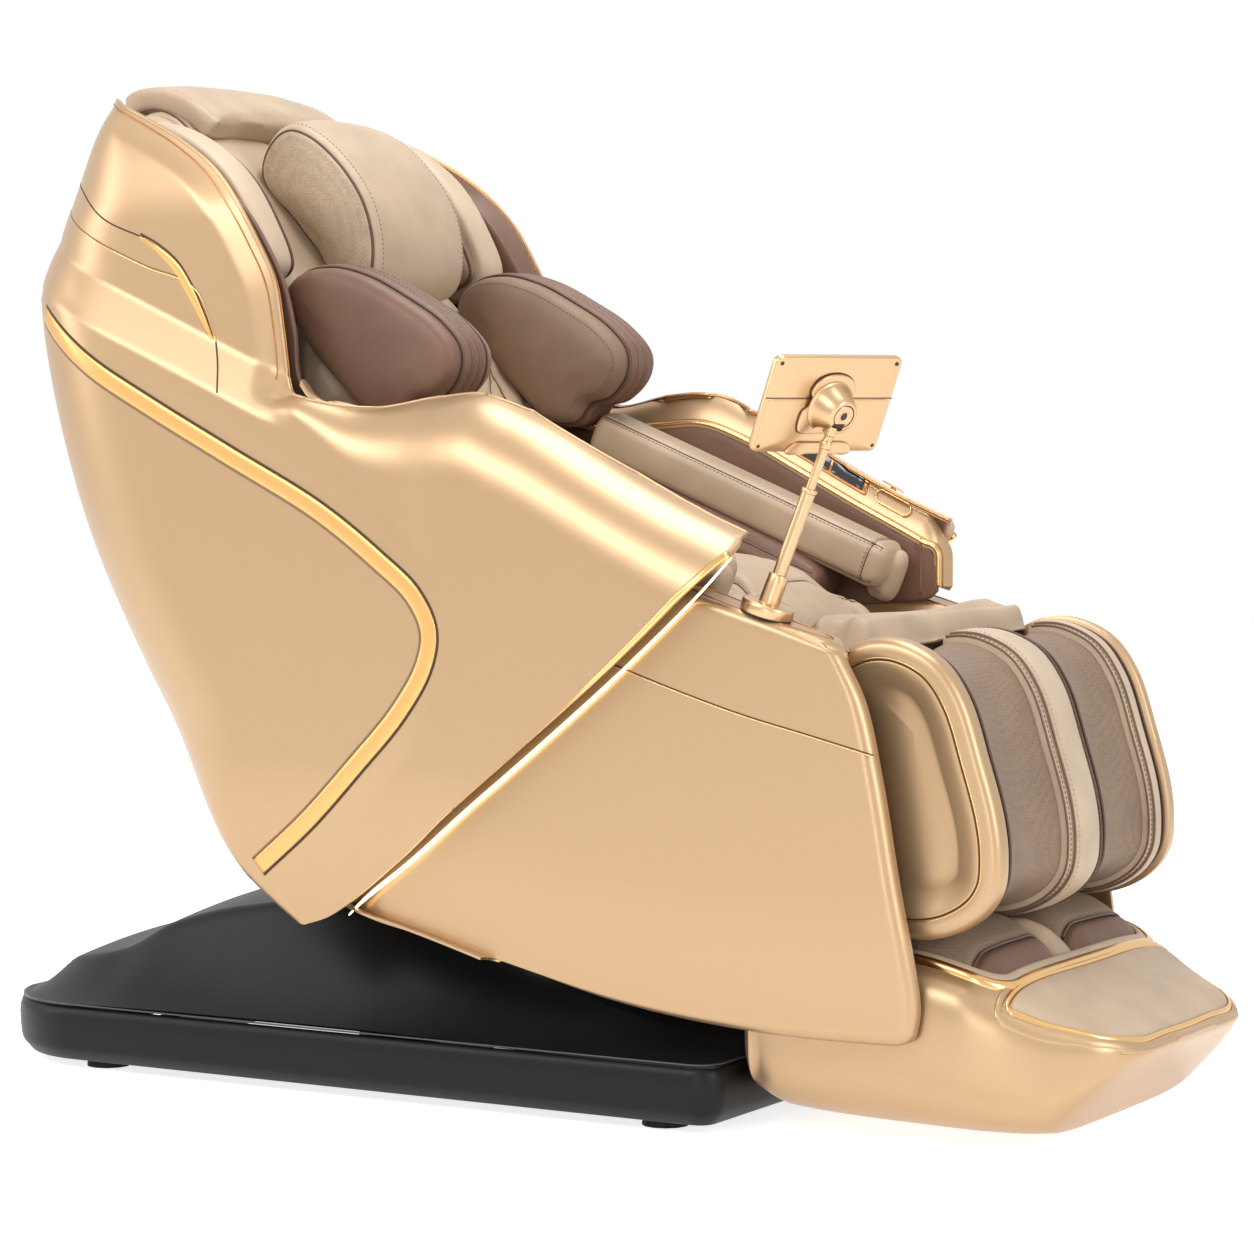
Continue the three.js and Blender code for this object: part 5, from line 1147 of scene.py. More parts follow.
def make_foot_pad(label, side):
    """The domed pad of one foot with a smooth front slope, sunk into its well."""
    for part, x0, x1, material, slot_name in (("pad", 401, 519, taupe_dots, "taupe_leather"),
                                              ("slope", 521, 560, mauve, "brown_leather")):
        x = np.linspace(x0, x1, 60 if part == "pad" else 24)[:, None]
        y = np.linspace(26, 226, 90)[None]
        r = 40.0
        dx = np.maximum(np.maximum(401 + r - x, x - (562 - r)), 0)
        dy = np.maximum(np.maximum(26 + r - y, y - (226 - r)), 0)
        inside = r - np.hypot(dx, dy)
        inside = np.where((dx <= 0) & (dy <= 0), np.minimum(np.minimum(x - 401, 562 - x),
                np.minimum(y - 26, 226 - y)), inside)
        lift = np.clip(inside / 44, 0, 1)
        z = foot_surface(x, y) - 16 + 40 * (1 - (1 - lift) ** 2.4) ** 0.55 - 15 * smooth((x - 478) / 70)
        z = np.minimum(z, 250 - 5 * ((y - 126) / 80) ** 2)
        joint = 519 if part == "pad" else 521
        z = z - 5 * np.exp(-(((x - joint) / 5) ** 2))
        z = np.where(inside < 0, foot_surface(x, y) - 30, z)
        g = np.stack(np.broadcast_arrays(x, side * y, z), 2)
        if np.mean(normals(g)[..., 2]) < 0:
            g = g[:, ::-1]
        o = skin(f"foot_{part}_{label}", g, -5.0, material, "foot", slot=slot_name, flat_angle=80)
        if part == "pad":
            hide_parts(f"foot_well_pad_{label}")
            rim = g[-1][4:-4] + np.array([1.0, 0, 1.5])
            tube(f"foot_pad_piping_{label}", rim, 2.2, piping, "foot", sides=8, slot="brown_leather")


both(make_foot_pad)


# ------------------------------------------------------------------ padded pieces
from mathutils.bvhtree import BVHTree


LEAN = math.radians(39.7)


def points_of(me):
    out = np.empty(len(me.vertices) * 3)
    me.vertices.foreach_get("co", out)
    return out.reshape(-1, 3)


def relax(me, rounds):
    """Evens a mesh out by moving every point towards the middle of its neighbours."""
    p = points_of(me)
    e = np.empty(len(me.edges) * 2, int)
    me.edges.foreach_get("vertices", e)
    e = e.reshape(-1, 2)
    n = np.bincount(e.ravel(), minlength=len(p))[:, None]
    for k in range(rounds):
        s = np.zeros_like(p)
        np.add.at(s, e[:, 0], p[e[:, 1]])
        np.add.at(s, e[:, 1], p[e[:, 0]])
        p = p + (0.5 if k % 2 == 0 else -0.2) * (s / n - p)
    me.vertices.foreach_set("co", p.ravel())
    me.update()


def soft_solids(jobs, frames=20):
    """Remeshes each solid, blows it up a little as cloth, and applies the result."""
    made = {}
    for name, (source, voxel, pressure, most) in jobs.items():
        me = source.data.copy()
        me.transform(source.matrix_world)
        me.materials.clear()
        o = bpy.data.objects.new(name, me)
        bpy.context.scene.collection.objects.link(o)
        m = o.modifiers.new("remesh", "REMESH")
        m.mode, m.voxel_size = "VOXEL", voxel / 1000
        o.data = bpy.data.meshes.new_from_object(o.evaluated_get(bpy.context.evaluated_depsgraph_get()))
        o.modifiers.clear()
        relax(o.data, 6)
        c = o.modifiers.new("cloth", "CLOTH")
        c.settings.use_pressure = True
        c.settings.uniform_pressure_force = pressure
        c.settings.effector_weights.gravity = 0
        c.settings.quality = 4
        c.collision_settings.use_collision = False
        c.point_cache.frame_start, c.point_cache.frame_end = 1, frames
        made[name] = (o, most / 1000)
    for f in range(1, frames + 1):
        bpy.context.scene.frame_set(f)
    graph = bpy.context.evaluated_depsgraph_get()
    for o, most in made.values():
        rest = points_of(o.data)
        moved = points_of(bpy.data.meshes.new_from_object(o.evaluated_get(graph)))
        o.modifiers.clear()
        d = moved - rest
        far = np.linalg.norm(d, axis=1, keepdims=True)
        d *= np.minimum(1, most / (far + 1e-9))
        if "back_cushion" in o.name:
            n = np.empty(len(rest) * 3)
            o.data.vertices.foreach_get("normal", n)
            behind = (n.reshape(-1, 3) @ np.array([math.cos(LEAN), 0, math.sin(LEAN)])) < -0.3
            d[behind] = 0.003 * np.array([math.cos(LEAN), 0, math.sin(LEAN)])
        o.data.vertices.foreach_set("co", (rest + d).ravel())
        relax(o.data, 8)
    bpy.context.scene.frame_set(1)
    return {name: o for name, (o, _) in made.items()}


def finer(o):
    m = o.modifiers.new("finer", "SUBSURF")
    m.levels = m.render_levels = 1
    o.data = bpy.data.meshes.new_from_object(o.evaluated_get(bpy.context.evaluated_depsgraph_get()))
    o.modifiers.clear()


def furrow(o, lines, depth, width):
    """Presses furrows into a mesh along lines of millimetre points."""
    me = o.data
    p = points_of(me) * 1000 - np.array([HIP, 0, 0])
    nn = np.empty(len(me.vertices) * 3)
    me.vertices.foreach_get("normal", nn)
    nn = nn.reshape(-1, 3)
    best = np.full(len(p), 1e9)
    for line in lines:
        line = np.array(line, float)
        near = np.all((p > line.min(0) - 4 * width) & (p < line.max(0) + 4 * width), axis=1)
        q = p[near]
        if not len(q):
            continue
        d = np.full(len(q), 1e9)
        for k in range(0, len(line), 1):
            d = np.minimum(d, np.linalg.norm(q - line[k], axis=1))
        best[near] = np.minimum(best[near], d)
    p = p - nn * (depth * np.exp(-((best / width) ** 2)))[:, None]
    p[:, 0] += HIP
    me.vertices.foreach_set("co", (p / 1000).ravel())
    me.update()


def snapped(o, line, count=120, closed=False, lift=0.0):
    """The nearest points on a mesh to a smooth line through millimetre points."""
    tree = BVHTree.FromObject(o, bpy.context.evaluated_depsgraph_get())
    pts = curve(line, count, closed)
    out = []
    for p in at(pts):
        hit, n, _i, _d = tree.find_nearest(Vector(p))
        q = np.array(hit) * 1000 - np.array([HIP, 0, 0]) + np.array(n) * lift
        out.append(q)
    out = np.array(out)
    for _ in range(3):
        if closed:
            out = (np.roll(out, 1, 0) + 2 * out + np.roll(out, -1, 0)) / 4
        else:
            out[1:-1] = (out[:-2] + 2 * out[1:-1] + out[2:]) / 4
    return out


def stitches(name, line, body, material, pitch=6.0, size=0.5, slot="beige_leather", closed=False):
    """A row of short raised stitches along a line."""
    line = np.array(line, float)
    length = np.linalg.norm(np.diff(line, axis=0), axis=1).sum()
    spots = resample(line, max(4, int(length / pitch)) * 2)
    pts, faces = [], []
    for a, b in zip(spots[0::2], spots[1::2]):
        d = (b - a) / (np.linalg.norm(b - a) + 1e-9)
        b = a + (b - a) * 1.25
        side = np.cross(d, [0.3, 0.2, 0.9])
        side /= np.linalg.norm(side) + 1e-9
        up = np.cross(d, side)
        k = len(pts)
        for q, r in ((0.0, 0.35), (0.25, 1.0), (0.75, 1.0), (1.0, 0.35)):
            c = a + (b - a) * q
            for i in range(5):
                t = 2 * math.pi * i / 5
                pts.append(c + size * r * (math.cos(t) * side + math.sin(t) * up))
        for r in range(3):
            faces += [(k + r * 5 + i, k + r * 5 + (i + 1) % 5, k + (r + 1) * 5 + (i + 1) % 5,
                       k + (r + 1) * 5 + i) for i in range(5)]
        faces += [tuple(k + i for i in range(4, -1, -1)), tuple(k + 15 + i for i in range(5))]
    return mesh(name, pts, faces, material, body, slot=slot)


def cushioned(o, material, body, node=None):
    o.data.materials.clear()
    o.data.materials.append(material)
    o.data.shade_smooth()
    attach(o, body)
    if node:
        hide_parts(node)
    return o


def seam(name, o, line, body, *, depth=2.2, width=3.5, cord=1.3, material=None, stitch=4.0, thread_=None,
         count=140, slot="beige_leather",
         lift=0.2):
    """A sewn seam on a cushion: a furrow, a thin cord in it and a row of stitches to one side."""
    on = snapped(o, line, count)
    furrow(o, [on], depth, width)
    on = snapped(o, on, count, lift=lift - 0.4)
    if cord:
        tube(f"{name}_cord", on, cord, material or piping, body, sides=8, slot=slot)
    if stitch:
        t = np.gradient(on, axis=0)
        t /= np.linalg.norm(t, axis=1, keepdims=True) + 1e-9
        tree = BVHTree.FromObject(o, bpy.context.evaluated_depsgraph_get())
        nn = np.array([np.array(tree.find_nearest(Vector(p))[1]) for p in at(on)])
        side = np.cross(t, nn)
        row = snapped(o, on + side * stitch, count, lift=0.25)
        stitches(f"{name}_stitch", row, body, thread_ or thread, slot=slot)
    return on


# the head pillow's own block, wider than deep, with a leaf-shaped end on each side
PILLOW_SIDE = [(-556, 1128), (-548, 1160), (-522, 1186), (-495, 1188), (-437, 1152), (-388, 1089),
               (-373, 1026), (-380, 985), (-402, 970),
               (-440, 990), (-505, 1056)]
pillow_line = curve(PILLOW_SIDE, 90, closed=True) + np.array([20.0, 0.0])
pillow_mid = pillow_line.mean(0)
rings = []
for t in np.linspace(-1, 1, 41):
    y = 104 * t
    swell = 1.0 + 0.10 * (1 - t * t) - 0.05 * max(0, abs(t) - 0.86) / 0.14
    rings.append([(*(pillow_mid + (p - pillow_mid) * swell), y) for p in pillow_line])
rings = [[(x, y, z) for x, z, y in ring] for ring in rings]
ends = []
for s in (0.85, 0.6, 0.3):
    ends.append([(pillow_mid[0] + (p[0] - pillow_mid[0]) * s, -110 - 6 * (1 - s),
                  pillow_mid[1] + (p[1] - pillow_mid[1]) * s)
                 for p in pillow_line])
rings = ends[::-1] + rings + [[(x, -y, z) for x, y, z in ring] for ring in ends]
pillow_block = lofted("pillow_block", rings, None, None)

node = frame["nodes"]
jobs = {
    "seat_cushion_soft": (node["seat_cushion"], 5.0, 4.0, 10),
    "back_cushion_soft": (node["back_cushion"], 6.5, 2.5, 9),
    "head_pillow_soft": (pillow_block, 5.0, 4.0, 9),
    "head_flap_soft": (node["head_flap"], 6.0, 2.0, 5),
    "arm_lower_pad_right_soft": (node["arm_lower_pad_right"], 4.5, 4.0, 7),
}
soft = soft_solids(jobs, 20)
bpy.data.objects.remove(pillow_block)


def mirrored(o, name):
    me = o.data.copy()
    p = points_of(me)
    p[:, 1] *= -1
    me.vertices.foreach_set("co", p.ravel())
    me.flip_normals()
    new = bpy.data.objects.new(name, me)
    bpy.context.scene.collection.objects.link(new)
    return new


for key in ("arm_lower_pad",):
    soft[f"{key}_left_soft"] = mirrored(soft[f"{key}_right_soft"], f"{key}_left_soft")
for key, o in soft.items():
    if "back" not in key:
        finer(o)


def on_back(u, v, w):
    return np.array([-104 - u * math.sin(LEAN) + w * math.cos(LEAN), v,
                     606 + u * math.cos(LEAN) + w * math.sin(LEAN)])


def on_arm(side, u, v, w):
    c, s = math.cos(FALL), math.sin(FALL)
    return np.array([-214 + u * c + v * s, side * w, 800 - u * s + v * c])


# seat cushion
seat_o = soft["seat_cushion_soft"]
seam("seat_front_seam", seat_o, [(205, -152, 560), (214, -146, 612), (206, -110, 640), (196, -50, 654),
                                 (194, 0, 656), (196, 50, 654),
                                 (206, 110, 640), (214, 146, 612), (205, 152, 560)], "seat",
                                 material=piping)
for label, s in (("right", -1), ("left", 1)):
    seam(f"seat_side_seam_{label}", seat_o, [(204, s * 108, 642), (120, s * 104, 652), (40, s * 100, 648),
                                             (-40, s * 98, 622),
                                            (-80, s * 100, 590)], "seat", depth=4, width=6)
    for k, (x0, x1, y0) in enumerate(((150, 196, 118), (120, 160, 122), (164, 214, 130))):
        furrow(seat_o, [snapped(seat_o, [(x0, s * (y0 + 30), 628), ((x0 + x1) / 2, s * (y0 + 12), 640),
                                         (x1, s * (y0 - 6), 646)], 40)],
               2.4, 4)
cushioned(seat_o, beige, "seat", "seat_cushion")

# back cushion
back_o = soft["back_cushion_soft"]
for k, u0 in enumerate((120, 230, 340)):
    seam(f"back_vee_{k}", back_o, [on_back(u0 + 120, -118, -10), on_back(u0 + 50, -50, 0),
                                   on_back(u0 + 18, 0, 4), on_back(u0 + 50, 50, 0),
                                   on_back(u0 + 120, 118, -10)], "back", depth=5, width=8, cord=1.2)
for s in (-1, 1):
    seam(f"back_edge_{'right' if s < 0 else 'left'}", back_o,
         [on_back(40, s * 126, -6), on_back(200, s * 122, 0), on_back(300, s * 124, 0),
                                                               on_back(440, s * 150, 0)], "back", depth=4,
                                                               width=5, cord=1.4)
cushioned(back_o, beige, "back", "back_cushion")

# head pillow with its leaf-shaped ends
pillow_o = soft["head_pillow_soft"]
for label, s in (("right", -1), ("left", 1)):
    edge = [(x, s * 106, z) for x, z in (pillow_mid + (pillow_line - pillow_mid) * 0.95)[::6]]
    on = snapped(pillow_o, edge, 160, closed=True)
    furrow(pillow_o, [on], 2.2, 4)
    on = snapped(pillow_o, on, 160, closed=True, lift=0.4)
    tube(f"pillow_piping_{label}", on, 1.9, piping, "back", sides=8, closed=True, slot="brown_leather")
    inside = [(x, s * 112, z) for x, z in (pillow_mid + (pillow_line - pillow_mid) * 0.86)[::6]]
    row = snapped(pillow_o, inside, 160, closed=True, lift=0.2)
    stitches(f"pillow_end_stitch_{label}", row, "back", thread, slot="beige_leather")
    outer = [(x, s * 92, z) for x, z in (pillow_mid + (pillow_line - pillow_mid) * 1.02)[::6]]
    stitches(f"pillow_face_stitch_{label}", snapped(pillow_o, outer, 200, closed=True, lift=0.2), "back",
             thread_dark, slot="beige_leather")
cushioned(pillow_o, beige, "back", "head_pillow")
pillow_o.data.materials.append(beige_dots)
for f in pillow_o.data.polygons:
    if abs(f.center[1]) > 0.103 and abs(f.normal[1]) > 0.55:
        f.material_index = 1

# flap over the top
flap_o = soft["head_flap_soft"]
for k, s in enumerate((-1, 1)):
    stitches(f"flap_stitch_{k}", snapped(flap_o, [(-566, s * 150, 1208), (-620, s * 150, 1238),
            (-690, s * 150, 1246)], 60, lift=0.3), "back",
             thread, slot="beige_leather")
cushioned(flap_o, beige, "back", "head_flap")

# arm cushions and lower pads
def bolster(name, place, u0, u1, w0, w1, v0, v1, r, crown, end, material, body, slot_name, steps=110):
    """A stuffed roll: a rounded box section with crowned faces and rounded ends."""
    line = rounded(w0, w1, v0, v1, r, 10)
    line = resample(np.vstack([line, line[:1]]), 80, True)
    mid = np.array([(w0 + w1) / 2, (v0 + v1) / 2])
    half = np.array([(w1 - w0) / 2, (v1 - v0) / 2])
    q = (line - mid) / half
    line = line + np.stack([np.sign(q[:, 0]) * np.abs(q[:, 0]) ** 4 * (1 - q[:, 1] ** 2),
                            np.sign(q[:, 1]) * np.abs(q[:, 1]) ** 4 * (1 - q[:, 0] ** 2)], 1) * crown
    turn = np.linspace(0, math.pi / 2, 9)[1:-1]
    spots = ([(u0 + end * (1 - math.sin(a)), end * (1 - math.cos(a))) for a in turn[::-1]]
             + [(u, 0.0) for u in np.linspace(u0 + end, u1 - end, steps)]
             + [(u1 - end * (1 - math.sin(a)), end * (1 - math.cos(a))) for a in turn])
    rows = [(u, mid + (line - mid) * (1 - inset / half)) for u, inset in spots]
    for s_ in (0.97, 0.8, 0.5, 0.02):
        rows.append((u1 + crown * (1 - s_), mid + (rows[-1][1] - mid) * s_))
        rows.insert(0, (u0 - crown * (1 - s_), mid + (rows[0][1] - mid) * s_))
    o = lofted(name, [[place(u, v, w) for w, v in ring] for u, ring in rows], material, body,
               slot=slot_name, flat_angle=80)
    return o


for label, side in (("right", -1), ("left", 1)):
    on = lambda u, v, w: on_arm(side, u, v, w)
    o = bolster(f"arm_cushion_{label}_soft", on, -2, 450, 187, 249, -29, 27, 13, 3.0, 15, beige, "back",
                "beige_leather")
    for k, (v, w) in enumerate(((26, 191), (26, 245), (-24, 190))):
        seam(f"arm_cushion_seam_{k}_{label}", o, [on_arm(side, u, v, w) for u in (6, 120, 240, 360, 444)],
             "back", depth=1.2, width=2.6,
             cord=1.1, stitch=4 if k < 2 else 0, material=piping, thread_=thread_dark)
    end = ((30, 240), (30, 218), (29, 200), (26, 190), (10, 186), (-10, 186), (-26, 192))
    seam(f"arm_cushion_end_{label}", o, [on_arm(side, 428, v, w) for v, w in end], "back",
         depth=1.4, width=2.6, cord=1.0, material=piping, count=70, thread_=thread_dark)
    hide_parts(f"arm_cushion_{label}")
    o.data.materials.append(beige_dots)
    top = np.array(on_arm(side, 0, 1, 0) - on_arm(side, 0, 0, 0))
    for f in o.data.polygons:
        if f.normal @ Vector(top) > 0.75:
            f.material_index = 1
    o = bolster(f"arm_end_pad_{label}", on, 424, 462, 214, 249.5, -44, 20, 14, 2.5, 13, beige, "back",
                "beige_leather", steps=14)
    o = soft[f"arm_lower_pad_{label}_soft"]
    seam(f"arm_lower_seam_{label}", o, [on_arm(side, u, -38, 168) for u in (-6, 100, 200, 300, 372)],
         "back", depth=1.4, width=3, cord=1.2,
         material=piping, slot="brown_leather", thread_=thread_dark)
    cushioned(o, mauve, "back", f"arm_lower_pad_{label}")

# ------------------------------------------------------------------ shoulder and head side pads
SHOULDER_LINE = [(-402, 962), (-380, 993), (-338, 1002), (-285, 991), (-232, 966), (-178, 933),
                 (-152, 901), (-154, 872), (-178, 845),
                 (-206, 837), (-226, 814), (-262, 814), (-318, 860), (-370, 916)]
shoulder_line = curve(SHOULDER_LINE, 120, closed=True)
SHOULDER_CORE = ((-345, 948), (-222, 880))
shoulder_out = np.roll(shoulder_line, -1, 0) - np.roll(shoulder_line, 1, 0)
shoulder_out = np.stack([shoulder_out[:, 1], -shoulder_out[:, 0]], 1)
shoulder_out /= np.linalg.norm(shoulder_out, axis=1, keepdims=True)
if ((shoulder_line - shoulder_line.mean(0)) * shoulder_out).sum() < 0:
    shoulder_out = -shoulder_out


def make_shoulder(label, side):
    place = lambda x, z, h: (x, side * h, z)
    face = dish(f"shoulder_face_{label}", shoulder_line, [(0, 172), (0.4, 164), (2.5, 156), (6, 150.5),
            (11, 146.8), (17, 144), (24, 142),
                (31, 140.6)], SHOULDER_CORE, place, taupe_deep, "back", closing=176, crown=-2.4,
                slot="taupe_leather", flat_angle=70)
    back = dish(f"shoulder_back_{label}", shoulder_line, [(0, 226), (0.4, 236), (2.5, 242), (6, 246.5),
            (11, 249.5), (17, 251.2), (24, 252.2),
                (31, 253)], SHOULDER_CORE, place, mauve, "back", closing=222, crown=1.2,
                slot="brown_leather", flat_angle=70)
    rings = []
    for k in range(3):
        a = 176 + 16.5 * k
        for t in np.linspace(0, 1, 9):
            r = 1.0 + 4.2 * math.sin(math.pi * t) ** 0.7
            rings.append([place(x, z, a + 16.5 * t) for x, z in shoulder_line + shoulder_out * r])
    ribs = lofted(f"shoulder_ribs_{label}", rings, mauve, "back", slot="brown_leather", flat_angle=80)
    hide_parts(f"shoulder_pad_{label}")
    for k, h in enumerate((172.5, 192.5, 209, 225.5)):
        tube(f"shoulder_piping_{k}_{label}", [place(x, z, h) for x,
                                              z in shoulder_line + shoulder_out * 1.6], 1.8, piping,
                                              "back", sides=8,
             closed=True, slot="brown_leather")
    inner = inner_rings(shoulder_line, [9], SHOULDER_CORE)[0]
    stitches(f"shoulder_stitch_{label}", [place(x, z, 147.2) for x, z in np.vstack([inner, inner[:1]])],
             "back", thread_dark,
             slot="taupe_leather")
    for k, h in enumerate((188, 204.5)):
        stitches(f"shoulder_rib_stitch_{k}_{label}", [place(x, z, h) for x,
                z in np.vstack([shoulder_line, shoulder_line[:1]])
                 + np.vstack([shoulder_out, shoulder_out[:1]]) * 4.6], "back", thread_dark,
                 slot="brown_leather")


both(make_shoulder)

HEAD_LINE = [(-622, 1172), (-560, 1172), (-480, 1126), (-432, 1060), (-412, 1004), (-446, 986),
             (-520, 1010), (-600, 1084), (-636, 1134)]
head_line = curve(HEAD_LINE, 130, closed=True)
HEAD_CORE = ((-590, 1130), (-470, 1040))


def quilted(name, outline, core, height, rise, cell, material, body, side, **kw):
    """A padded face with diamond quilting, its height falling to the stitch lines."""
    rings = inner_rings(outline, [0, 0.3, 1.5, 4, 8] + list(np.arange(11, 44, 2.2)), core)
    a, b = np.array(core, float)
    d = b - a
    t = np.clip(((outline - a) @ d) / (d @ d), 0, 1)
    centre_ = a + t[:, None] * d
    last = rings[-1]
    rings += [last + (centre_ - last) * s for s in np.linspace(0.05, 1, 14)]
    edge = [16, 6, 2.5, 1, 0.3]
    rows = []
    for k, ring in enumerate(rings):
        p = (ring[:, 0] + ring[:, 1]) / cell
        q = (ring[:, 0] - ring[:, 1]) / cell
        puff = (np.abs(np.sin(math.pi * p)) * np.abs(np.sin(math.pi * q))) ** 0.35
        h = height + (edge[k] if k < 5 else 0) - rise * puff * (0 if k < 3 else min(1, (k - 2) / 3))
        rows.append(np.stack([ring[:, 0], side * h, ring[:, 1]], 1))
    back_row = np.stack([centre_[:, 0], np.full(len(centre_), side * (height + 40)), centre_[:, 1]], 1)
    first = np.stack([outline[:, 0], np.full(len(outline), side * (height + 40)), outline[:, 1]], 1)
    return lofted(name, [back_row, first] + rows, material, body, caps=False, **kw)


def make_head_side(label, side):
    o = quilted(f"head_quilt_{label}", head_line, HEAD_CORE, 200, 7, 42, taupe if side > 0 else beige,
                "back", side, slot="taupe_leather")
    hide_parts(f"head_side_pad_{label}")
    tube(f"head_quilt_piping_{label}", [(x, side * 205, z) for x, z in head_line], 2.2, piping, "back",
         sides=8, closed=True,
         slot="brown_leather")
    out = head_line.copy()
    n = np.roll(out, -1, 0) - np.roll(out, 1, 0)
    n = np.stack([n[:, 1], -n[:, 0]], 1)
    n /= np.linalg.norm(n, axis=1, keepdims=True)
    if ((out - out.mean(0)) * n).sum() < 0:
        n = -n
    rings = []
    for t in np.linspace(0, 1, 15):
        a = math.pi * t
        rings.append([(x, side * (243 - 27 * math.cos(a)), z) for x,
                      z in out + n * (2 + (16 if side > 0 else 8) * math.sin(a) ** 0.6)])
    roll = lofted(f"head_side_roll_{label}", rings, beige_light, "back", slot="beige_leather",
                  flat_angle=80)


both(make_head_side)

# pad over the rear top, between the ears and under the flap
TOP_PAD = [(-700, 1130), (-698, 1170), (-682, 1198), (-650, 1209), (-612, 1198), (-584, 1168),
           (-590, 1120), (-650, 1108)]
pad_line = curve(TOP_PAD, 60, closed=True)
pad_mid = pad_line.mean(0)
rows = []
for s in np.sin(np.linspace(-1, 1, 61) * math.pi / 2):
    shrink = (1 - abs(s) ** 9) ** 0.5 * (1 - 0.03 * math.cos(s * math.pi * 6) ** 8)
    rows.append([(x, 205 * s, z) for x, z in pad_mid + (pad_line - pad_mid) * max(0.03, shrink)])
top_pad = lofted("head_top_pad", rows, beige, "back", slot="beige_leather", flat_angle=80)
for k, s in enumerate((-172, 172)):
    tube(f"head_top_piping_{k}", [(x, s, z) for x, z in pad_mid + (pad_line - pad_mid) * 1.002], 1.8,
         piping, "back", sides=8, closed=True,
         slot="brown_leather")

# ------------------------------------------------------------------ arm and ear liners
LINER_UP = [(249, 640), (240, 652), (200, 670), (140, 700), (60, 740), (-20, 780), (-85, 804),
            (-150, 802), (-230, 796), (-300, 814),
            (-346, 858), (-356, 925), (-371, 985), (-394, 1028), (-424, 1070), (-466, 1108), (-518, 1138),
            (-575, 1162)]
LINER_LOW = [(249, 600), (240, 594), (200, 588), (140, 584), (60, 588), (-20, 600), (-85, 620),
             (-150, 650), (-220, 700), (-280, 752),
             (-330, 800), (-370, 850), (-405, 900), (-440, 950), (-480, 1000), (-530, 1050), (-580, 1094),
             (-620, 1120)]
RIM_PATH = [(-341, 862), (-326, 842), (-300, 826), (-230, 806), (-150, 812), (-85, 814), (-20, 792),
            (60, 752), (140, 711), (200, 682),
            (236, 664)]


def liner_face(x):
    return 252 + 27.6 * smooth((-x - 260) / 120)


def make_liner(label, side):
    up, low = curve(LINER_UP, 150), curve(LINER_LOW, 150)
    if side < 0:
        up = curve([(204, 654)] + LINER_UP[2:], 150)
        low = curve([(160, 606)] + LINER_LOW[3:], 150)
    t = np.linspace(0, 1, 18)[:, None, None]
    g2 = low[None] * (1 - t) + up[None] * t
    x, z = g2[..., 0], g2[..., 1]
    tt = t[..., 0] * np.ones_like(x)
    g = np.stack([x, side * (liner_face(x) - 1.2 * np.sin(math.pi * tt) ** 0.6), z], 2)
    n = normals(g)
    wall = 8.0 if np.mean(n[..., 1]) * side > 0 else -8.0
    o = skin(f"arm_liner_skin_{label}", g, wall, mauve, "back", round_edge=3, slot="brown_leather",
             flat_angle=70)
    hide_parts(f"arm_liner_{label}")
    if side < 0:
        return
    stitches(f"liner_stitch_{label}", [(222, side * 250.6, z_) for z_ in np.linspace(598, 668, 12)],
             "back", thread_dark,
             slot="brown_leather")
    tube(f"liner_fold_{label}", [(228, side * 251.2, z_) for z_ in np.linspace(597, 668, 12)], 1.6, mauve,
         "back", sides=8,
         slot="brown_leather")


def make_rim(label, side):
    """Gold shoulder from the arm's inner top edge to a rim with a polished bead, round the front corner."""
    corner = [(236 + 20 * math.sin(a), 644 + 20 * math.cos(a)) for a in np.radians((20, 40, 60, 80, 90))]
    path = np.vstack([curve(RIM_PATH, 130), corner, [(256.0, z_) for z_ in np.linspace(636, 607, 10)]]
                     if side > 0
                     else [curve(RIM_PATH[:-1], 130), [(216, 674)]])
    path = resample(path, 220)
    t = np.gradient(path, axis=0)
    n = np.stack([-t[:, 1], t[:, 0]], 1)
    n /= np.linalg.norm(n, axis=1, keepdims=True)
    rings = []
    for p, m in zip(path, n):
        y0 = float(liner_face(p[0])) - 0.8
        front = float(smooth((p[0] - 226) / 26)) if side > 0 else 0.0
        ear_ = float(smooth((-300 - p[0]) / 40))
        top = (p[1] + 5 * m[1]) * (front + (1 - front) * ear_) + (1 - front) * (1
                - ear_) * (float(cap_top(p[0])) - 2.5)
        y1 = 274.0 * (1 - ear_) + (y0 + 18) * ear_
        ring = []
        for q, lift in ((y0, -6), (y0, 1.2), (y0 + 1.0, 2.6), (y0 + 3.0, 3.2), (y0 + 5.0, 3.2)):
            c = p + m * (lift - 3)
            ring.append((c[0], side * q, c[1]))
        last = p + m * 0.2
        for k in np.linspace(0.15, 1, 9):
            bow = 3.0 * math.sin(math.pi * k)
            ring.append((last[0] + 6 * front * k, side * (y0 + 5 + (y1 - y0 - 5) * k - bow * 0.4),
                         last[1] + (top - last[1]) * k + bow * (1 - front)))
        ring += [(last[0], side * (y1 + 3), top - 6), (p[0] - 9 * m[0], side * (y0 + 8), p[1] - 9 * m[1])]
        rings.append(ring)
    o = lofted(f"arm_rim_{label}", rings, gold, "back", slot="gold_metal", flat_angle=50)
    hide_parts(f"arm_front_rim_{label}")
    for k, (off, dy, r, material) in enumerate(((-3.4, -0.9, 2.2, polished), (0.6, 4.6, 0.9, copper))):
        bead = [(p[0] + m[0] * off, side * (float(liner_face(p[0])) + dy), p[1] + m[1] * off) for p,
                m in zip(path, n)]
        tube(f"arm_rim_bead_{k}_{label}", bead, r, material, "back", sides=10, slot="accent")


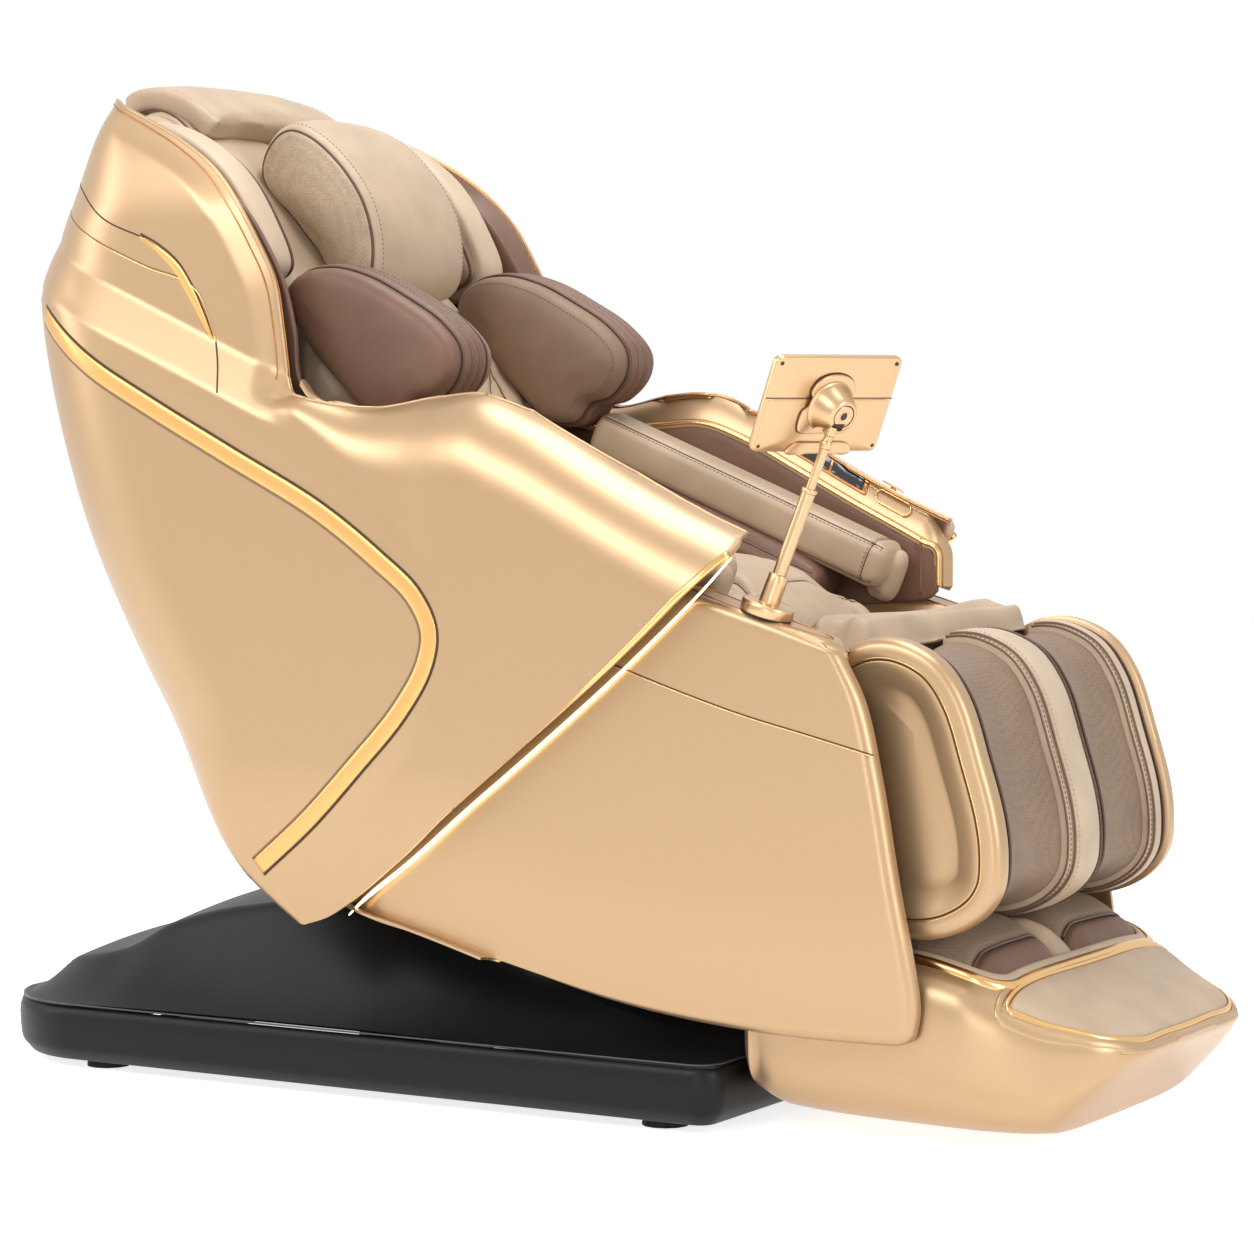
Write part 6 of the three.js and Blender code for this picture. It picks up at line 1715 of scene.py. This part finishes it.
def on_shoulder_slope(x, q):
    """The left arm's inner gold shoulder: q from 0 at its rim to 1 at its top."""
    low_ = np.interp(x, [60, 140, 200], [752, 711, 682]) if x > 60 else np.interp(x, [-20, 60],
            [792, 752])
    top = float(cap_top(x)) - 2.5
    bow = 3.0 * math.sin(math.pi * q)
    return 256.2 + 17.8 * q - bow * 0.4 - 1.4, low_ + (top - low_) * q + bow + 0.8


def make_ledge(label, side):
    """Leather between the ear liner's upper edge and the ear's polished rim."""
    up = curve(LINER_UP[9:], 90)
    edge = curve([(-330, 850)] + EAR_EDGE, 90)
    rows = []
    for q in np.linspace(0, 1, 8):
        x, z = up[:, 0] * (1 - q) + edge[:, 0] * q, up[:, 1] * (1 - q) + edge[:, 1] * q
        y = (liner_face(up[:, 0]) + 2) * (1 - q) + (shell_half(edge[:, 0], edge[:, 1])
                - 5.5) * q + 3 * math.sin(math.pi * q)
        rows.append(np.stack([x - 2, side * y, z - 2], 1))
    g = outwards(np.array(rows), side)
    o = skin(f"ear_ledge_{label}", g, 4.0, mauve, "back", slot="brown_leather", flat_angle=70)
    tube(f"ear_rim_{label}", [(x - 3, side * (float(shell_half(x, z)) - 7), z - 3.4) for x, z in edge],
         3.4, gold, "back", sides=10,
         slot="gold_metal")


both(make_liner)
both(make_rim)
both(make_ledge)

# ------------------------------------------------------------------ calf strips and knee cover
front_line = curve(CALF_FRONT, 130)
ft = np.gradient(front_line, axis=0)
inward = np.stack([-ft[:, 1], ft[:, 0]], 1)
inward /= np.linalg.norm(inward, axis=1, keepdims=True)
if ((np.array([460, 400]) - front_line) * inward).sum() < 0:
    inward = -inward
CALF_REAR = 404.0


def calf_strip(name, y0, y1, depth, material, slot_name, steps=17, rear=CALF_REAR):
    """A padded strip over the front of the calf rest, its face sunk by depth(share across)."""
    rows = []
    for s in 0.5 - 0.5 * np.cos(np.linspace(0, math.pi, steps)):
        edge = 5 * (1 - math.sqrt(max(0, 1 - (2 * s - 1) ** 8)))
        p = front_line + inward * (depth(s) + edge)
        p[:, 0] = np.maximum(p[:, 0], rear)
        ring = [(x, y0 + (y1 - y0) * s, z) for x, z in p]
        rows.append(ring)
    o = lofted(name, rows, material, "calf", slot=slot_name, flat_angle=80)
    return o


def calf_cord(name, y, depth, radius, material, slot_name):
    p = front_line + inward * depth
    keep = p[:, 0] > CALF_REAR
    tube(name, [(x, y, z) for x, z in p[keep]], radius, material, "calf", sides=8, slot=slot_name)


strips = [
    ("calf_gusset_0", -234, -213, lambda s: 9 + 2 * abs(2 * s - 1) ** 2, mauve, "brown_leather"),
    ("calf_pad_0", -212, -53, lambda s: 13 + 13 * math.sin(math.pi * s) ** 0.8, taupe_dots,
     "taupe_leather"),
    ("calf_roll_0", -53, -39, lambda s: 8, beige_light, "beige_leather"),
    ("calf_band_1", -39, 36, lambda s: 2.5 + 2.5 * abs(2 * s - 1) ** 2, beige_light, "beige_leather"),
    ("calf_gusset_1", 36, 55, lambda s: 10 + 2 * abs(2 * s - 1) ** 2, mauve, "brown_leather"),
    ("calf_pad_1", 56, 190, lambda s: 13 + 13 * math.sin(math.pi * s) ** 0.8, taupe_dots,
     "taupe_leather"),
    ("calf_roll_1", 190, 201, lambda s: 8, beige_light, "beige_leather"),
    ("calf_band_2", 201, 218, lambda s: 3.5, beige_light, "beige_leather"),
    ("calf_gusset_2", 218, 234, lambda s: 10, mauve, "brown_leather"),
]
for name, y0, y1, depth, material, slot_name in strips:
    calf_strip(name, y0, y1, depth, material, slot_name)
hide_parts("calf_cover")
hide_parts("calf_pad_right")
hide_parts("calf_pad_left")
for k, (y, depth, r, material, slot_name) in enumerate((
        (-213, 9, 2.2, piping, "brown_leather"), (-233, 6, 1.8, piping, "brown_leather"),
        (-53, 8.5, 1.5, thread_dark, "beige_leather"),
        (-39, 5.5, 1.5, thread_dark, "beige_leather"), (36, 5.5, 2.0, piping, "brown_leather"),
        (55.5, 10, 2.0, piping, "brown_leather"),
        (190, 9, 1.5, thread_dark, "beige_leather"), (201, 6, 1.4, thread_dark, "beige_leather"),
        (218, 6, 2.0, piping, "brown_leather"),
        (233, 8, 1.8, piping, "brown_leather"))):
    calf_cord(f"calf_cord_{k}", y, depth, r, material, slot_name)
for k, (y, depth) in enumerate(((-47, 7.3), (-32, 2.9), (29, 2.9), (195, 7.2), (-222, 8.6), (44, 9.8))):
    p = front_line + inward * depth
    p = p[p[:, 0] > CALF_REAR + 4]
    stitches(f"calf_stitch_{k}", [(x, y, z) for x, z in p], "calf", thread_dark if k != 1 else thread,
             slot="beige_leather")
lofted("calf_back_board", [[(x, y, z) for y, z in rounded(-230, 230, 262, 548, 20, 6)]
                           for x in (402, 404, 426, 430)], beige, "calf",
       slot="beige_leather", flat_angle=40)

FOLDS = [(66, 0.010, 9, 5, -5.0), (78, -0.035, -10, 6, 5.0), (92, 0.030, 12, 7, -6.5),
         (104, -0.02, -6, 5, 5.5), (118, 0.04, 10, 7, -6),
         (131, -0.025, -9, 6, 5), (146, 0.02, 8, 7, -6), (160, -0.02, 5, 6, 4)]
across_k = np.linspace(-1, 1, 130)
T, Q = np.meshgrid(np.linspace(0, 1, 160), across_k, indexing="ij")
A = 67 + T * (111 - 52 * smooth((50 - np.abs(Q) * 231) / 9))
Yk = Q * (231 + 15 * smooth((A - 108) / 12))
radius = 92 + 10 * smooth((A - 90) / 40) + 22 * smooth((A - 140) / 38)
for a0, slope, bend, width, height in FOLDS:
    where = a0 + slope * Yk + bend * np.cos(Yk / 231 * 2.4) - bend * 0.5
    radius = radius + 1.05 * height * np.exp(-(((A - where) / width) ** 2)) * (0.55 + 0.45
            * np.cos(Yk / 60 + a0))
radius = radius - 40 * smooth((np.abs(Q) - 0.84) / 0.16) ** 1.6 - 24 * (1 - smooth((A - 67) / 18))
Xk = 370 + radius * np.cos(np.radians(A))
Zk = 500 + radius * np.sin(np.radians(A))
g = np.stack([Xk, Yk, Zk], 2)
n = normals(g)
outward = ((g - np.array([370, 0, 500])) * n).sum(2).mean()
knee_o = skin("knee_cover_fabric", g, -4.0 if outward > 0 else 4.0, beige, "calf", slot="beige_leather")
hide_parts("knee_cover")


# ------------------------------------------------------------------ tablet, pole and arm keys
def solid_points(node):
    return np.array([v.co for v in frame["nodes"][node].data.vertices]) * 1000 - np.array([HIP, 0, 0])


case_points = solid_points("tablet_case")
case_mid = (case_points.max(0) + case_points.min(0)) / 2
YAW, TILT_BACK = math.radians(66.4), math.radians(25.5)
ACROSS = np.array([math.cos(YAW), math.sin(YAW), 0])
OUT = np.array([math.cos(TILT_BACK) * math.sin(YAW), -math.cos(TILT_BACK) * math.cos(YAW),
                -math.sin(TILT_BACK)])
UP = np.array([math.sin(TILT_BACK) * math.sin(YAW), -math.sin(TILT_BACK) * math.cos(YAW),
               math.cos(TILT_BACK)])


def on_tablet(u, v, w):
    """u across the tablet, v up it, w out of its back from the middle of the case."""
    return case_mid + ACROSS * u + UP * v + OUT * w


def rounded_slab(name, outline, w0, w1, edge, material, body, place, **kw):
    """A plate between two heights with a rounded edge, from a plan outline of (u, v)."""
    mid = outline.mean(0)
    radius = np.linalg.norm(outline - mid, axis=1, keepdims=True)
    rings = []
    for a in np.linspace(0, math.pi / 2, 5):
        rings.append((outline - (outline - mid) / radius * edge * (1 - math.sin(a)),
                      w0 + edge * (1 - math.cos(a))))
    for a in np.linspace(math.pi / 2, 0, 5):
        rings.append((outline - (outline - mid) / radius * edge * (1 - math.sin(a)),
                      w1 - edge * (1 - math.cos(a))))
    full = [[place(u, v, w) for u, v in line] for line, w in rings]
    flat = lambda line, s, w: [place(u, v, w) for u, v in mid + (line - mid) * s]
    full = [flat(rings[0][0], 0.5, w0)] + full + [flat(rings[-1][0], 0.5, w1)]
    return lofted(name, full, material, body, **kw)


box_line = rounded(-91, 91, -59, 59, 9, 8)
case_o = rounded_slab("tablet_case_skin", box_line, -4.5, 4.5, 2.6, metal, "tablet", on_tablet,
                      slot="gold_metal", flat_angle=40)
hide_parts("tablet_case")
back_w = 4.5


def on_plate(u, v, w):
    return on_tablet(u, v, back_w + w)


# raised lower half of the back, keyhole plate, stand and screws
low_line = rounded(-88.5, 88.5, -56.5, 6.5, 7, 8)
rounded_slab("tablet_lower_back", low_line, -0.6, 0.7, 0.5, metal, "tablet", on_plate, slot="gold_metal",
             flat_angle=40)
# painted shade: a dark cord stands in for the shadow in the seam across the back
tube("tablet_back_seam", [on_plate(u, 8.2, 0.1) for u in np.linspace(-91, 91, 20)], 0.7, seam_shade,
     "tablet", sides=6, slot="gold_metal")
keyhole = np.vstack([curve([(37, -27), (37, -8), (33, -3), (26, 4), (31, 18), (22, 33), (0, 39),
                            (-22, 33), (-31, 18), (-26, 4),
                            (-33, -3), (-37, -8), (-37, -27), (-33, -33), (0, -34), (33, -33)], 110,
                            closed=True)])
rounded_slab("tablet_mount_plate", keyhole, 0.2, 4.6, 1.6, metal, "tablet", on_plate, slot="gold_metal",
             flat_angle=40)
# painted shade: a dark cord stands in for the shadow in the gap round the keyhole plate
tube("tablet_plate_gap", [on_plate(u, v, 0.8) for u, v in keyhole * 1.012], 0.6, seam_shade, "tablet",
     sides=6, closed=True,
     slot="gold_metal")
stand = curve([(-44, -59), (-38, -50), (-30, -46.5), (0, -46), (40, -46.5), (48, -50), (50, -59),
               (0, -60)], 80, closed=True)
rounded_slab("tablet_stand", stand, 0.3, 3.2, 1.2, metal, "tablet", on_plate, slot="gold_metal",
             flat_angle=40)
# the screws are dark discs in the same painted shade as the seams
for k, (u, v) in enumerate(((-83, 51), (83, 51), (-83, -51), (83, -51))):
    rounded_slab(f"tablet_screw_{k}", rounded(u - 2.4, u + 2.4, v - 2.4, v + 2.4, 2.39, 4), 0, 1.0, 0.4,
                 seam_shade, "tablet", on_plate,
                 slot="gold_metal")


def turned_on(name, place, profile, material, body, sides=48, **kw):
    """A round piece from (height, radius) pairs, about the place's w axis."""
    rings = [[place(r * math.cos(a), r * math.sin(a), h) for a in np.linspace(0, 2 * math.pi, sides,
            endpoint=False)]
             for h, r in profile]
    return lofted(name, rings, material, body, **kw)


cone = [(4.0, 30.5), (5.2, 31.2), (6.4, 31.0), (7.0, 29.6), (8.2, 28.9), (9.5, 28.2), (12, 27.2),
        (20, 24.8), (30, 21.8), (38.2, 19.2),
        (40.0, 18.3), (41.0, 16.8), (41.2, 14.2), (40.6, 13.6), (40.6, 13.2), (41.4, 12.6), (41.6, 11.6),
        (41.6, 5.2), (40.9, 4.4),
        (39.6, 4.2)]
cone = [(4 + (h - 4) * 0.745, r) for h, r in cone]
cone_o = turned_on("tablet_knuckle", on_plate, cone, metal, "tablet", slot="gold_metal", flat_angle=40)
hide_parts("tablet_mount")
# painted shade: a dark ring stands in for the shadow in the groove round the knuckle
turned_on("tablet_knuckle_ring", on_plate, [(31.0, 14.4), (31.9, 14.0), (32.0, 13.2), (31.2, 13.0)],
          seam_shade, "tablet", slot="gold_metal")

POLE = np.array([81, 26, 236.0])
POLE /= np.linalg.norm(POLE)
SHELF_UP = np.array([math.sin(math.radians(17)), 0, math.cos(math.radians(17))])
outer_points = solid_points("tablet_pole_outer")
lowest = outer_points[np.argsort(outer_points @ POLE)[:20]].mean(0)
side_a = np.cross(POLE, [0, 1, 0])
side_a /= np.linalg.norm(side_a)
side_b = np.cross(POLE, side_a)


def on_pole(u, v, w):
    """w runs up the pole from the lower end of its outer tube."""
    return lowest + side_a * u + side_b * v + POLE * w


outer_o = turned_on("tablet_pole_outer_skin", on_pole, [(0, 7), (0, 8), (127, 8), (127.6, 9.0),
        (128.4, 9.3), (131.2, 9.3),
                    (132, 8.9), (132.2, 7.2), (131, 6.6)], metal, "tablet_pole_outer", slot="gold_metal",
                    flat_angle=40)
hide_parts("tablet_pole_outer")
inner_points = solid_points("tablet_pole_inner")
span = inner_points @ POLE - lowest @ POLE
w1 = span.max()
inner_o = turned_on("tablet_pole_inner_skin", on_pole, [(span.min(), 4), (span.min() + 1, 5.4),
        (w1 - 52, 5.4), (w1 - 51.5, 6.4),
                    (w1 - 50.5, 6.9), (w1 - 44, 6.9), (w1 - 43, 6.4), (w1 - 42.5, 5.6), (w1 - 41, 5.2),
                    (w1 - 37, 5.2), (w1 - 36, 6.4),
                    (w1 - 26, 6.4), (w1 - 25, 5.4), (w1 - 24, 4.6), (w1 - 10, 4.6), (w1 - 4, 6.4),
                    (w1, 3)], metal,
                    "tablet_pole_inner", slot="gold_metal", flat_angle=40)
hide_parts("tablet_pole_inner")
# slot in the knuckle for the pole's neck, over the whole tilt
ball = lowest + POLE * (w1 - 9)
wedge = bpy.data.meshes.new("neck_slot")
down = [math.cos(a) * -POLE + math.sin(a) * np.cross(ACROSS, -POLE)
        for a in np.radians((-43, -22, 0, 22, 43))]
flat = [ball] + [ball + d * 70 for d in down]
both_sides = [p + ACROSS * w for w in (-8.2, 8.2) for p in flat]
k = len(flat)
wedge.from_pydata(at(both_sides).tolist(), [], [tuple(range(k))[::-1], tuple(range(k, 2 * k))]
                  + [(i, (i + 1) % k, k + (i + 1) % k, k + i) for i in range(k)])
cut_by(cone_o, wedge)
hollow = bpy.data.meshes.new("ball_hollow")
bmc = bmesh.new()
bmesh.ops.create_uvsphere(bmc, u_segments=40, v_segments=24, radius=0.0096)
bmesh.ops.translate(bmc, vec=at([ball])[0], verts=bmc.verts)
bmc.to_mesh(hollow)
bmc.free()
cut_by(cone_o, hollow)
# two-step socket on its disc
disc_mid = np.array([297, -293, 603 - (297 - 286) * SHELF_SLOPE])
d_u = np.array([math.cos(math.radians(17)), 0, -math.sin(math.radians(17))])
on_disc = lambda u, v, w: disc_mid + d_u * u + np.array([0, 1, 0]) * v + SHELF_UP * w
disc_o = turned_on("tablet_disc", on_disc, [(0.3, 30), (0.3, 29.2), (1.6, 29.2), (1.8, 30.2), (2.6, 30.7),
                                            (11.6, 30.7), (13.6, 30.0),
                   (14.6, 28.6), (15, 26.5), (15, 3)], metal, "seat", sides=72, slot="gold_metal",
                   flat_angle=40)
# painted shade: a dark ring stands in for the shadow in the gap under the disc
turned_on("tablet_disc_gap", on_disc, [(-0.2, 28), (-0.2, 29.8), (1.2, 29.8), (1.2, 28)], seam_shade,
          "seat", sides=48, slot="gold_metal")
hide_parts("tablet_socket")
on_socket = lambda u, v, w: lowest + side_a * u + side_b * v + POLE * (w - 12)
turned_on("tablet_socket_skin", on_socket, [(0, 13.4), (6, 13.4), (6.6, 13.0), (7.2, 12.2), (30, 11.8),
                                            (40.4, 11.4), (41.4, 11.0),
          (42, 10.2), (42, 8.4), (34, 8.3)], metal, "seat", slot="gold_metal", flat_angle=40)

# left arm: key strip in two pieces with its frame, on the gold shoulder
def shoulder_piece(name, x0, x1, q0, q1, rise, material, **kw):
    line = rounded(x0, x1, q0 * 30, q1 * 30, 3, 6)
    line = resample(np.vstack([line, line[:1]]), 100, True)
    mid = line.mean(0)
    rows = []
    for s_, h in ((1.0, -3), (1.0, rise - 0.8), (0.99, rise - 0.2), (0.975, rise), (0.6, rise),
                  (0.02, rise)):
        ring = []
        for x, v in mid + (line - mid) * s_:
            y, z = on_shoulder_slope(x, v / 30)
            ring.append((x, y - 0.82 * h, z + 0.57 * h))
        rows.append(ring)
    return lofted(name, rows, material, "back", caps=False, flat_angle=40, **kw)


strip_o = shoulder_piece("key_strip_front", 22, 94, 0.36, 0.9, 2.0, glass_black, slot="black_glass")
shoulder_piece("key_strip_rear", 97, 142, 0.36, 0.9, 2.6, glass_black, slot="black_glass")
shoulder_piece("key_strip_frame", 17, 147, 0.28, 0.98, 0.9, copper, slot="gold_metal")
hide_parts("key_strip_left")
ring_line = rounded(160, 208, 9, 25, 7.9, 8)
tube("arm_key_ring", [(x, on_shoulder_slope(x, v / 30)[0] - 0.8, on_shoulder_slope(x, v / 30)[1] + 0.5)
                      for x, v in ring_line], 1.2, polished, "back",
     sides=8, closed=True, slot="accent")


# ------------------------------------------------------------------ CAD pieces shown as they are
KEEP = {"gold_shell": gold, "gold_metal": metal, "accent": polished, "black": black, "frame_steel": steel,
        "rubber": black_mat, "beige_leather": beige, "taupe_leather": taupe, "brown_leather": brown,
        "light": led, "black_glass": glass_black, "grey_plastic": grey}
SLOT_OF = {p["node"]: p["material_slot"] for p in frame["record"]["subparts"]}
for node, o in frame["nodes"].items():
    o.data.materials.clear()
    o.data.materials.append(KEEP[SLOT_OF[node]])


# ------------------------------------------------------------------ studio
def lamp(name, where, target, size, power, colour=(1, 1, 1)):
    data = bpy.data.lights.new(name, "AREA")
    data.shape = "RECTANGLE"
    data.size, data.size_y = size
    data.energy = power
    data.color = colour
    o = bpy.data.objects.new(name, data)
    bpy.context.scene.collection.objects.link(o)
    o.location = where
    o.rotation_euler = (Vector(target) - Vector(where)).to_track_quat("-Z", "Y").to_euler()
    return o


def seen_rays(tree):
    """1 for rays that show the background, which are those of the camera, of mirrors and through glass."""
    path = tree.nodes.new("ShaderNodeLightPath")
    total = path.outputs["Is Camera Ray"]
    for kind in ("Is Glossy Ray", "Is Transmission Ray"):
        more = tree.nodes.new("ShaderNodeMath")
        more.operation = "MAXIMUM"
        tree.links.new(total, more.inputs[0])
        tree.links.new(path.outputs[kind], more.inputs[1])
        total = more.outputs[0]
    return total


world = bpy.data.worlds.new("studio")
bpy.context.scene.world = world
world.use_nodes = True
nt = world.node_tree
bg = nt.nodes["Background"]
bg.inputs["Color"].default_value = (0.94, 0.95, 0.97, 1)
bg.inputs["Strength"].default_value = 0.3
white = nt.nodes.new("ShaderNodeBackground")
white.inputs["Color"].default_value = (1, 1, 1, 1)
white.inputs["Strength"].default_value = 1.0
mix = nt.nodes.new("ShaderNodeMixShader")
nt.links.new(seen_rays(nt), mix.inputs["Fac"])
nt.links.new(bg.outputs["Background"], mix.inputs[1])
nt.links.new(white.outputs["Background"], mix.inputs[2])
nt.links.new(mix.outputs["Shader"], nt.nodes["World Output"].inputs["Surface"])

lamp("key", (-1.0, -3.6, 3.3), (-0.2, 0, 0.7), (3.0, 1.5), 92)
lamp("front", (4.2, -0.9, 1.9), (0.3, 0, 0.5), (1.1, 2.6), 62)
lamp("rear_left", (-3.7, -2.0, 2.0), (-0.3, 0, 0.6), (1.0, 2.6), 38)
lamp("top", (0.3, 0.3, 3.5), (0, 0, 0.5), (2.4, 1.2), 62)
lamp("strip", (1.9, -4.4, 1.1), (0.1, 0, 0.6), (0.5, 2.4), 26)

floor = bpy.data.meshes.new("floor")
floor.from_pydata([(-9, -9, 0), (9, -9, 0), (9, 9, 0), (-9, 9, 0)], [], [(0, 1, 2, 3)])
floor_o = bpy.data.objects.new("floor", floor)
bpy.context.scene.collection.objects.link(floor_o)
fm = bpy.data.materials.new("floor_white")
fm.use_nodes = True
fm.node_tree.nodes["Principled BSDF"].inputs["Base Color"].default_value = (0.93, 0.93, 0.93, 1)
fm.node_tree.nodes["Principled BSDF"].inputs["Roughness"].default_value = 0.9
fm.node_tree.nodes["Principled BSDF"].inputs["Emission Color"].default_value = (1, 1, 1, 1)
lift_ = fm.node_tree.nodes.new("ShaderNodeMath")
lift_.operation = "MULTIPLY"
lift_.inputs[1].default_value = 0.8
fm.node_tree.links.new(seen_rays(fm.node_tree), lift_.inputs[0])
fm.node_tree.links.new(lift_.outputs[0], fm.node_tree.nodes["Principled BSDF"].inputs["Emission Strength"])
floor.materials.append(fm)

cam = bpy.data.cameras.new("camera")
cam.sensor_width = 36
cam.lens = 111.96
cam_o = bpy.data.objects.new("camera", cam)
bpy.context.scene.collection.objects.link(cam_o)
cam_o.location = (2.425, -4.18, 0.847)
cam_o.rotation_euler = (math.radians(86.6), 0, math.radians(30))
bpy.context.scene.camera = cam_o
bpy.context.scene.view_settings.view_transform = "Standard"
